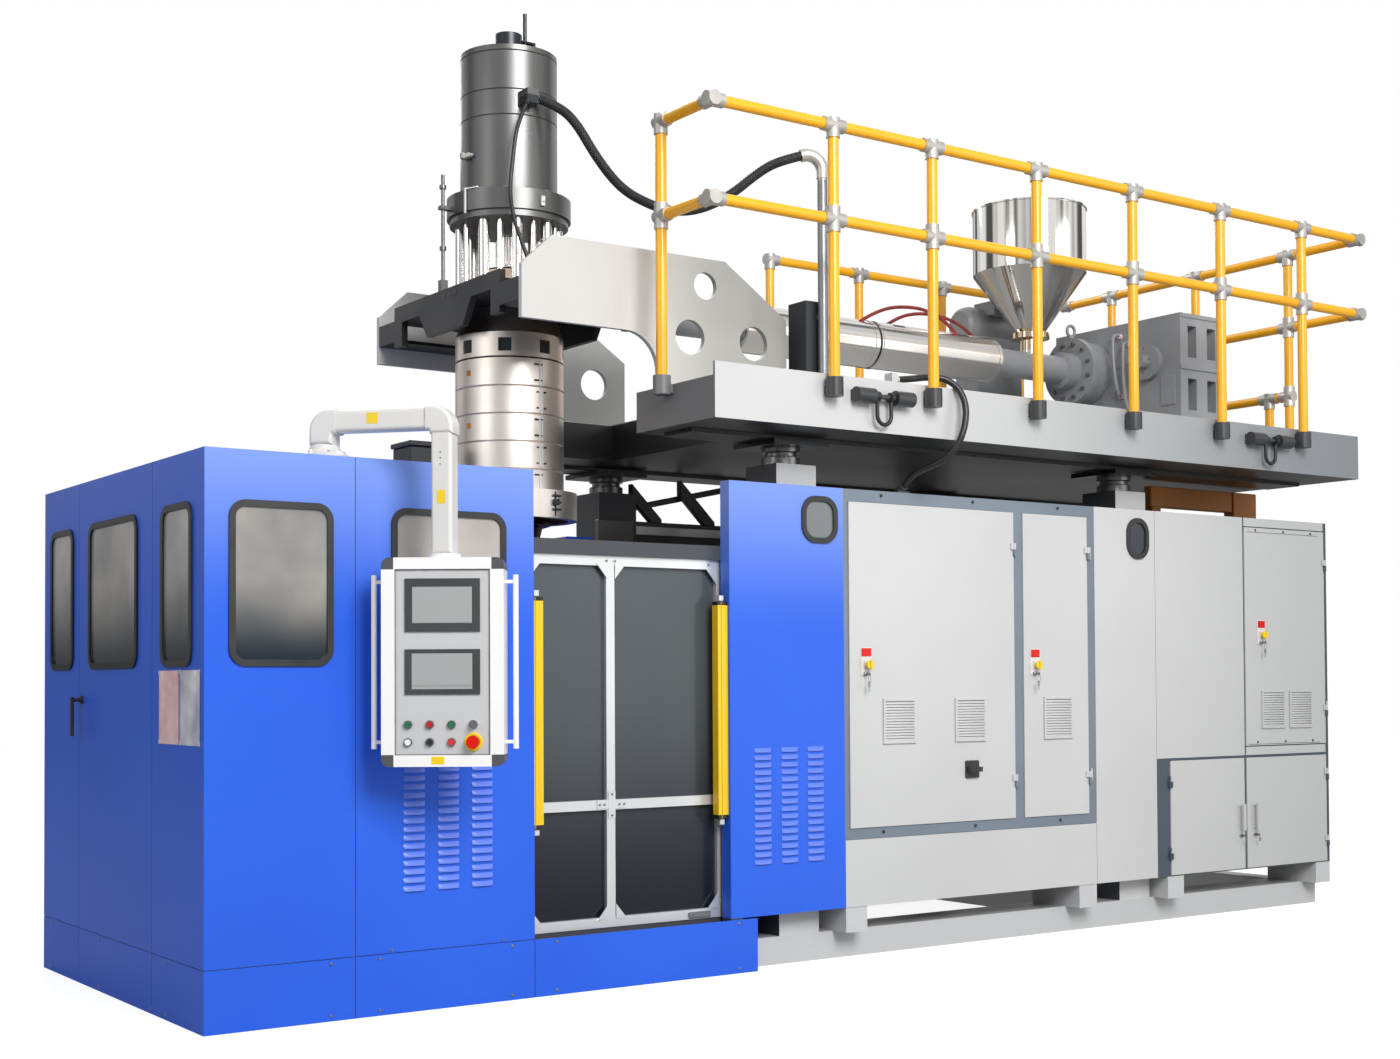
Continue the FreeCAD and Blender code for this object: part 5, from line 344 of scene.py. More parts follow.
# Painted shade: near black underneath, mid grey on the left end, and the fade darker along x.
underside_shade = [around((0.2, 0.2895), ANY, ANY), around((-1, 1.3), (-0.60, 0.31), (2.28, 2.46)),
              around(ANY, ANY, (2.27, 2.2905))]
platform_end_shade = [around((0.2, 0.2895), (-1.2505, 0.9), (2.2906, 2.58)),
                around((0.2895, 0.2905), (-1.1745, 0.9), ANY)]
platform_grey = finish("platform_paint", (0.56, 0.565, 0.56), (0.52, 0.525, 0.52), 0.40, 0.08, 0.7,
                       0.05, 240, fade=((0.22, 0.235, 0.25), "X", 0.9, 4.5),
                       zones=[((0.035, 0.037, 0.041), lug_zones), ((0.022, 0.022, 0.022), underside_shade),
                              ((0.165, 0.162, 0.163), platform_end_shade)],
                       Coat_Weight=0.12, Coat_Roughness=0.25)
# Painted shade: the jack columns' left faces and the whole rear left column are near black.
jack_shaded_sides = [around((x - 0.1105, x - 0.109), ANY, ANY) for x in (0.94, 3.08)]
jack_grey = finish("jack_paint", (0.64, 0.645, 0.64), (0.58, 0.585, 0.58), 0.42, 0.08, 1.2, 0.05, 240,
                   zones=[((0.052, 0.057, 0.066), jack_shaded_sides + [around((0.8, 1.1), (0.5, 0.8), ANY)])])
# Painted shade: the carrier's grey fades darker along x.
carrier_grey = finish("carrier_paint", (0.60, 0.59, 0.565), (0.55, 0.54, 0.515), 0.40, 0.08, 1.1, 0.03,
                      260, fade=((0.36, 0.36, 0.345), "X", 0.25, 0.75), Coat_Weight=0.08,
                      Coat_Roughness=0.2)
dark_paint = finish("dark_paint", (0.020, 0.021, 0.024), (0.013, 0.014, 0.016), 0.40, 0.12, 2.0,
                    0.05, 260)
gear_paint = finish("gear_paint", (0.33, 0.34, 0.355), (0.24, 0.25, 0.265), 0.34, 0.14, 3.0, 0.12,
                    140, Coat_Weight=0.15, Coat_Roughness=0.2)
jack_face = finish("jack_face_paint", (0.19, 0.18, 0.165), (0.15, 0.14, 0.13), 0.36, 0.1, 2.0, 0.05, 240)
orange = finish("orange_paint", (0.62, 0.21, 0.015), (0.50, 0.16, 0.012), 0.38, 0.08, 3, 0.05, 240)
print("frame paints:", inner_dark.name, platform_grey.name, jack_grey.name, carrier_grey.name)

# %% [markdown]
# ## Safety yellows
# The rail's tubes are a warm gloss yellow. The light curtains are lemon, with black ends and
# a darker lens line down each bar. Ends and lines could be pieces of their own, but they lie
# flush with the bar, where two surfaces would flicker, so they are zones.

# %% Mix the yellows
yellow = finish("rail_paint", (0.96, 0.47, 0.004), (0.92, 0.41, 0.003), 0.30, 0.06, 2.5, 0.03, 260,
                Coat_Weight=0.3, Coat_Roughness=0.15)
curtain_ends = [around(ANY, ANY, (0.6, 0.664)), around(ANY, ANY, (1.54, 1.6))]
curtain_lenses = [around((-0.428, -0.424), ANY, ANY), around((0.468, 0.472), ANY, ANY)]
curtain_yellow = finish("curtain_yellow", (0.93, 0.58, 0.004), (0.88, 0.53, 0.004), 0.35, 0.05, 3, 0.02,
                        260, zones=[(BLACK, curtain_ends), ((0.42, 0.26, 0.004), curtain_lenses)])
print("yellows:", yellow.name, curtain_yellow.name)

# %% [markdown]
# ## Bare metals
# The covers of the head and the barrel are brushed round, and the hopper is polished. An even
# gloss would look like silver paint. A brushed metal smears its highlight across the strokes,
# so the grain is drawn out along them and the shader is anisotropic.

# %% Mix the head's and barrel's metals
stainless = finish("brushed_stainless", (0.84, 0.79, 0.74), (0.74, 0.67, 0.61), 0.34, 0.10, 2.2, 0.10,
                   60, (1, 1, 14), zones=[((0.70, 0.56, 0.46), [around(ANY, ANY, (2.752, 3.1))]),
                                          ((0.03, 0.028, 0.026), [around(ANY, ANY, (2.6372, 2.6448))])],
                   Metallic=1.0, Anisotropic=0.4)
dark_caps = [around(ANY, ANY, (4.021, 4.3)), around((-0.13, 0.02), (-0.32, -0.22), (3.69, 3.78))]
cylinder_steel = finish("cylinder_paint", (0.155, 0.155, 0.152), (0.12, 0.12, 0.118), 0.30, 0.10,
                        1.8, 0.06, 60, (1, 1, 14), zones=[((0.040, 0.044, 0.050), dark_caps)],
                        Metallic=0.75, Anisotropic=0.4)
hopper_neck = around((3.14, 3.40), (-0.13, 0.13), (3.03, 3.1255))
mirror = finish("mirror_stainless", (0.78, 0.76, 0.73), (0.70, 0.67, 0.63), 0.07, 0.05, 1.6, 0.015,
                90, (1, 1, 6), zones=[((0.62, 0.50, 0.37), [hopper_neck])], Metallic=1.0)
barrel_steel = finish("barrel_cover_steel", (0.80, 0.78, 0.75), (0.70, 0.67, 0.64), 0.20, 0.08, 1.6,
                      0.06, 60, (14, 1, 1), Metallic=1.0, Anisotropic=0.3)
die_steel = finish("heat_tinted_steel", (0.085, 0.05, 0.045), (0.20, 0.09, 0.06), 0.26, 0.14, 7,
                   0.08, 120, Metallic=0.9)
print("metals of the head:", stainless.name, cylinder_steel.name, mirror.name, barrel_steel.name)

# %% [markdown]
# ## Metals of the fittings
# The remaining metals are rods, machined faces, extruded profiles and castings. One grey for
# all would make the machine look moulded in one piece. They differ less in colour than in
# gloss and grain: a rod is smooth, a casting rough and speckled.

# %% Mix the fittings' metals
polished = finish("polished_rod", (0.74, 0.72, 0.70), (0.66, 0.64, 0.62), 0.13, 0.05, 3, 0.02, 120,
                  Metallic=1.0)
machined = finish("machined_steel", (0.34, 0.34, 0.35), (0.27, 0.27, 0.28), 0.38, 0.12, 3, 0.08, 120,
                  Metallic=1.0)
ram_steel = finish("ram_steel", (0.30, 0.29, 0.285), (0.17, 0.165, 0.16), 0.30, 0.14, 5, 0.10, 120,
                   zones=[((0.045, 0.047, 0.05), [around(ANY, ANY, (2.249, 2.3))])], Metallic=0.9)
aluminium = finish("anodised_profile", (0.74, 0.75, 0.76), (0.68, 0.69, 0.70), 0.36, 0.08, 2, 0.05,
                   120, (1, 1, 8), Metallic=0.6)
fitting_metal = finish("cast_fitting", (0.58, 0.56, 0.52), (0.44, 0.42, 0.39), 0.46, 0.12, 9, 0.25,
                       260, Metallic=0.6)
mast_zones = [((0.62, 0.60, 0.56), [around(ANY, ANY, (3.47, 3.7))]),
              ((0.045, 0.05, 0.056), [around((1.07, 1.16), (-0.78, -0.6), (2.46, 2.93))])]
mast_metal = finish("mast_steel", (0.30, 0.31, 0.32), (0.22, 0.23, 0.24), 0.34, 0.12, 5, 0.1, 200,
                    zones=mast_zones, Metallic=0.7)
print("metals of the fittings:", machined.name, aluminium.name, fitting_metal.name, mast_metal.name)

# %% [markdown]
# ## Console paints
# The operator's console is one shell with a grey face, dark corners and coloured caps. It is
# turned 35 degrees from the machine, and zones along the machine's axes would cut across it.
# So its zones are given in a frame of its own: across the face, out of it and up. The mask
# group turns its boxes to match.

# %% Mix the console's paints
CONSOLE_X, CONSOLE_Y, CONSOLE_TOP = -0.955, -1.225, 1.671
CONSOLE_TURN = math.radians(35.1)
BUTTON_ROWS = (-0.600, -0.663)
console_frame = (CONSOLE_X, CONSOLE_Y, 0, CONSOLE_TURN)


def button_x(column):
    """Distance of a column of buttons from the face's middle."""
    return -0.124 + 0.078 * column


def on_face(across, out, height):
    """A zone in the console's frame."""
    return around((CONSOLE_X + across[0], CONSOLE_X + across[1]),
                  (CONSOLE_Y - out[1], CONSOLE_Y - out[0]),
                  (CONSOLE_TOP + height[0], CONSOLE_TOP + height[1]))


def button_zone(column, row, radius, out):
    """The box round one push button."""
    x, z = button_x(column), BUTTON_ROWS[row]
    return on_face((x - radius, x + radius), out, (z - radius, z + radius))


def cap_zone(column, row):
    """The cap of one push button."""
    return button_zone(column, row, 0.0113, (0.0682, 0.08))


corner_zones = [on_face(side, (-0.07, 0.067), end) for side in ((-0.221, -0.176), (0.176, 0.221))
                for end in ((-0.752, -0.708), (-0.043, 0.001))]
bezels = [button_zone(column, row, 0.0155, (0.0603, 0.0682)) for column in range(3) for row in range(2)]
console_zones = [((0.55, 0.555, 0.56), [on_face((-0.170, 0.170), (0.0, 0.0606), (-0.708, -0.043))]),
                 ((0.075, 0.08, 0.088), corner_zones), ((0.05, 0.052, 0.055), bezels),
                 ((0.010, 0.16, 0.075), [cap_zone(0, 0), cap_zone(2, 0)]),
                 ((0.45, 0.012, 0.014), [cap_zone(1, 0)]), ((0.80, 0.80, 0.80), [cap_zone(0, 1)]),
                 ((0.02, 0.021, 0.022), [cap_zone(1, 1)]), ((0.66, 0.03, 0.03), [cap_zone(2, 1)])]
screen_zones = [((0.38, 0.385, 0.385), [on_face((-0.108, 0.106), (0.0655, 0.08), (-0.235, -0.106)),
                                        on_face((-0.110, 0.107), (0.0655, 0.08), (-0.473, -0.345))])]
console_paint = finish("console_paint", (0.88, 0.875, 0.865), (0.84, 0.835, 0.825), 0.36, 0.06, 2, 0.03,
                       260, zones=console_zones, turned=console_frame, Coat_Weight=0.2,
                       Coat_Roughness=0.15)
screens = finish("screen_plastic", (0.052, 0.055, 0.06), (0.062, 0.066, 0.07), 0.20, 0.08, 4, 0.03, 300,
                 zones=screen_zones, turned=console_frame, Coat_Weight=0.6, Coat_Roughness=0.05)
white = finish("white_enclosure", (0.70, 0.69, 0.665), (0.66, 0.65, 0.625), 0.34, 0.06, 2, 0.03, 260,
               Coat_Weight=0.2, Coat_Roughness=0.15)
print("console:", len(console_zones), "colours over the shell")

# %% [markdown]
# ## Rubber, plastics and films
# Seals, knobs and cables are moulded: a dark or a strong tone, a soft gloss and a coat where
# they shine. The two films on the corner are crinkled foil. Their mesh is rippled, and as more
# folds would cost many faces, a strong coarse grain breaks the reflections up further.

# %% Mix the rubber, plastics and films
rubber = finish("seal_rubber", (0.016, 0.016, 0.017), (0.024, 0.024, 0.025), 0.42, 0.1, 6, 0.08, 300)
black_plastic = finish("black_plastic", (0.018, 0.018, 0.019), (0.026, 0.026, 0.027), 0.38, 0.1, 8,
                       0.08, 300)
red_plastic = finish("red_plastic", (0.70, 0.008, 0.004), (0.62, 0.007, 0.004), 0.30, 0.05, 20, 0.02,
                     300, Coat_Weight=0.08, Coat_Roughness=0.1, Specular_IOR_Level=0.25)
yellow_plastic = finish("yellow_plastic", (0.88, 0.62, 0.01), (0.82, 0.56, 0.01), 0.32, 0.06, 12, 0.03,
                        300, Coat_Weight=0.2, Coat_Roughness=0.15)
red_sleeve = finish("red_sleeve", (0.34, 0.022, 0.014), (0.13, 0.014, 0.012), 0.42, 0.1, 26, 0.2, 180)
cable_black = finish("cable_black", (0.014, 0.014, 0.015), (0.022, 0.022, 0.023), 0.36, 0.1, 12, 0.1, 240)
copper = finish("copper_film", (1.0, 0.72, 0.76), (0.80, 0.46, 0.48), 0.22, 0.10, 7, 0.9, 9,
                Metallic=0.1)
silver = finish("silver_film", (0.88, 0.88, 0.96), (0.44, 0.45, 0.53), 0.20, 0.10, 7, 0.9, 9,
                Metallic=0.1)
print("moulded parts and films ready")

# %% [markdown]
# ## Window and door panes
# The panes are tinted, and their colour is painted light and shade: pale above as a painted
# reflection of the light overhead, dark below as painted shade, and one window lighter and
# another darker all over. They show almost nothing behind them. True glass would show this
# machine's plain inside, so a near-opaque pane whose colour fades downwards comes closer.

# %% Mix the panes
glass = finish("window_glass", (0.25, 0.25, 0.245), (0.56, 0.52, 0.47), 0.16, 0.10, 2.2, 0.02, 40,
               (1, 1, 2.2), fade=((0.022, 0.032, 0.044), "Z", 1.66, 1.30),
               zones=[((0.17, 0.185, 0.19), [around((0.6, 1.2), ANY, ANY)]),
                      ((0.035, 0.045, 0.06), [around((2.5, 3.2), ANY, ANY)])], Alpha=0.90,
               Coat_Weight=0.3, Coat_Roughness=0.05)
# The door panes fade darker downwards: painted reflection above, painted shade below.
door_glass = finish("door_glass", (0.078, 0.090, 0.098), (0.060, 0.070, 0.078), 0.20, 0.08, 0.8, 0.02,
                    40, fade=((0.008, 0.011, 0.018), "Z", 1.35, 0.25), Alpha=0.95, Coat_Weight=0.15,
                    Coat_Roughness=0.08, Specular_IOR_Level=0.3)
print("panes:", glass.name, door_glass.name)

# %% [markdown]
# ## Braided hose
# The mast's hose wears a black braid with a few bright threads. Modelled threads would be
# thousands of faces. Two sine waves that cross on the hose's own UV map give the weave: their
# larger one is the height, and where both peak a thread glints.

# %% Weave the braid
THREADS_ALONG, THREADS_ROUND, GLINT = 110, 9, 0.985


def braid_material():
    """Black braid: two crossing waves sin(2 pi (a u + b v)) along (u) and round (v) the hose."""
    material = finish("hose_braid", (0.014, 0.014, 0.015), (0.022, 0.022, 0.023), 0.40, 0.1, 12, 0.1, 200)
    tree = material.node_tree
    shader = tree.nodes["Principled BSDF"]
    place = node(tree, "ShaderNodeTexCoord").outputs["UV"]
    split = node(tree, "ShaderNodeSeparateXYZ", {0: place})
    waves = []
    for turns in (THREADS_ROUND, -THREADS_ROUND):
        along = calculate(tree, "MULTIPLY", split.outputs["X"], 2 * math.pi * THREADS_ALONG)
        both = calculate(tree, "MULTIPLY_ADD", split.outputs["Y"], 2 * math.pi * turns, along)
        waves.append(calculate(tree, "SINE", both))
    weave = calculate(tree, "MAXIMUM", *waves)
    fleck = calculate(tree, "GREATER_THAN", calculate(tree, "MULTIPLY", *waves), GLINT)
    base = shader.inputs["Base Color"].links[0].from_socket
    tree.links.new(blend(tree, fleck, base, rgba((0.35, 0.34, 0.32))), shader.inputs["Base Color"])
    bump = node(tree, "ShaderNodeBump", {"Height": weave}, Strength=0.8, Distance=0.002)
    tree.links.new(bump.outputs["Normal"], shader.inputs["Normal"])
    return material


braid = braid_material()
print("woven:", braid.name)

# %% [markdown]
# ## Dress the solids
# Each solid of the frame gets its finish by name. They could be dressed one at a time in the
# viewport, but that is lost when the frame is loaded again. A table can be read and repeated,
# and the print shows that no solid was left out.

# %% Give each solid its finish
LOOKS = {
    blue: ["kick_plates", "corner_cover", "front_cover", "rear_cover", "right_cover"],
    blue_door: ["end_door_near", "end_door_far"],
    light_grey: ["cabinet_panels"],
    door_grey: ["cabinet_a_large_door", "cabinet_a_small_door", "cabinet_b_upper_door",
                "cabinet_b_lower_left_door", "cabinet_b_lower_right_door"],
    # The door tracks are near black as painted shade above the sliding door.
    inner_dark: ["base_frame", "door_tracks"],
    case_grey: ["cabinet_cases"],
    platform_grey: ["platform_frame"],
    jack_grey: ["jack_columns"],
    carrier_grey: ["carrier_plates"],
    dark_paint: ["carrier_beam", "shackle_left", "shackle_right"],
    gear_paint: ["gearbox", "motor", "extruder_barrel"],
    yellow: ["guard_rail_tubes"],
    curtain_yellow: ["light_curtains"],
    stainless: ["heater_cover"],
    cylinder_steel: ["head_cylinder"],
    mirror: ["hopper"],
    barrel_steel: ["barrel_cover"],
    polished: ["head_columns", "blow_pin", "plunger", "mandrel", "screw"],
    machined: ["clamp_bed", "platen_left", "platen_right", "key_selector"],
    ram_steel: ["jack_rams"],
    aluminium: ["sliding_door_frame"],
    fitting_metal: ["guard_rail_fittings"],
    mast_metal: ["hose_mast"],
    rubber: ["window_seals"],
    white: ["arm_base", "swing_arm"],
    console_paint: ["console_housing"],
    screens: ["console_screens"],
    black_plastic: ["end_door_handle", "main_switch"],
    red_plastic: ["emergency_stop"],
    die_steel: ["die"],
    glass: ["window_panes", "end_door_near_pane", "end_door_far_pane"],
    door_glass: ["sliding_door_panes"],
    braid: ["mast_hose"],
    cable_black: ["head_cable", "platform_hose"],
}
dressed = set()
for material, names in LOOKS.items():
    for name in names:
        for slot in nodes[name].material_slots:
            slot.material = material
        dressed.add(name)
print("finishes on solids:", len(LOOKS), "solids without one:", sorted(set(nodes) - dressed))

# %% [markdown]
# ## Sheets and turned parts
# Blender's primitives need an object and often a modifier each. Here a part is only numpy
# arrays, one of points and some of faces, so hundreds of parts join into one mesh. Most parts
# are a grid of points over two parameters, closed on itself where the part is round.

# %% Write the sheet and the turned part
TURNS = {"X": [2, 0, 1], "Y": [1, 2, 0], "Z": [0, 1, 2]}


def grid(points, close_u=False, close_v=False):
    """A sheet of quads over points p(u, v) of shape (n, m, 3)."""
    n, m = points.shape[:2]
    i, j = np.meshgrid(np.arange(n if close_u else n - 1), np.arange(m if close_v else m - 1),
                       indexing="ij")
    i2, j2 = (i + 1) % n, (j + 1) % m
    faces = np.stack([i * m + j, i2 * m + j, i2 * m + j2, i * m + j2], axis=-1).reshape(-1, 4)
    return points.reshape(-1, 3), [faces]


def revolved(profile, centre, axis="Z", count=32):
    """Points centre + (r cos t, r sin t, h) for each (r, h), with h along the axis."""
    r, h = np.array(profile, float).T
    angle = np.linspace(0, 2 * np.pi, count, endpoint=False)
    ring = np.stack([r[:, None] * np.cos(angle), r[:, None] * np.sin(angle),
                     h[:, None] + 0 * angle], axis=-1)
    return grid(ring[..., TURNS[axis]] + np.array(centre, float), close_v=True)


print("a turned part of two rings has", len(revolved([(1, 0), (1, 1)], (0, 0, 0))[0]), "points")

# %% [markdown]
# ## Chamfered blocks
# Plate and sheet never end in a perfectly sharp edge. A bevel modifier could round it, but
# hundreds of blocks would need hundreds of modifiers. Here each corner is three points, one
# moved out along each axis, so the chamfer is part of the block.

# %% Write the block
CORNER_SIGNS = np.array([[i, j, k] for i in (-1, 1) for j in (-1, 1) for k in (-1, 1)], float)


def corner(i, j, k):
    """Number of a corner from its three signs."""
    return 4 * (i > 0) + 2 * (j > 0) + (k > 0)


def box_faces():
    """A quad for each side and for each edge's chamfer, and a triangle for each corner."""
    quads = []
    for axis in range(3):
        b, c = (axis + 1) % 3, (axis + 2) % 3
        for sign in (-1, 1):
            ring = []
            for sb, sc in ((-1, -1), (1, -1), (1, 1), (-1, 1)):
                at = [0, 0, 0]
                at[axis], at[b], at[c] = sign, sb, sc
                ring.append(3 * corner(*at) + axis)
            quads.append(ring)
            for other in (-1, 1):
                low, high = [0, 0, 0], [0, 0, 0]
                low[axis], low[b], low[c] = sign, other, -1
                high[axis], high[b], high[c] = sign, other, 1
                first, last = 3 * corner(*low), 3 * corner(*high)
                quads.append([first + axis, last + axis, last + b, first + b])
    return [np.array(quads), np.arange(24).reshape(8, 3)]


BOX_FACES = box_faces()


def bar(low, high, chamfer=0.001):
    """A chamfered block: points c + s (h - chamfer (1 - e_k)) for every corner sign s."""
    low, high = np.minimum(low, high), np.maximum(low, high)
    half = (high - low) / 2
    cut = np.minimum(chamfer, half.min() * 0.6)
    points = (low + high) / 2 + CORNER_SIGNS[:, None, :] * (half - cut * (1 - np.eye(3)))[None]
    return points.reshape(-1, 3), BOX_FACES


print("a block has", sum(len(group) for group in BOX_FACES), "faces")

# %% [markdown]
# ## Bolts and pipes
# Bolt heads and thin pipes come in dozens. A curve object with a bevel could give a pipe, but
# it would not join the other parts, so rings of points are carried along the path instead. A
# bolt head is a turned part with a dimple, because a flat disc looks printed on.

# %% Write the bolt and the pipe


def bolt(centre, axis, radius, height, count=16):
    """A round head with a soft edge and a dimple, along +axis or, with height < 0, along -axis."""
    soft = height * 0.7
    return revolved([(0, 0), (radius, 0), (radius, soft), (radius * 0.82, height),
                     (radius * 0.45, height), (radius * 0.35, soft), (0, soft)], centre, axis, count)


def pipe(path, radius, count=10):
    """Rings of radius r square to a path, each frame carried over from the last."""
    path = np.array(path, float)
    ways = np.gradient(path, axis=0)
    ways /= np.linalg.norm(ways, axis=1)[:, None]
    side = np.cross(ways[0], (0.31, 0.12, 0.94))
    rings = []
    angle = np.linspace(0, 2 * np.pi, count, endpoint=False)[:, None]
    for point, way in zip(path, ways):
        side = side - way * (side @ way)
        side /= np.linalg.norm(side)
        rings.append(point + radius * (np.cos(angle) * side + np.sin(angle) * np.cross(way, side)))
    return grid(np.stack(rings), close_v=True)


print("a bolt head has", len(bolt((0, 0, 0), "Z", 1, 1)[0]), "points")

# %% [markdown]
# ## From parts to a piece
# A piece is many parts with one finish on one moving body. Joining objects by hand would have
# to be done again after every change, so `build` joins the arrays, turns the faces outwards,
# shades them smooth up to an angle and lets the piece ride on its body.

# %% Write the builder


def add_object(name, data, look):
    """Put a mesh or a curve with its material in the scene, at the origin."""
    data.materials.append(look)
    made = bpy.data.objects.new(name, data)
    bpy.context.scene.collection.objects.link(made)
    return made


def build(name, body, look, parts, angle=35):
    """Join parts into one piece with outward faces, smooth up to an angle, and let it ride."""
    points, faces, start = [], [], 0
    for spots, groups in parts:
        points.append(spots)
        for group in groups:
            faces += (group + start).tolist()
        start += len(spots)
    mesh = bpy.data.meshes.new(name)
    mesh.from_pydata(np.concatenate(points).tolist(), [], faces)
    shape = bmesh.new()
    shape.from_mesh(mesh)
    bmesh.ops.remove_doubles(shape, verts=shape.verts, dist=1e-6)
    bmesh.ops.recalc_face_normals(shape, faces=shape.faces)
    shape.to_mesh(mesh)
    shape.free()
    mesh.polygons.foreach_set("use_smooth", np.full(len(mesh.polygons), True))
    mesh.set_sharp_from_angle(angle=math.radians(angle))
    made = add_object(name, mesh, look)
    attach(made, body)
    print("%s: %d faces" % (name, len(mesh.polygons)))


print("builder ready")

# %% [markdown]
# ## Hoses and cables
# A braided hose hangs between the head and the mast, a cable runs down the head's front, and
# a hose leads from the platform into the first cabinet. The CAD model has all three, but as
# stiff tubes. A few points for each give the same routes to a curve.

# %% Write down the routes
HOSE_HEADING = np.array([1.158, -0.555]) / math.hypot(1.158, 0.555)
HOSE_PROFILE = [(0.012, 3.781), (0.084, 3.757), (0.168, 3.696), (0.271, 3.521), (0.378, 3.393),
                (0.503, 3.331), (0.601, 3.304), (0.726, 3.317), (0.862, 3.385), (0.996, 3.499),
                (1.08909, 3.55166), (1.18568, 3.57754)]
MAST_HOSE = [(run * HOSE_HEADING[0], -0.245 + run * HOSE_HEADING[1], height)
             for run, height in HOSE_PROFILE]
HEAD_CABLE = [(-0.070, -0.281, 3.735), (-0.122, -0.290, 3.636), (-0.143, -0.292, 3.493),
              (-0.159, -0.290, 3.352), (-0.142, -0.280, 3.253), (-0.104, -0.290, 3.134),
              (-0.075, -0.302, 3.055), (-0.066, -0.310, 2.980), (-0.066, -0.310, 2.9103)]
PLATFORM_HOSE = [(1.330, -1.100, 2.546), (1.410, -1.100, 2.556), (1.495, -1.110, 2.571),
                 (1.560, -1.150, 2.568), (1.608, -1.194, 2.526), (1.624, -1.228, 2.446),
                 (1.612, -1.234, 2.352), (1.582, -1.222, 2.264), (1.542, -1.176, 2.200),
                 (1.502, -1.098, 2.168), (1.484, -1.0259, 2.1448), (1.484, -0.966, 2.098)]
print("route points:", len(MAST_HOSE), len(HEAD_CABLE), len(PLATFORM_HOSE))

# %% [markdown]
# ## Laying a hose
# A mesh tube could be just as smooth. A spline of order 3 along the route, with a round bevel
# for its thickness, takes the place of the stiff tube, which is hidden.

# %% Lay the hoses


def lay_cord(name, route, radius, look):
    """One open spline of order 3 along a route, with a round bevel of the given radius."""
    curve = bpy.data.curves.new(name, "CURVE")
    curve.dimensions = "3D"
    spline = curve.splines.new("NURBS")
    spline.points.add(len(route) - 1)
    for spot, place in zip(spline.points, route):
        spot.co = (*place, 1)
    spline.order_u = 3
    spline.use_endpoint_u = True
    spline.resolution_u = 12
    curve.bevel_depth = radius
    curve.bevel_resolution = 5
    curve.use_fill_caps = True
    made = add_object(name, curve, look)
    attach(made, "platform")
    return made


for name, route, radius, look, stiffness in (
        ("mast_hose", MAST_HOSE, 0.021, braid, "medium"),
        ("head_cable", HEAD_CABLE, 0.009, cable_black, "medium"),
        ("platform_hose", PLATFORM_HOSE, 0.015, cable_black, "limp")):
    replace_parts(lay_cord(name + "_curve", route, radius, look), name)

# %% [markdown]
# ## Heater cables
# Two cables in red sleeves arch over the barrel's cover. They aren't in the CAD model, so
# they are new curves. Each starts and ends just inside the cover, where its end is hidden.

# %% Lay the heater cables
FRONT_CABLE = [(2.000, -0.060, 3.050), (2.065, -0.060, 3.088), (2.183, -0.060, 3.138),
               (2.303, -0.060, 3.158), (2.442, -0.060, 3.160), (2.592, -0.060, 3.112),
               (2.662, -0.060, 3.050)]
REAR_CABLE = [(2.232, 0.060, 3.050), (2.339, 0.060, 3.120), (2.479, 0.060, 3.165),
              (2.657, 0.060, 3.172), (2.839, 0.060, 3.128), (2.940, 0.060, 3.050)]
for name, route in (("front_heater_cable", FRONT_CABLE), ("rear_heater_cable", REAR_CABLE)):
    lay_cord(name, route, 0.009, red_sleeve)

# %% [markdown]
# ## Louvres
# Warm air leaves the clamp's housing through two fields of pressed hoods. Painted stripes
# would look flat from the side, and a cut in the cover would change the CAD model. Each hood
# is a thin shell on the sheet: a bulge across its width that opens downwards, with a lip.

# %% Press the louvres
HOOD_WIDTH, HOOD_HEIGHT, HOOD_LOW = 0.089, 0.019, 0.447
HOOD_STEP_X, HOOD_STEP_Z = 0.143, 0.0315


def hoods(left):
    """Three columns of hoods: y = front - d sin(pi u)^0.3 sin(pi v / 2), u across and v down."""
    u, v = np.meshgrid(np.linspace(0.004, 0.996, 13), np.linspace(0, 1, 6), indexing="ij")
    x = left - 0.002 + HOOD_WIDTH * u
    y = FRONT - 0.0004 - 0.0085 * np.sin(np.pi * u) ** 0.3 * np.sin(np.pi * v / 2)
    z = HOOD_LOW + HOOD_HEIGHT - HOOD_HEIGHT * v
    one = np.stack([x, y, z], axis=-1)
    lip = one[:, -1:] + np.array([0, 0.0012, -0.0008])
    sheet = np.concatenate([one, lip], axis=1)
    return [grid(sheet + np.array([HOOD_STEP_X * column, 0, HOOD_STEP_Z * row]))
            for column in range(3) for row in range(16)]


build("louvre_hoods", "machine", louvre_highlight_blue, hoods(-0.998) + hoods(0.629), 50)

# %% [markdown]
# ## Screws of the covers and the shade in their gap
# Round-head screws hold the kick plates, and dark bolts sit in the first cabinet's frame. They
# are small, but they tell the eye how large the sheets are. Instances could place them, but a
# few hundred faces join more simply. Dark strips in the gap over the kick plates are painted
# shade, for the shadow in that gap.

# %% Set the screws and strips
KICK_ROWS = (0.020, 0.208)
screws = [bolt((x, FRONT, z), "Y", 0.006, -0.003) for x in (-1.286, -1.094, -0.540, -0.340, 0.544)
          for z in KICK_ROWS]
screws += [bolt((-0.1, -FRONT, z), "Y", 0.006, 0.003) for z in KICK_ROWS]
screws += [bolt((LEFT, y, z), "X", 0.006, -0.003) for y in (-0.590, -0.426, 0.2, 0.86)
           for z in KICK_ROWS]
screws += [bolt((x, FRONT, 0.236), "Y", 0.005, -0.003) for x in (-1.045, -0.578)]
build("cover_screws", "machine", machined, screws)
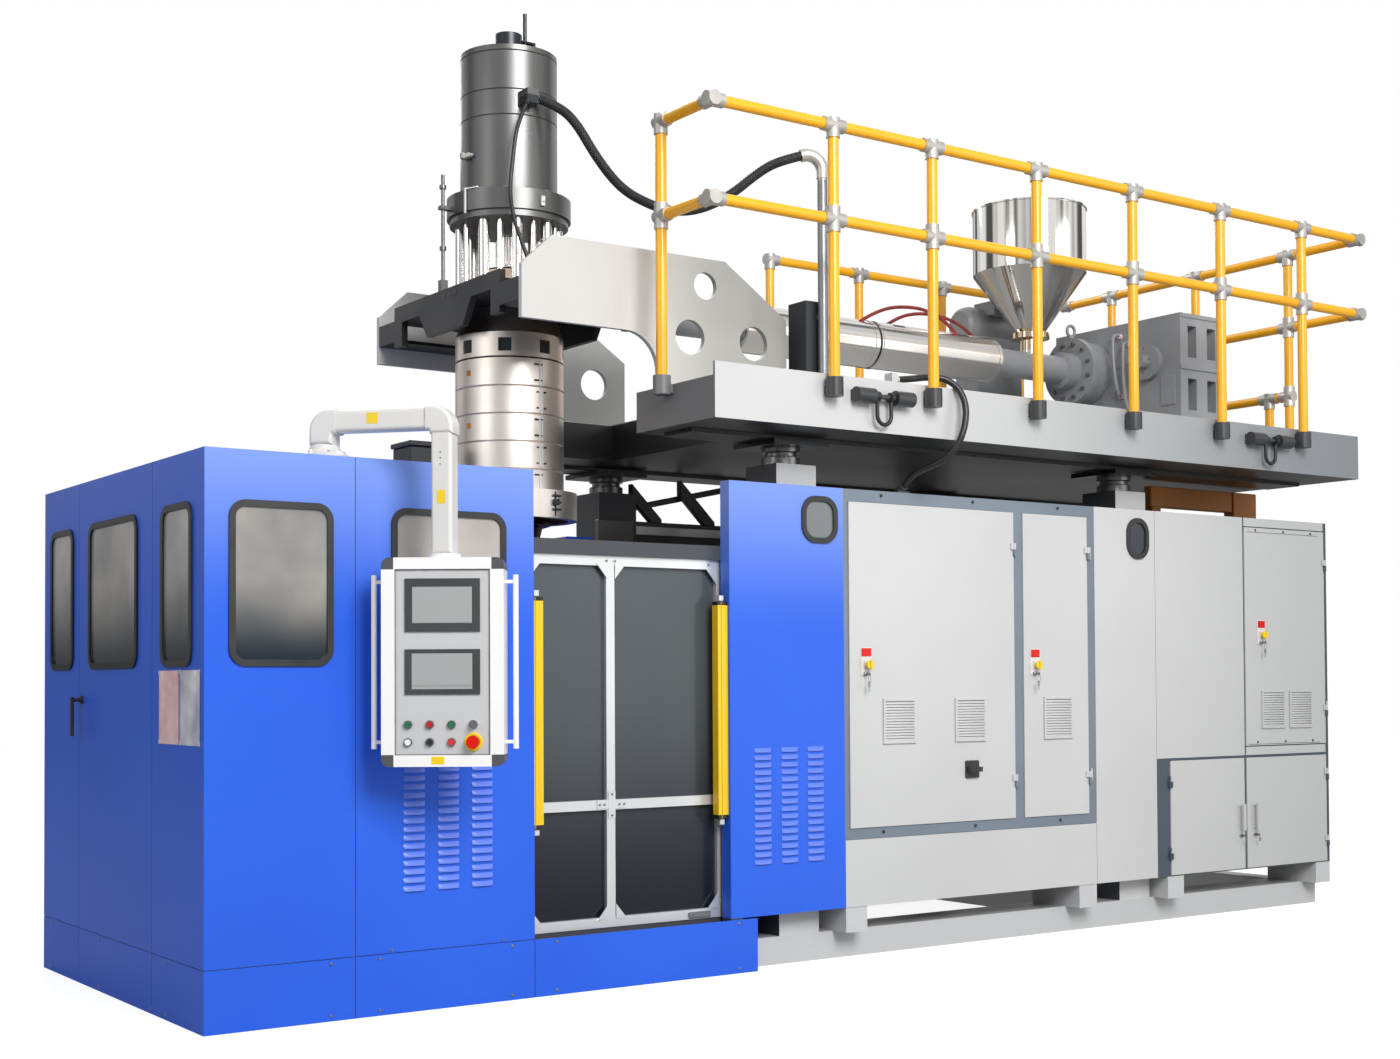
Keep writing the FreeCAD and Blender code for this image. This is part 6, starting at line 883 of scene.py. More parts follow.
# Painted shade: dark strips for the shadow in the gap over the kick plates.
build("shadow_gap_strips", "machine", black_plastic, [
    bar((-1.7545, -0.9718, 0.212), (-0.445, -0.9700, 0.2252), 0.0003),
    bar((-1.7568, -0.9718, 0.212), (-1.7550, 0.955, 0.2252), 0.0003)])
build("frame_bolts", "machine", black_plastic, [
    bolt((x, FRONT, z), "Y", 0.0075, -0.002) for x in (1.342, 1.900, 2.456) for z in (0.551, 2.046)])

# %% [markdown]
# ## Films on the corner
# A copper-coloured and a silver film are clipped on the left side, near the corner. A flat
# sheet would mirror the studio like a plate. Two crossing sine waves ripple each sheet by
# about two millimetres and die out at its edges, where eight small clips hold them.

# %% Crinkle the films
FILM_LOW, FILM_HIGH = 1.003, 1.270
CLIP = 0.008


def film(y0, y1):
    """A crinkled sheet: x = left - a (1 + ripple) that lies flat at its edges."""
    u, v = np.meshgrid(np.linspace(0, 1, 18), np.linspace(0, 1, 28), indexing="ij")
    ripple = np.sin(9 * u + 4 * np.sin(5 * v)) * np.sin(17 * v + 3 * u)
    edge = np.clip(12 * np.minimum.reduce([u, 1 - u, v, 1 - v]), 0, 1)
    x = LEFT - 0.0012 - 0.0022 * edge * (1 + ripple) / 2
    return grid(np.stack([x, y0 + (y1 - y0) * u, FILM_LOW + (FILM_HIGH - FILM_LOW) * v], axis=-1))


build("left_film", "machine", copper, [film(-0.722, -0.512)])
build("right_film", "machine", silver, [film(-0.937, -0.732)])
build("film_clips", "machine", aluminium, [
    bar((LEFT - 0.0035, y - CLIP, z - CLIP), (LEFT, y + CLIP, z + CLIP))
    for y in (-0.930, -0.739, -0.715, -0.519) for z in (1.010, 1.263)])

# %% [markdown]
# ## Filter vents
# Each vent in a cabinet door is a plastic grille: a narrow frame with fourteen slats that
# slope down to the outside, over a darker plate. A striped texture would have no shadows, so
# every slat is a thin block, sheared by lowering its points the further out they are.

# %% Shape the vents
VENT_WIDTH, VENT_HEIGHT, VENT_RIM = 0.192, 0.200, 0.011
VENT_FACE = -0.983


def vent(x, z):
    """Frame and slats of a vent. A slat's point at depth y is raised by 0.9 (y - face)."""
    front, right = VENT_FACE - 0.004, x + VENT_WIDTH
    parts = [bar((x, front, z), (right, VENT_FACE, z + VENT_RIM)),
             bar((x, front, z + VENT_HEIGHT - VENT_RIM), (right, VENT_FACE, z + VENT_HEIGHT)),
             bar((x, front, z + 0.010), (x + VENT_RIM, VENT_FACE, z + 0.190)),
             bar((right - VENT_RIM, front, z + 0.010), (right, VENT_FACE, z + 0.190))]
    for row in range(14):
        low = z + 0.0135 + row * 0.0126
        points, faces = bar((x + 0.010, VENT_FACE - 0.0035, low),
                            (x + 0.182, VENT_FACE - 0.0008, low + 0.0085))
        lift = (points[:, 1:2] - VENT_FACE) * 0.9
        parts.append((points + lift * np.array([0, 0, 1]), faces))
    return parts


DOOR_VENTS = {"large_door": VENTS_A[:2], "small_door": VENTS_A[2:], "upper_door": VENTS_B}
print("a vent has", len(vent(*VENTS_A[0])), "parts, on doors:", ", ".join(DOOR_VENTS))

# %% [markdown]
# ## Locks and keys
# Each of these doors has a yellow knob on a white plate, a red plate above the knob, and a key
# with a second one hanging from its ring. The plates could be zones of colour, but they stand
# a little off the door and throw a fine shadow, so they are thin blocks. One loop then fits
# each door with its vents, its plates, its keys and its grip.

# %% Fit the doors
CABINET_FACE, PLATE_FACE, KNOB_END = -0.978, -0.981, -1.0035


def key(x, z):
    """A key in its lock, with a second one hanging from its ring, a circle drawn out upright."""
    y = PLATE_FACE
    angle = np.linspace(0, 2 * np.pi, 20)
    ring = np.stack([x - 0.012 + 0 * angle, y - 0.033 + 0.008 * np.sin(angle),
                     z - 0.062 + 0.017 * np.cos(angle)], axis=-1)
    return [revolved([(0, 0), (0.009, 0), (0.009, -0.012), (0.006, -0.014), (0, -0.014)],
                     (x - 0.012, y, z - 0.040), "Y", 20),
            bar((x - 0.0132, y - 0.040, z - 0.046), (x - 0.0108, y - 0.012, z - 0.034), 0.0005),
            bar((x - 0.021, y - 0.034, z - 0.098), (x - 0.008, y - 0.032, z - 0.074), 0.0005),
            bar((x - 0.0165, y - 0.034, z - 0.118), (x - 0.0125, y - 0.032, z - 0.096), 0.0005),
            pipe(ring, 0.0009, 6)]


def knob_grip(x, z):
    """The knob's round cap and the grip across it."""
    cap = revolved([(0, 0), (0.0205, 0), (0.0190, -0.006), (0, -0.007)], (x, KNOB_END, z), "Y", 24)
    return [cap, bar((x - 0.005, -1.017, z - 0.020), (x + 0.005, KNOB_END, z + 0.020), 0.0015)]


for (body, vents), (x, z) in zip(DOOR_VENTS.items(), LOCKS):
    build(body + "_vents", body, light_grey, [part for spot in vents for part in vent(*spot)])
    build(body + "_lock_plate", body, white, [
        bar((x - 0.036, PLATE_FACE, z - 0.048), (x + 0.030, CABINET_FACE, z + 0.078))])
    build(body + "_red_plate", body, red_plastic, [
        bar((x - 0.031, -0.9835, z + 0.038), (x + 0.025, PLATE_FACE, z + 0.074), 0.0008)])
    build(body + "_keys", body, machined, key(x, z))
    build(body + "_knob_grip", body, yellow_plastic, knob_grip(x, z))

# %% [markdown]
# ## Main switch's frame
# The main switch turns in a square black frame. Cutting a round hole with a boolean leaves a
# ragged mesh. A ring of points that is a circle inside and a square outside needs no cut,
# because both are the same function of the angle round the switch.

# %% Frame the main switch
SWITCH = (1.873, 0.812)


def square_ring(centre, side, bore, y0, y1, count=64):
    """A square plate with a round bore: round t, the bore's radius inside, and outside
    side / 2 divided by the larger of |cos t| and |sin t|."""
    angle = np.linspace(0, 2 * np.pi, count, endpoint=False) + np.pi / count
    way = np.stack([np.cos(angle), np.sin(angle)], axis=-1)
    inner = way * bore
    outer = way * (side / 2 / np.abs(way).max(axis=1, keepdims=True))
    rings = [(inner, y1), (inner, y0), (outer * 0.985, y0), (outer, y0 + 0.0015), (outer, y1)]
    sheet = np.stack([np.stack([centre[0] + flat[:, 0], np.full(count, y), centre[1] + flat[:, 1]],
                               axis=-1) for flat, y in rings])
    return grid(sheet, close_u=True, close_v=True)


build("switch_housing", "large_door", black_plastic, [
    square_ring(SWITCH, 0.080, 0.0368, -0.9885, CABINET_FACE)])

# %% [markdown]
# ## Strips, lower locks and hinges
# On the second cabinet the upper door carries two bright strips and six dark bolts, and each
# lower door a lock with its key. A strip three millimetres wide could be painted on, but a
# thin block keeps an edge that catches light. Beside each hinge of both cabinets lies a leaf.

# %% Fit the strips, locks and leaves
LOW_LOCK = 0.408
build("upper_door_strips", "upper_door", machined, [
    bar((3.850, CABINET_FACE - 0.0015, z), (4.440, CABINET_FACE, z + 0.003), 0.0004)
    for z in (0.877, 1.9915)])
build("upper_door_bolts", "upper_door", black_plastic, [
    bolt((x, CABINET_FACE, z), "Y", 0.0065, -0.002) for x in (3.925, 4.155, 4.385)
    for z in (0.889, 2.003)])
for body, x in (("lower_left_door", 3.778), ("lower_right_door", 3.891)):
    build(body + "_lock", body, machined, [
        revolved([(0, 0), (0.009, 0), (0.008, -0.012), (0, -0.012)], (x, CABINET_FACE, LOW_LOCK), "Y", 20),
        bar((x - 0.0012, CABINET_FACE - 0.034, 0.402), (x + 0.0012, CABINET_FACE - 0.011, 0.414), 0.0005),
        bar((x - 0.006, CABINET_FACE - 0.034, 0.376), (x + 0.006, CABINET_FACE - 0.032, 0.398), 0.0005)])
build("hinge_leaves", "machine", light_grey, [
    bar((x + 0.006, -0.9785, z), (x + 0.018, -0.9752, z + 0.060), 0.0008)
    for x, z in ((2.659, 0.730), (2.659, 1.805), (4.503, 1.040), (4.503, 1.805))])

# %% [markdown]
# ## Rings of the console
# The emergency stop and the selector stand in collars, and each push button in a bright ring.
# On a turned face it is easiest to build a part straight and then turn it, so two helpers
# take positions across the face, out of it and up, and turn the finished points.

# %% Turn the console's rings


def turned_about(part, centre, angle):
    """A part given as (across, -out, up) about a centre, turned by -angle about the upright."""
    points, faces = part
    cosine, sine = math.cos(angle), math.sin(angle)
    turn = np.array([[cosine, sine, 0], [-sine, cosine, 0], [0, 0, 1]])
    return points @ turn.T + np.array(centre, float), faces


def on_console(low, high, chamfer=0.001):
    """A block in the console's frame, from (across, out, up) corners."""
    (a0, o0, u0), (a1, o1, u1) = low, high
    part = bar((a0, -o1, u0), (a1, -o0, u1), chamfer)
    return turned_about(part, (CONSOLE_X, CONSOLE_Y, CONSOLE_TOP), CONSOLE_TURN)


def console_disc(across, height, profile):
    """A round piece on the console's face: profile of (radius, distance out)."""
    part = revolved([(r, -h) for r, h in profile], (across, 0, height), "Y", 40)
    return turned_about(part, (CONSOLE_X, CONSOLE_Y, CONSOLE_TOP), CONSOLE_TURN)


build("stop_collar", "console", yellow_plastic, [
    console_disc(0.110, BUTTON_ROWS[1], [(0.0238, 0.0601), (0.0335, 0.0601), (0.0330, 0.0645),
                                         (0.031, 0.0660), (0.0238, 0.0660)])])
build("selector_collar", "console", aluminium, [
    console_disc(0.110, BUTTON_ROWS[0], [(0.0158, 0.0602), (0.018, 0.0602), (0.0175, 0.064),
                                         (0.0158, 0.064)])])
build("button_rings", "console", machined, [
    console_disc(button_x(column), height, [(0.0115, 0.0682), (0.0143, 0.0682), (0.0138, 0.0705),
                                            (0.0115, 0.0705)])
    for column in range(3) for height in BUTTON_ROWS])

# %% [markdown]
# ## Lines of the console
# A dark gasket runs round the face, a bright line crosses each screen and a small yellow
# sticker sits near the lower edge. A line could be painted with a mask, but the exported
# colours are too coarse for a millimetre. Thin blocks stay sharp at any distance.

# %% Draw the console's lines
GASKET = 0.002
build("console_sticker", "console", yellow_plastic, [
    on_console((-0.040, 0.0661, -0.742), (0.006, 0.0667, -0.715), 0.0002)])
build("console_gasket", "console", black_plastic, [
    on_console((a0, 0.0602, u0), (a1, 0.0666, u1), 0.0003) for a0, a1, u0, u1 in (
        (-0.171, -0.171 + GASKET, -0.709, -0.042), (0.171 - GASKET, 0.171, -0.709, -0.042),
        (-0.171, 0.171, -0.042 - GASKET, -0.042), (-0.171, 0.171, -0.709, -0.709 + GASKET))])
build("screen_lines", "console", machined, [
    on_console((-0.109, 0.0661, low + 0.030), (0.107, 0.0664, low + 0.0315), 0.0001)
    for low in (-0.267, -0.492)])

# %% [markdown]
# ## Console's arm
# The arm that carries the console has two yellow stickers and three plugs. An empty could
# hold their direction, but then each would need its own placement. They are built along the
# arm and turned with it, and ride on its body. The bolts round its foot stay on the machine.

# %% Fit the arm
ARM_X, ARM_Y = -1.270, -0.882
ARM_TURN = math.atan2(0.343, 0.315)
FOOT_RING = 0.072


def on_arm(low, high, chamfer):
    """A block in the arm's frame: along it, to its left, and up."""
    return turned_about(bar(low, high, chamfer), (ARM_X, ARM_Y, 0), ARM_TURN)


build("arm_stickers", "arm", yellow_plastic, [
    on_arm((0.180, -0.0408, 2.166), (0.224, -0.0401, 2.206), 0.0002),
    on_arm((0.452, -0.0408, 1.868), (0.482, -0.0401, 1.916), 0.0002)])
build("arm_plugs", "arm", machined, [
    on_arm((0.4615, -0.0412, z), (0.4665, -0.0401, z + 0.005), 0.0008) for z in (2.052, 2.030, 2.008)])
build("arm_foot_bolts", "machine", machined, [
    bolt((ARM_X + FOOT_RING * math.cos(a), ARM_Y + FOOT_RING * math.sin(a), 2.066), "Z", 0.006, 0.004)
    for a in np.arange(6) * math.pi / 3 + 0.3])

# %% [markdown]
# ## Strips and latches of the head
# The heater cover is closed by a bright strip down its front, with toggle latches across it in
# each of its five bands. A block could be turned into place with a modifier, but wide ones
# have to follow the cover's curve, so `curved` bends a block's points round the head's axis.

# %% Close the heater cover
COVER_R, SKIRT_R = 0.2405, 0.3002
COVER_TOP, BAND = 2.637, 0.121
STRIP_AT, SKIRT_AT = 4.5, 12.0


def curved(low, high, radius, theta, chamfer=0.001):
    """A block bent round the head: x goes along the arc from the angle theta, y inwards from
    the radius and z up, so that the point is at theta + x / radius and radius - y."""
    points, faces = bar(low, high, chamfer)
    angle = math.radians(theta) + points[:, 0] / radius
    reach = radius - points[:, 1]
    return np.stack([reach * np.sin(angle), -reach * np.cos(angle), points[:, 2]], axis=-1), faces


strips, latches = [], []
for band in range(5):
    low = COVER_TOP - BAND * (band + 1)
    for left, right, out in ((-0.007, 0.002, 0.0035), (0.011, 0.0145, 0.0025)):
        strips.append(curved((left, -out, low + 0.005), (right, 0, low + 0.116), COVER_R, STRIP_AT))
    first = ((-0.030, -0.009), (0.018, 0.030))[band % 2]
    last = ((0.004, 0.010), (-0.020, -0.009))[band % 2]
    for z in (low + 0.026, low + 0.096):
        latches += [
            curved((first[0], -0.007, z - 0.0035), (first[1], 0, z + 0.0035), COVER_R, STRIP_AT),
            curved((last[0], -0.006, z - 0.003), (last[1], 0, z + 0.003), COVER_R, STRIP_AT)]
for z in (1.975, 2.005, 2.035):
    latches += [curved((-0.016, -0.009, z - 0.005), (0.010, 0, z + 0.005), SKIRT_R, SKIRT_AT),
                curved((0.014, -0.012, z - 0.004), (0.026, 0, z + 0.004), SKIRT_R, SKIRT_AT)]
latches += [curved((-0.003, -0.004, 1.946), (0.003, 0, 2.052), SKIRT_R, SKIRT_AT),
            curved((-0.012, -0.024, 1.992), (0.006, -0.004, 2.020), SKIRT_R, SKIRT_AT, 0.003)]
build("cover_strips", "platform", aluminium, strips)
build("cover_latches", "platform", black_plastic, latches)

# %% [markdown]
# ## Openings and plates of the head
# Eight openings ring the cover's top, two small orange plates sit on its side, and three
# slots mark the carrier's beam. Holes could be cut, but the solids are fixed, so a dark sheet
# set just over the surface stands for the shade inside each opening and slot, as painted shade.

# %% Mark the openings
OPENING_R = 0.226
openings = []
for index in range(8):
    angle = math.radians(45 * index + 11)
    u, v = np.meshgrid(np.linspace(-0.029, 0.029, 5), np.linspace(2.665, 2.723, 3), indexing="ij")
    openings.append(grid(np.stack([OPENING_R * math.cos(angle) - u * math.sin(angle),
                                   OPENING_R * math.sin(angle) + u * math.cos(angle), v], axis=-1)))
# Painted shade: dark sheets for the shade inside the openings and slots.
build("ring_opening_shade", "platform", rubber, openings)
build("cover_plates", "platform", orange, [
    curved((-0.013, -0.0012, z - 0.012), (0.013, 0, z + 0.012), COVER_R, -77, 0.0004)
    for z in (2.577, 2.345)])
build("beam_slot_shade", "platform", black_plastic, [
    bar((-0.3262, y0, 2.905), (-0.3251, y1, 2.925), 0.0004)
    for y0, y1 in ((-0.014, 0.022), (-0.064, -0.032), (-0.113, -0.079))])

# %% [markdown]
# ## Flange and cylinder of the head
# Sixteen bolts hold the flange, which also carries a clip and a small bracket, and a valve
# sits on the cylinder above. Copies round a circle could be an array modifier on an empty.
# One loop over the angles is shorter and leaves nothing to apply.

# %% Bolt the flange
FLANGE_R, CYLINDER_R, BOLT_RING = 0.2775, 0.2172, 0.252
CLIP_AT, VALVE_AT, BRACKET_AT = 2.0, -84, -62
build("flange_bolts", "platform", machined, [
    bolt((BOLT_RING * math.cos(a), BOLT_RING * math.sin(a), 3.374), "Z", 0.010, 0.009)
    for a in (np.arange(16) + 0.5) * math.pi / 8])
build("flange_clip", "platform", aluminium, [
    curved((-0.010, -0.012, 3.300), (0.010, 0, 3.345), FLANGE_R, CLIP_AT, 0.002),
    curved((-0.004, -0.020, 3.318), (0.004, -0.012, 3.326), FLANGE_R, CLIP_AT)])
build("cylinder_valve", "platform", fitting_metal, [
    curved((-0.030, -0.024, 3.532), (0.030, 0, 3.552), CYLINDER_R, VALVE_AT, 0.003),
    curved((-0.010, -0.040, 3.528), (0.008, -0.020, 3.556), CYLINDER_R, VALVE_AT, 0.003),
    curved((0.028, -0.018, 3.536), (0.042, -0.006, 3.548), CYLINDER_R, VALVE_AT, 0.002)])
build("flange_bracket", "platform", aluminium, [
    curved((-0.050, -0.006, 3.375), (0.020, 0.03, 3.381), FLANGE_R, BRACKET_AT),
    curved((-0.050, -0.010, 3.270), (-0.040, -0.002, 3.381), FLANGE_R, BRACKET_AT)])

# %% [markdown]
# ## Bands of the barrel's cover
# The cover over the barrel is rolled from two sheets, with a raised band at each sheet's ends
# and a black seam between them. A bump map would not change the outline, and here the bands
# show against the background, so each is a thin ring turned about the screw's axis.

# %% Band the barrel's cover
AXIS_Z = 2.948
COVER_SKIN, SLOT_R = 0.1202, 0.1212


def cover_band(x, half, outer):
    """A ring of square section, half wide to each side of x, out to a radius."""
    section = [(COVER_SKIN, x - half), (outer, x - half), (outer, x + half), (COVER_SKIN, x + half)]
    return revolved(section, (0, 0, AXIS_Z), "X", 64)


def slot_shade_sheet(x):
    """A dark sheet on the cover, painted shade in a slot: across x by u, and round the axis by -28 degrees
    + v.
    """
    u, v = np.meshgrid(np.linspace(-0.04, 0.04, 9), np.linspace(-0.11, 0.11, 5), indexing="ij")
    angle = math.radians(-28) + v
    return grid(np.stack([x + u, SLOT_R * np.sin(angle), AXIS_Z + SLOT_R * np.cos(angle)], axis=-1))


build("cover_seam", "platform", black_plastic, [cover_band(2.0935, 0.0035, 0.1222)])
build("cover_bands", "platform", barrel_steel, [
    cover_band(x, 0.009, 0.1226) for x in (1.258, 2.068, 2.119, 2.932)])
# Painted shade: two dark sheets for the shade in two slots of the cover.
build("barrel_slot_shade", "platform", rubber, [slot_shade_sheet(x) for x in (2.262, 2.708)])

# %% [markdown]
# ## Bolts and ribs of the gearbox
# The cast gearbox has bolts round its flanges, an eye bolt for lifting, raised pads and short
# ribs. A hexagon could be its own mesh, but the round head with only six points round it is
# already one, and the eye is a pipe along a circle, so no new kind of shape is needed.

# %% Bolt the gearbox
RIB_X = 3.728
gear_bolts = [bolt((3.570, 0.152 * math.cos(a), AXIS_Z + 0.152 * math.sin(a)), "X", 0.012, -0.014, 6)
              for a in np.arange(12) * math.pi / 6 + 0.26]
gear_bolts += [bolt((3.645, -0.440 + 0.075 * math.cos(a), AXIS_Z + 0.075 * math.sin(a)), "X", 0.007,
                    -0.006) for a in np.arange(6) * math.pi / 3]
gear_bolts += [bolt((4.049, y, 2.9112), "Z", 0.010, 0.012, 6) for y in np.arange(-0.6, 0.3, 0.15)]
build("gear_bolts", "platform", machined, gear_bolts)
angle = np.linspace(0, 2 * np.pi, 33)
eye = np.stack([3.590 + 0.030 * np.cos(angle), 0 * angle, 3.176 + 0.030 * np.sin(angle)], axis=-1)
eye_foot = revolved([(0, 0), (0.02, 0), (0.02, 0.008), (0.012, 0.014), (0, 0.014)], (3.590, 0, 3.133),
                    "Z", 24)
build("eye_bolt", "platform", gear_paint, [pipe(eye, 0.0085, 12), eye_foot])
pads = [bar((3.745, -0.661, z), (4.033, -0.655, z + height), 0.003)
        for z, height in ((2.556, 0.022), (3.166, 0.020))]
ribs = [bar((RIB_X, y, low), (RIB_X + 0.005, y + 0.10, high), 0.002) for y, low, high in (
    (-0.62, 2.70, 2.86), (-0.20, 2.70, 2.86), (0.08, 2.70, 2.86), (-0.25, 2.95, 3.12), (0.08, 2.95, 3.12))]
build("gear_pads", "platform", gear_paint, pads + ribs)

# %% [markdown]
# ## Oil pipes
# Two oil pipes bow out of the gearbox's left side, with a copper-coloured nut at each end.
# Drawn as straight runs with elbows they would need joints. A smooth curve through a few
# measured points is closer to a bent pipe, and a ring of points follows it.

# %% Run the oil pipes


def smooth_path(points, count=24):
    """The Catmull-Rom curve: between two points, the cubic whose slope at each is half the
    step from the point before to the point after."""
    points = np.array(points, float)
    ends = np.concatenate([[2 * points[0] - points[1]], points, [2 * points[-1] - points[-2]]])
    spot = np.linspace(0, len(points) - 1 - 1e-9, count)
    i, t = spot.astype(int), (spot % 1)[:, None]
    a, b, c, d = ends[i], ends[i + 1], ends[i + 2], ends[i + 3]
    return 0.5 * (2 * b + (c - a) * t + (2 * a - 5 * b + 4 * c - d) * t ** 2
                  + (3 * b - a - 3 * c + d) * t ** 3)


routes = [[(3.732, -0.300, 3.070), (3.700, -0.300, 3.075), (3.682, -0.300, 3.050), (3.680, -0.300, 2.93),
           (3.690, -0.300, 2.80), (3.712, -0.300, 2.72), (3.732, -0.300, 2.70)],
          [(3.732, -0.240, 3.120), (3.690, -0.240, 3.125), (3.668, -0.240, 3.095), (3.664, -0.245, 3.00),
           (3.672, -0.250, 2.88), (3.700, -0.250, 2.80), (3.732, -0.250, 2.78)]]
build("oil_pipes", "platform", gear_paint, [pipe(smooth_path(route), 0.010, 12) for route in routes])
build("pipe_nuts", "platform", copper, [
    revolved([(0, -0.010), (0.015, -0.010), (0.015, 0.010), (0, 0.010)], (3.722, y, z), "X", 6)
    for y, z in ((-0.300, 3.0715), (-0.300, 2.706), (-0.240, 3.1215), (-0.250, 2.786))])

# %% [markdown]
# ## Corner plates of the sliding door
# The sliding door is a frame of aluminium profiles, stiffened by triangular plates in its
# corners and a cross plate on the middle stile. A triangle could be cut from a block, but it
# is the simplest plate there is: six points, two triangles and three sides.

# %% Plate the door's corners
SLIDE_FACE, CROSS_FACE, STILE = -0.895, -0.8951, -0.0355


def gusset(x, z, across, up, depth=0.004):
    """A triangle (x, z), (x + across, z), (x, z + up) on the door's face, drawn out by depth."""
    flat = np.array([[x, z], [x + across, z], [x, z + up]])
    outer = np.concatenate([np.full((3, 1), SLIDE_FACE - depth), flat], axis=1)[:, [1, 0, 2]]
    inner = outer + np.array([0, depth, 0])
    return np.concatenate([outer, inner]), [np.array([[0, 1, 2], [3, 4, 5]]),
                                            np.array([[0, 1, 4, 3], [1, 2, 5, 4], [2, 0, 3, 5]])]


plates = [gusset(STILE + side * 0.019, z, side * 0.050, up)
          for z, up in ((1.700, -0.060), (0.264, 0.060)) for side in (-1, 1)]
plates += [gusset(x, z, across, up) for x, across in ((0.492, -0.055), (-0.422, 0.055))
           for z, up in ((1.694, -0.065), (0.270, 0.065))]
plates += [bar((STILE - 0.070, -0.8985, 0.709), (STILE + 0.070, CROSS_FACE, 0.743)),
           bar((STILE - 0.017, -0.8992, 0.670), (STILE + 0.017, CROSS_FACE, 0.780))]
build("door_gussets", "sliding_door", aluminium, plates)

# %% [markdown]
# ## Bolts and latch of the sliding door
# Small steel bolts hold the cross plate and the profiles, and a latch sits on the lower rail.
# They could share a mesh with the plates, but those are aluminium. Bolts and latch ride on
# the door and slide with it, and the light curtains' four mounts stay on the machine.

# %% Bolt the door
door_bolts = [bolt((STILE + x, -0.8985, 0.726), "Y", 0.005, -0.004)
              for x in (-0.058, -0.036, 0.036, 0.058)]
door_bolts += [bolt((STILE, -0.8992, z), "Y", 0.005, -0.004) for z in (0.682, 0.768)]
door_bolts += [bolt((x, SLIDE_FACE, z), "Y", 0.005, -0.006) for x in (0.510, -0.440)
               for z in (0.30, 0.726, 1.66)]
door_bolts += [bolt((x, SLIDE_FACE, 1.712), "Y", 0.005, -0.006)
               for x in (STILE - 0.02, STILE + 0.02, 0.45)]
latch = [bar((0.340, -0.903, 0.236), (0.450, -0.8945, 0.262), 0.003),
         bar((0.360, -0.9055, 0.242), (0.425, -0.9025, 0.256))]
build("door_bolts", "sliding_door", machined, door_bolts + latch)
build("curtain_mounts", "machine", aluminium, [
    bar((x - 0.012, -0.952, z), (x + 0.012, -0.930, z + 0.024), 0.002)
    for x in (-0.415, 0.477) for z in (0.622, 1.558)])

# %% [markdown]
# ## Struts under the platform
# Between the two rear jacks a dark beam with slanted struts shows under the platform. A strut
# could be a rotated block, but its ends would then be cut askew. Raising the points of a
# straight block in step with x slants it and leaves its ends upright.

# %% Brace the rear
TIE_ENDS = (1.0502, 2.9698)


def slanted(start, stop, y, width, height):
    """A flat bar in an upright plane, from one (x, z) to another, cut upright at its ends:
    a point at x is raised by z0 + (z1 - z0) (x - x0) / (x1 - x0)."""
    (x0, z0), (x1, z1) = start, stop
    points, faces = bar((x0, y, 0), (x1, y + width, height), 0.002)
    rise = z0 + (z1 - z0) * (points[:, :1] - x0) / (x1 - x0)
    return points + rise * np.array([0, 0, 1]), faces


build("rear_truss", "machine", dark_paint, [
    bar((TIE_ENDS[0], 0.600, 1.885), (TIE_ENDS[1], 0.700, 2.036), 0.003),
    bar((TIE_ENDS[0], 0.592, 1.958), (TIE_ENDS[1], 0.600, 1.966)),
    slanted((1.046, 2.150), (1.226, 1.975), 0.604, 0.040, 0.078),
    slanted((1.345, 2.185), (1.560, 1.975), 0.604, 0.040, 0.078),
    slanted((1.0502, 2.086), (1.640, 2.212), 0.644, 0.030, 0.032)])

# %% [markdown]
# ## Blocks on the roof and the supports
# A few boxes finish what shows between the covers and the platform: a box on the roof, a
# bright face on the rear beam, a bracket on the rear jack, a block on the right platen, an
# orange support and two latches. One plain block each would do, but a body with a lid or a
# foot looks finished.

# %% Add the blocks
build("roof_box", "machine", dark_paint, [
    bar((-0.520, -0.060, 2.0495), (-0.400, 0.110, 2.240), 0.006),
    bar((-0.528, -0.068, 2.2395), (-0.392, 0.118, 2.262), 0.004)])
build("rear_tie_face", "machine", machined, [
    bar((TIE_ENDS[0], 0.594, 1.969), (TIE_ENDS[1], 0.6002, 2.012))])
build("jack_bracket", "machine", jack_face, [
    bar((0.803, 0.540, 1.878), (1.012, 0.5752, 2.030), 0.003),
    bar((0.812, 0.537, 1.887), (1.003, 0.5402, 2.021))])
build("platen_block", "right_platen", blue_door, [
    bar((0.436, 0.250, 1.7195), (0.620, 0.400, 1.890), 0.006),
    bar((0.452, 0.262, 1.8895), (0.604, 0.388, 1.912), 0.004)])
build("rear_support", "machine", orange, [
    bar((4.300, -0.540, 2.0655), (4.498, -0.470, 2.262), 0.004),
    bar((3.630, -0.530, 2.150), (4.302, -0.480, 2.262), 0.004),
    bar((3.630, -0.540, 2.0655), (3.700, -0.470, 2.152), 0.004),
    bar((4.285, -0.560, 2.0655), (4.512, -0.450, 2.078), 0.002)])
build("cabinet_latches", "machine", black_plastic, [
    bar((4.5262, -0.965, z), (4.5362, -0.935, z + 0.085), 0.003) for z in (0.560, 1.815)])

# %% [markdown]
# ## Floor
# The machine stands on a plain pale floor in front of a white background. A floor lit until
# it looks white would also light the covers from below. This one glows only for the camera's
# own rays: it looks almost white, while the machine sees an ordinary matt floor.

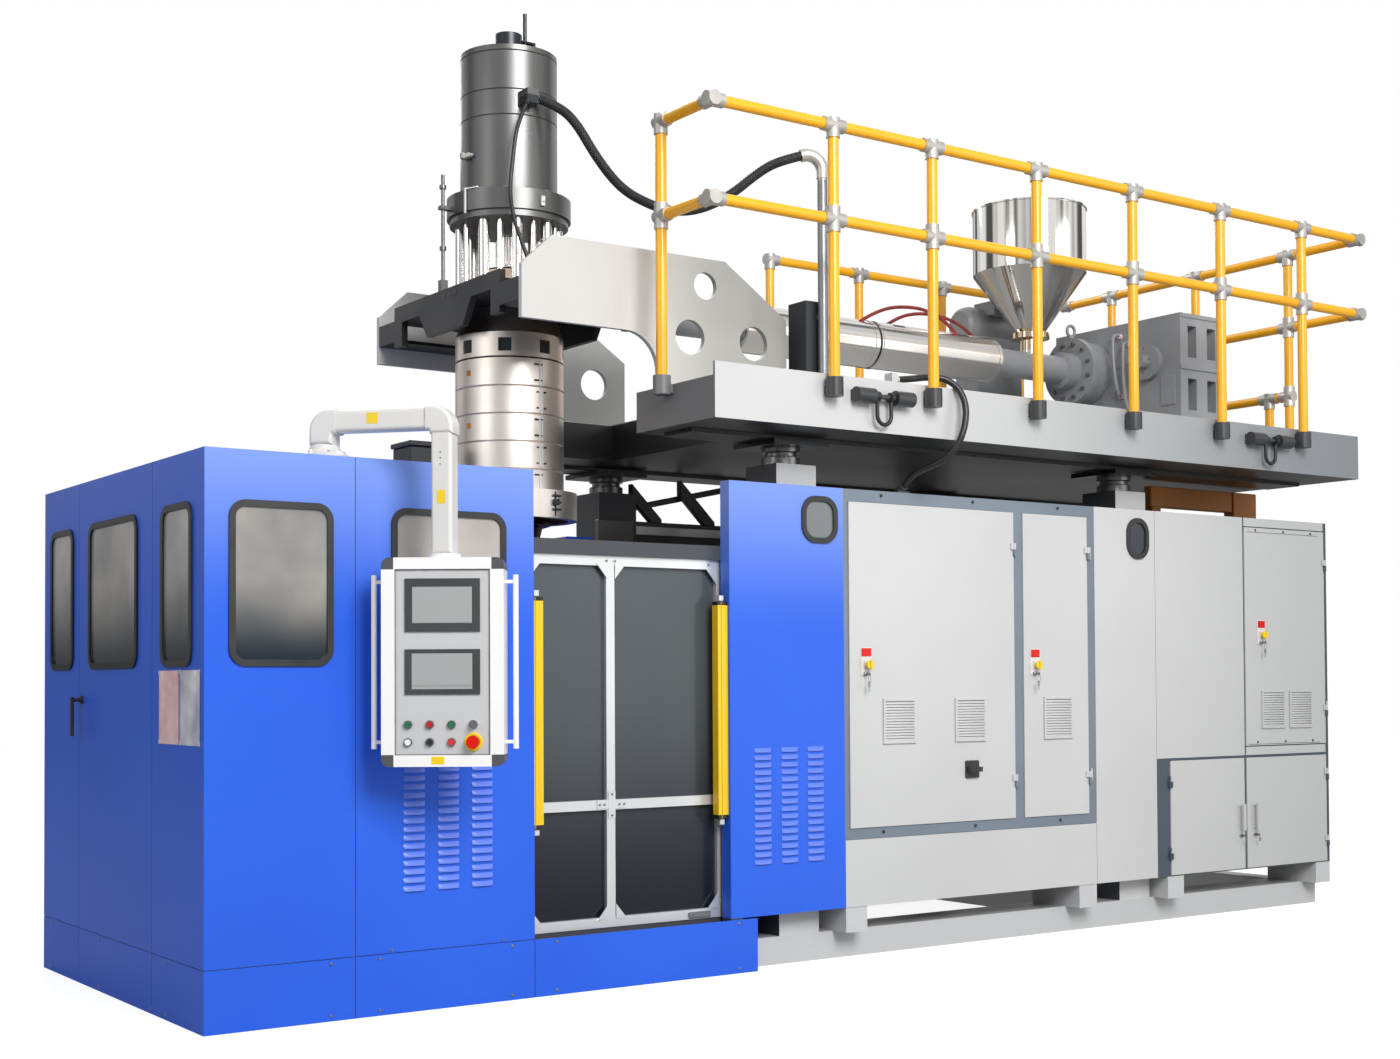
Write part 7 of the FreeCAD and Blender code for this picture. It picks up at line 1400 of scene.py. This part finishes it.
# %% Lay the floor
FLOOR_GLOW = 0.78
floor_look = finish("studio_floor", (0.40, 0.40, 0.40), (0.39, 0.39, 0.39), 0.75, 0.05, 0.4, 0.0, 50,
                    Emission_Color=(1, 1, 1, 1), Specular_IOR_Level=0.1)
tree = floor_look.node_tree
seen_directly = node(tree, "ShaderNodeLightPath").outputs["Is Camera Ray"]
tree.links.new(calculate(tree, "MULTIPLY", seen_directly, FLOOR_GLOW),
               tree.nodes["Principled BSDF"].inputs["Emission Strength"])
x, y = np.meshgrid(np.linspace(-30, 34, 9), np.linspace(-22, 30, 9), indexing="ij")
spots, (tiles,) = grid(np.stack([x, y, np.zeros_like(x)], axis=-1))
floor_mesh = bpy.data.meshes.new("floor")
floor_mesh.from_pydata(spots.tolist(), [], tiles.tolist())
floor = add_object("floor", floor_mesh, floor_look)
print("floor tiles:", len(tiles))

# %% [markdown]
# ## Sky
# Polished steel shows what stands round it, so an even sky leaves it flat. A photographed sky
# could be used, but the script reads no picture. Noise round the horizon makes bright and
# dark upright panels, which only mirror rays see. The camera sees plain white, and all other
# rays an even grey that grows lighter upwards.

# %% Make the sky
DUSK, WHITE = (0.10, 0.105, 0.11, 1), (1.0, 1.0, 1.0, 1)
LOW_LIGHT, HIGH_LIGHT = (0.16, 0.16, 0.165, 1), (0.50, 0.50, 0.505, 1)
world = bpy.data.worlds.new("studio")
bpy.context.scene.world = world
world.use_nodes = True
sky = world.node_tree
ways = node(sky, "ShaderNodeTexCoord").outputs["Generated"]
east, north, rise = node(sky, "ShaderNodeSeparateXYZ", {0: ways}).outputs
bearing = calculate(sky, "ARCTAN2", north, east)
panels = node(sky, "ShaderNodeTexNoise", {"W": bearing}, noise_dimensions="1D", Scale=2.3, Detail=1.0)
ramp = node(sky, "ShaderNodeValToRGB", {0: panels.outputs["Fac"]})
for stop, position, colour in zip(ramp.color_ramp.elements, (0.40, 0.54), (DUSK, WHITE)):
    stop.position = position
    stop.color = colour
height = node(sky, "ShaderNodeMapRange", {"Value": rise, "From Min": -0.02, "From Max": 0.22},
              interpolation_type="SMOOTHSTEP").outputs["Result"]
rays = node(sky, "ShaderNodeLightPath").outputs
mirrored = blend(sky, height, DUSK, ramp.outputs[0])
ambient = blend(sky, height, LOW_LIGHT, HIGH_LIGHT)
unseen = blend(sky, rays["Is Glossy Ray"], ambient, mirrored)
sky.links.new(blend(sky, rays["Is Camera Ray"], unseen, WHITE), sky.nodes["Background"].inputs["Color"])
print("sky nodes:", len(sky.nodes))

# %% [markdown]
# ## Lights
# Four soft square lights stand round the machine: a strong one in front and above, a weak one
# from the right, a weaker one from the left, and one behind that edges the head. Small lights
# would throw hard shadows of the rail on the covers.

# %% Set the lights


def soft_light(name, place, target, size, power):
    """A square area light that looks at a point."""
    data = bpy.data.lights.new(name, "AREA")
    data.size = size
    data.energy = power
    light = bpy.data.objects.new(name, data)
    light.location = place
    light.rotation_euler = (Vector(target) - Vector(place)).to_track_quat("-Z", "Y").to_euler()
    bpy.context.scene.collection.objects.link(light)
    print("%s light: %d W" % (name, power))


soft_light("key", (-0.6, -9.0, 6.5), (0.8, 0, 1.6), 4.5, 860)
soft_light("fill", (7.5, -9.0, 3.0), (2.4, 0, 1.6), 6.0, 160)
soft_light("side", (-9.0, -1.5, 4.5), (-1.0, 0, 1.6), 4.0, 100)
soft_light("rim", (2.0, 7.0, 8.0), (1.0, 0, 2.6), 5.0, 300)
bpy.context.scene.view_settings.view_transform = "Standard"
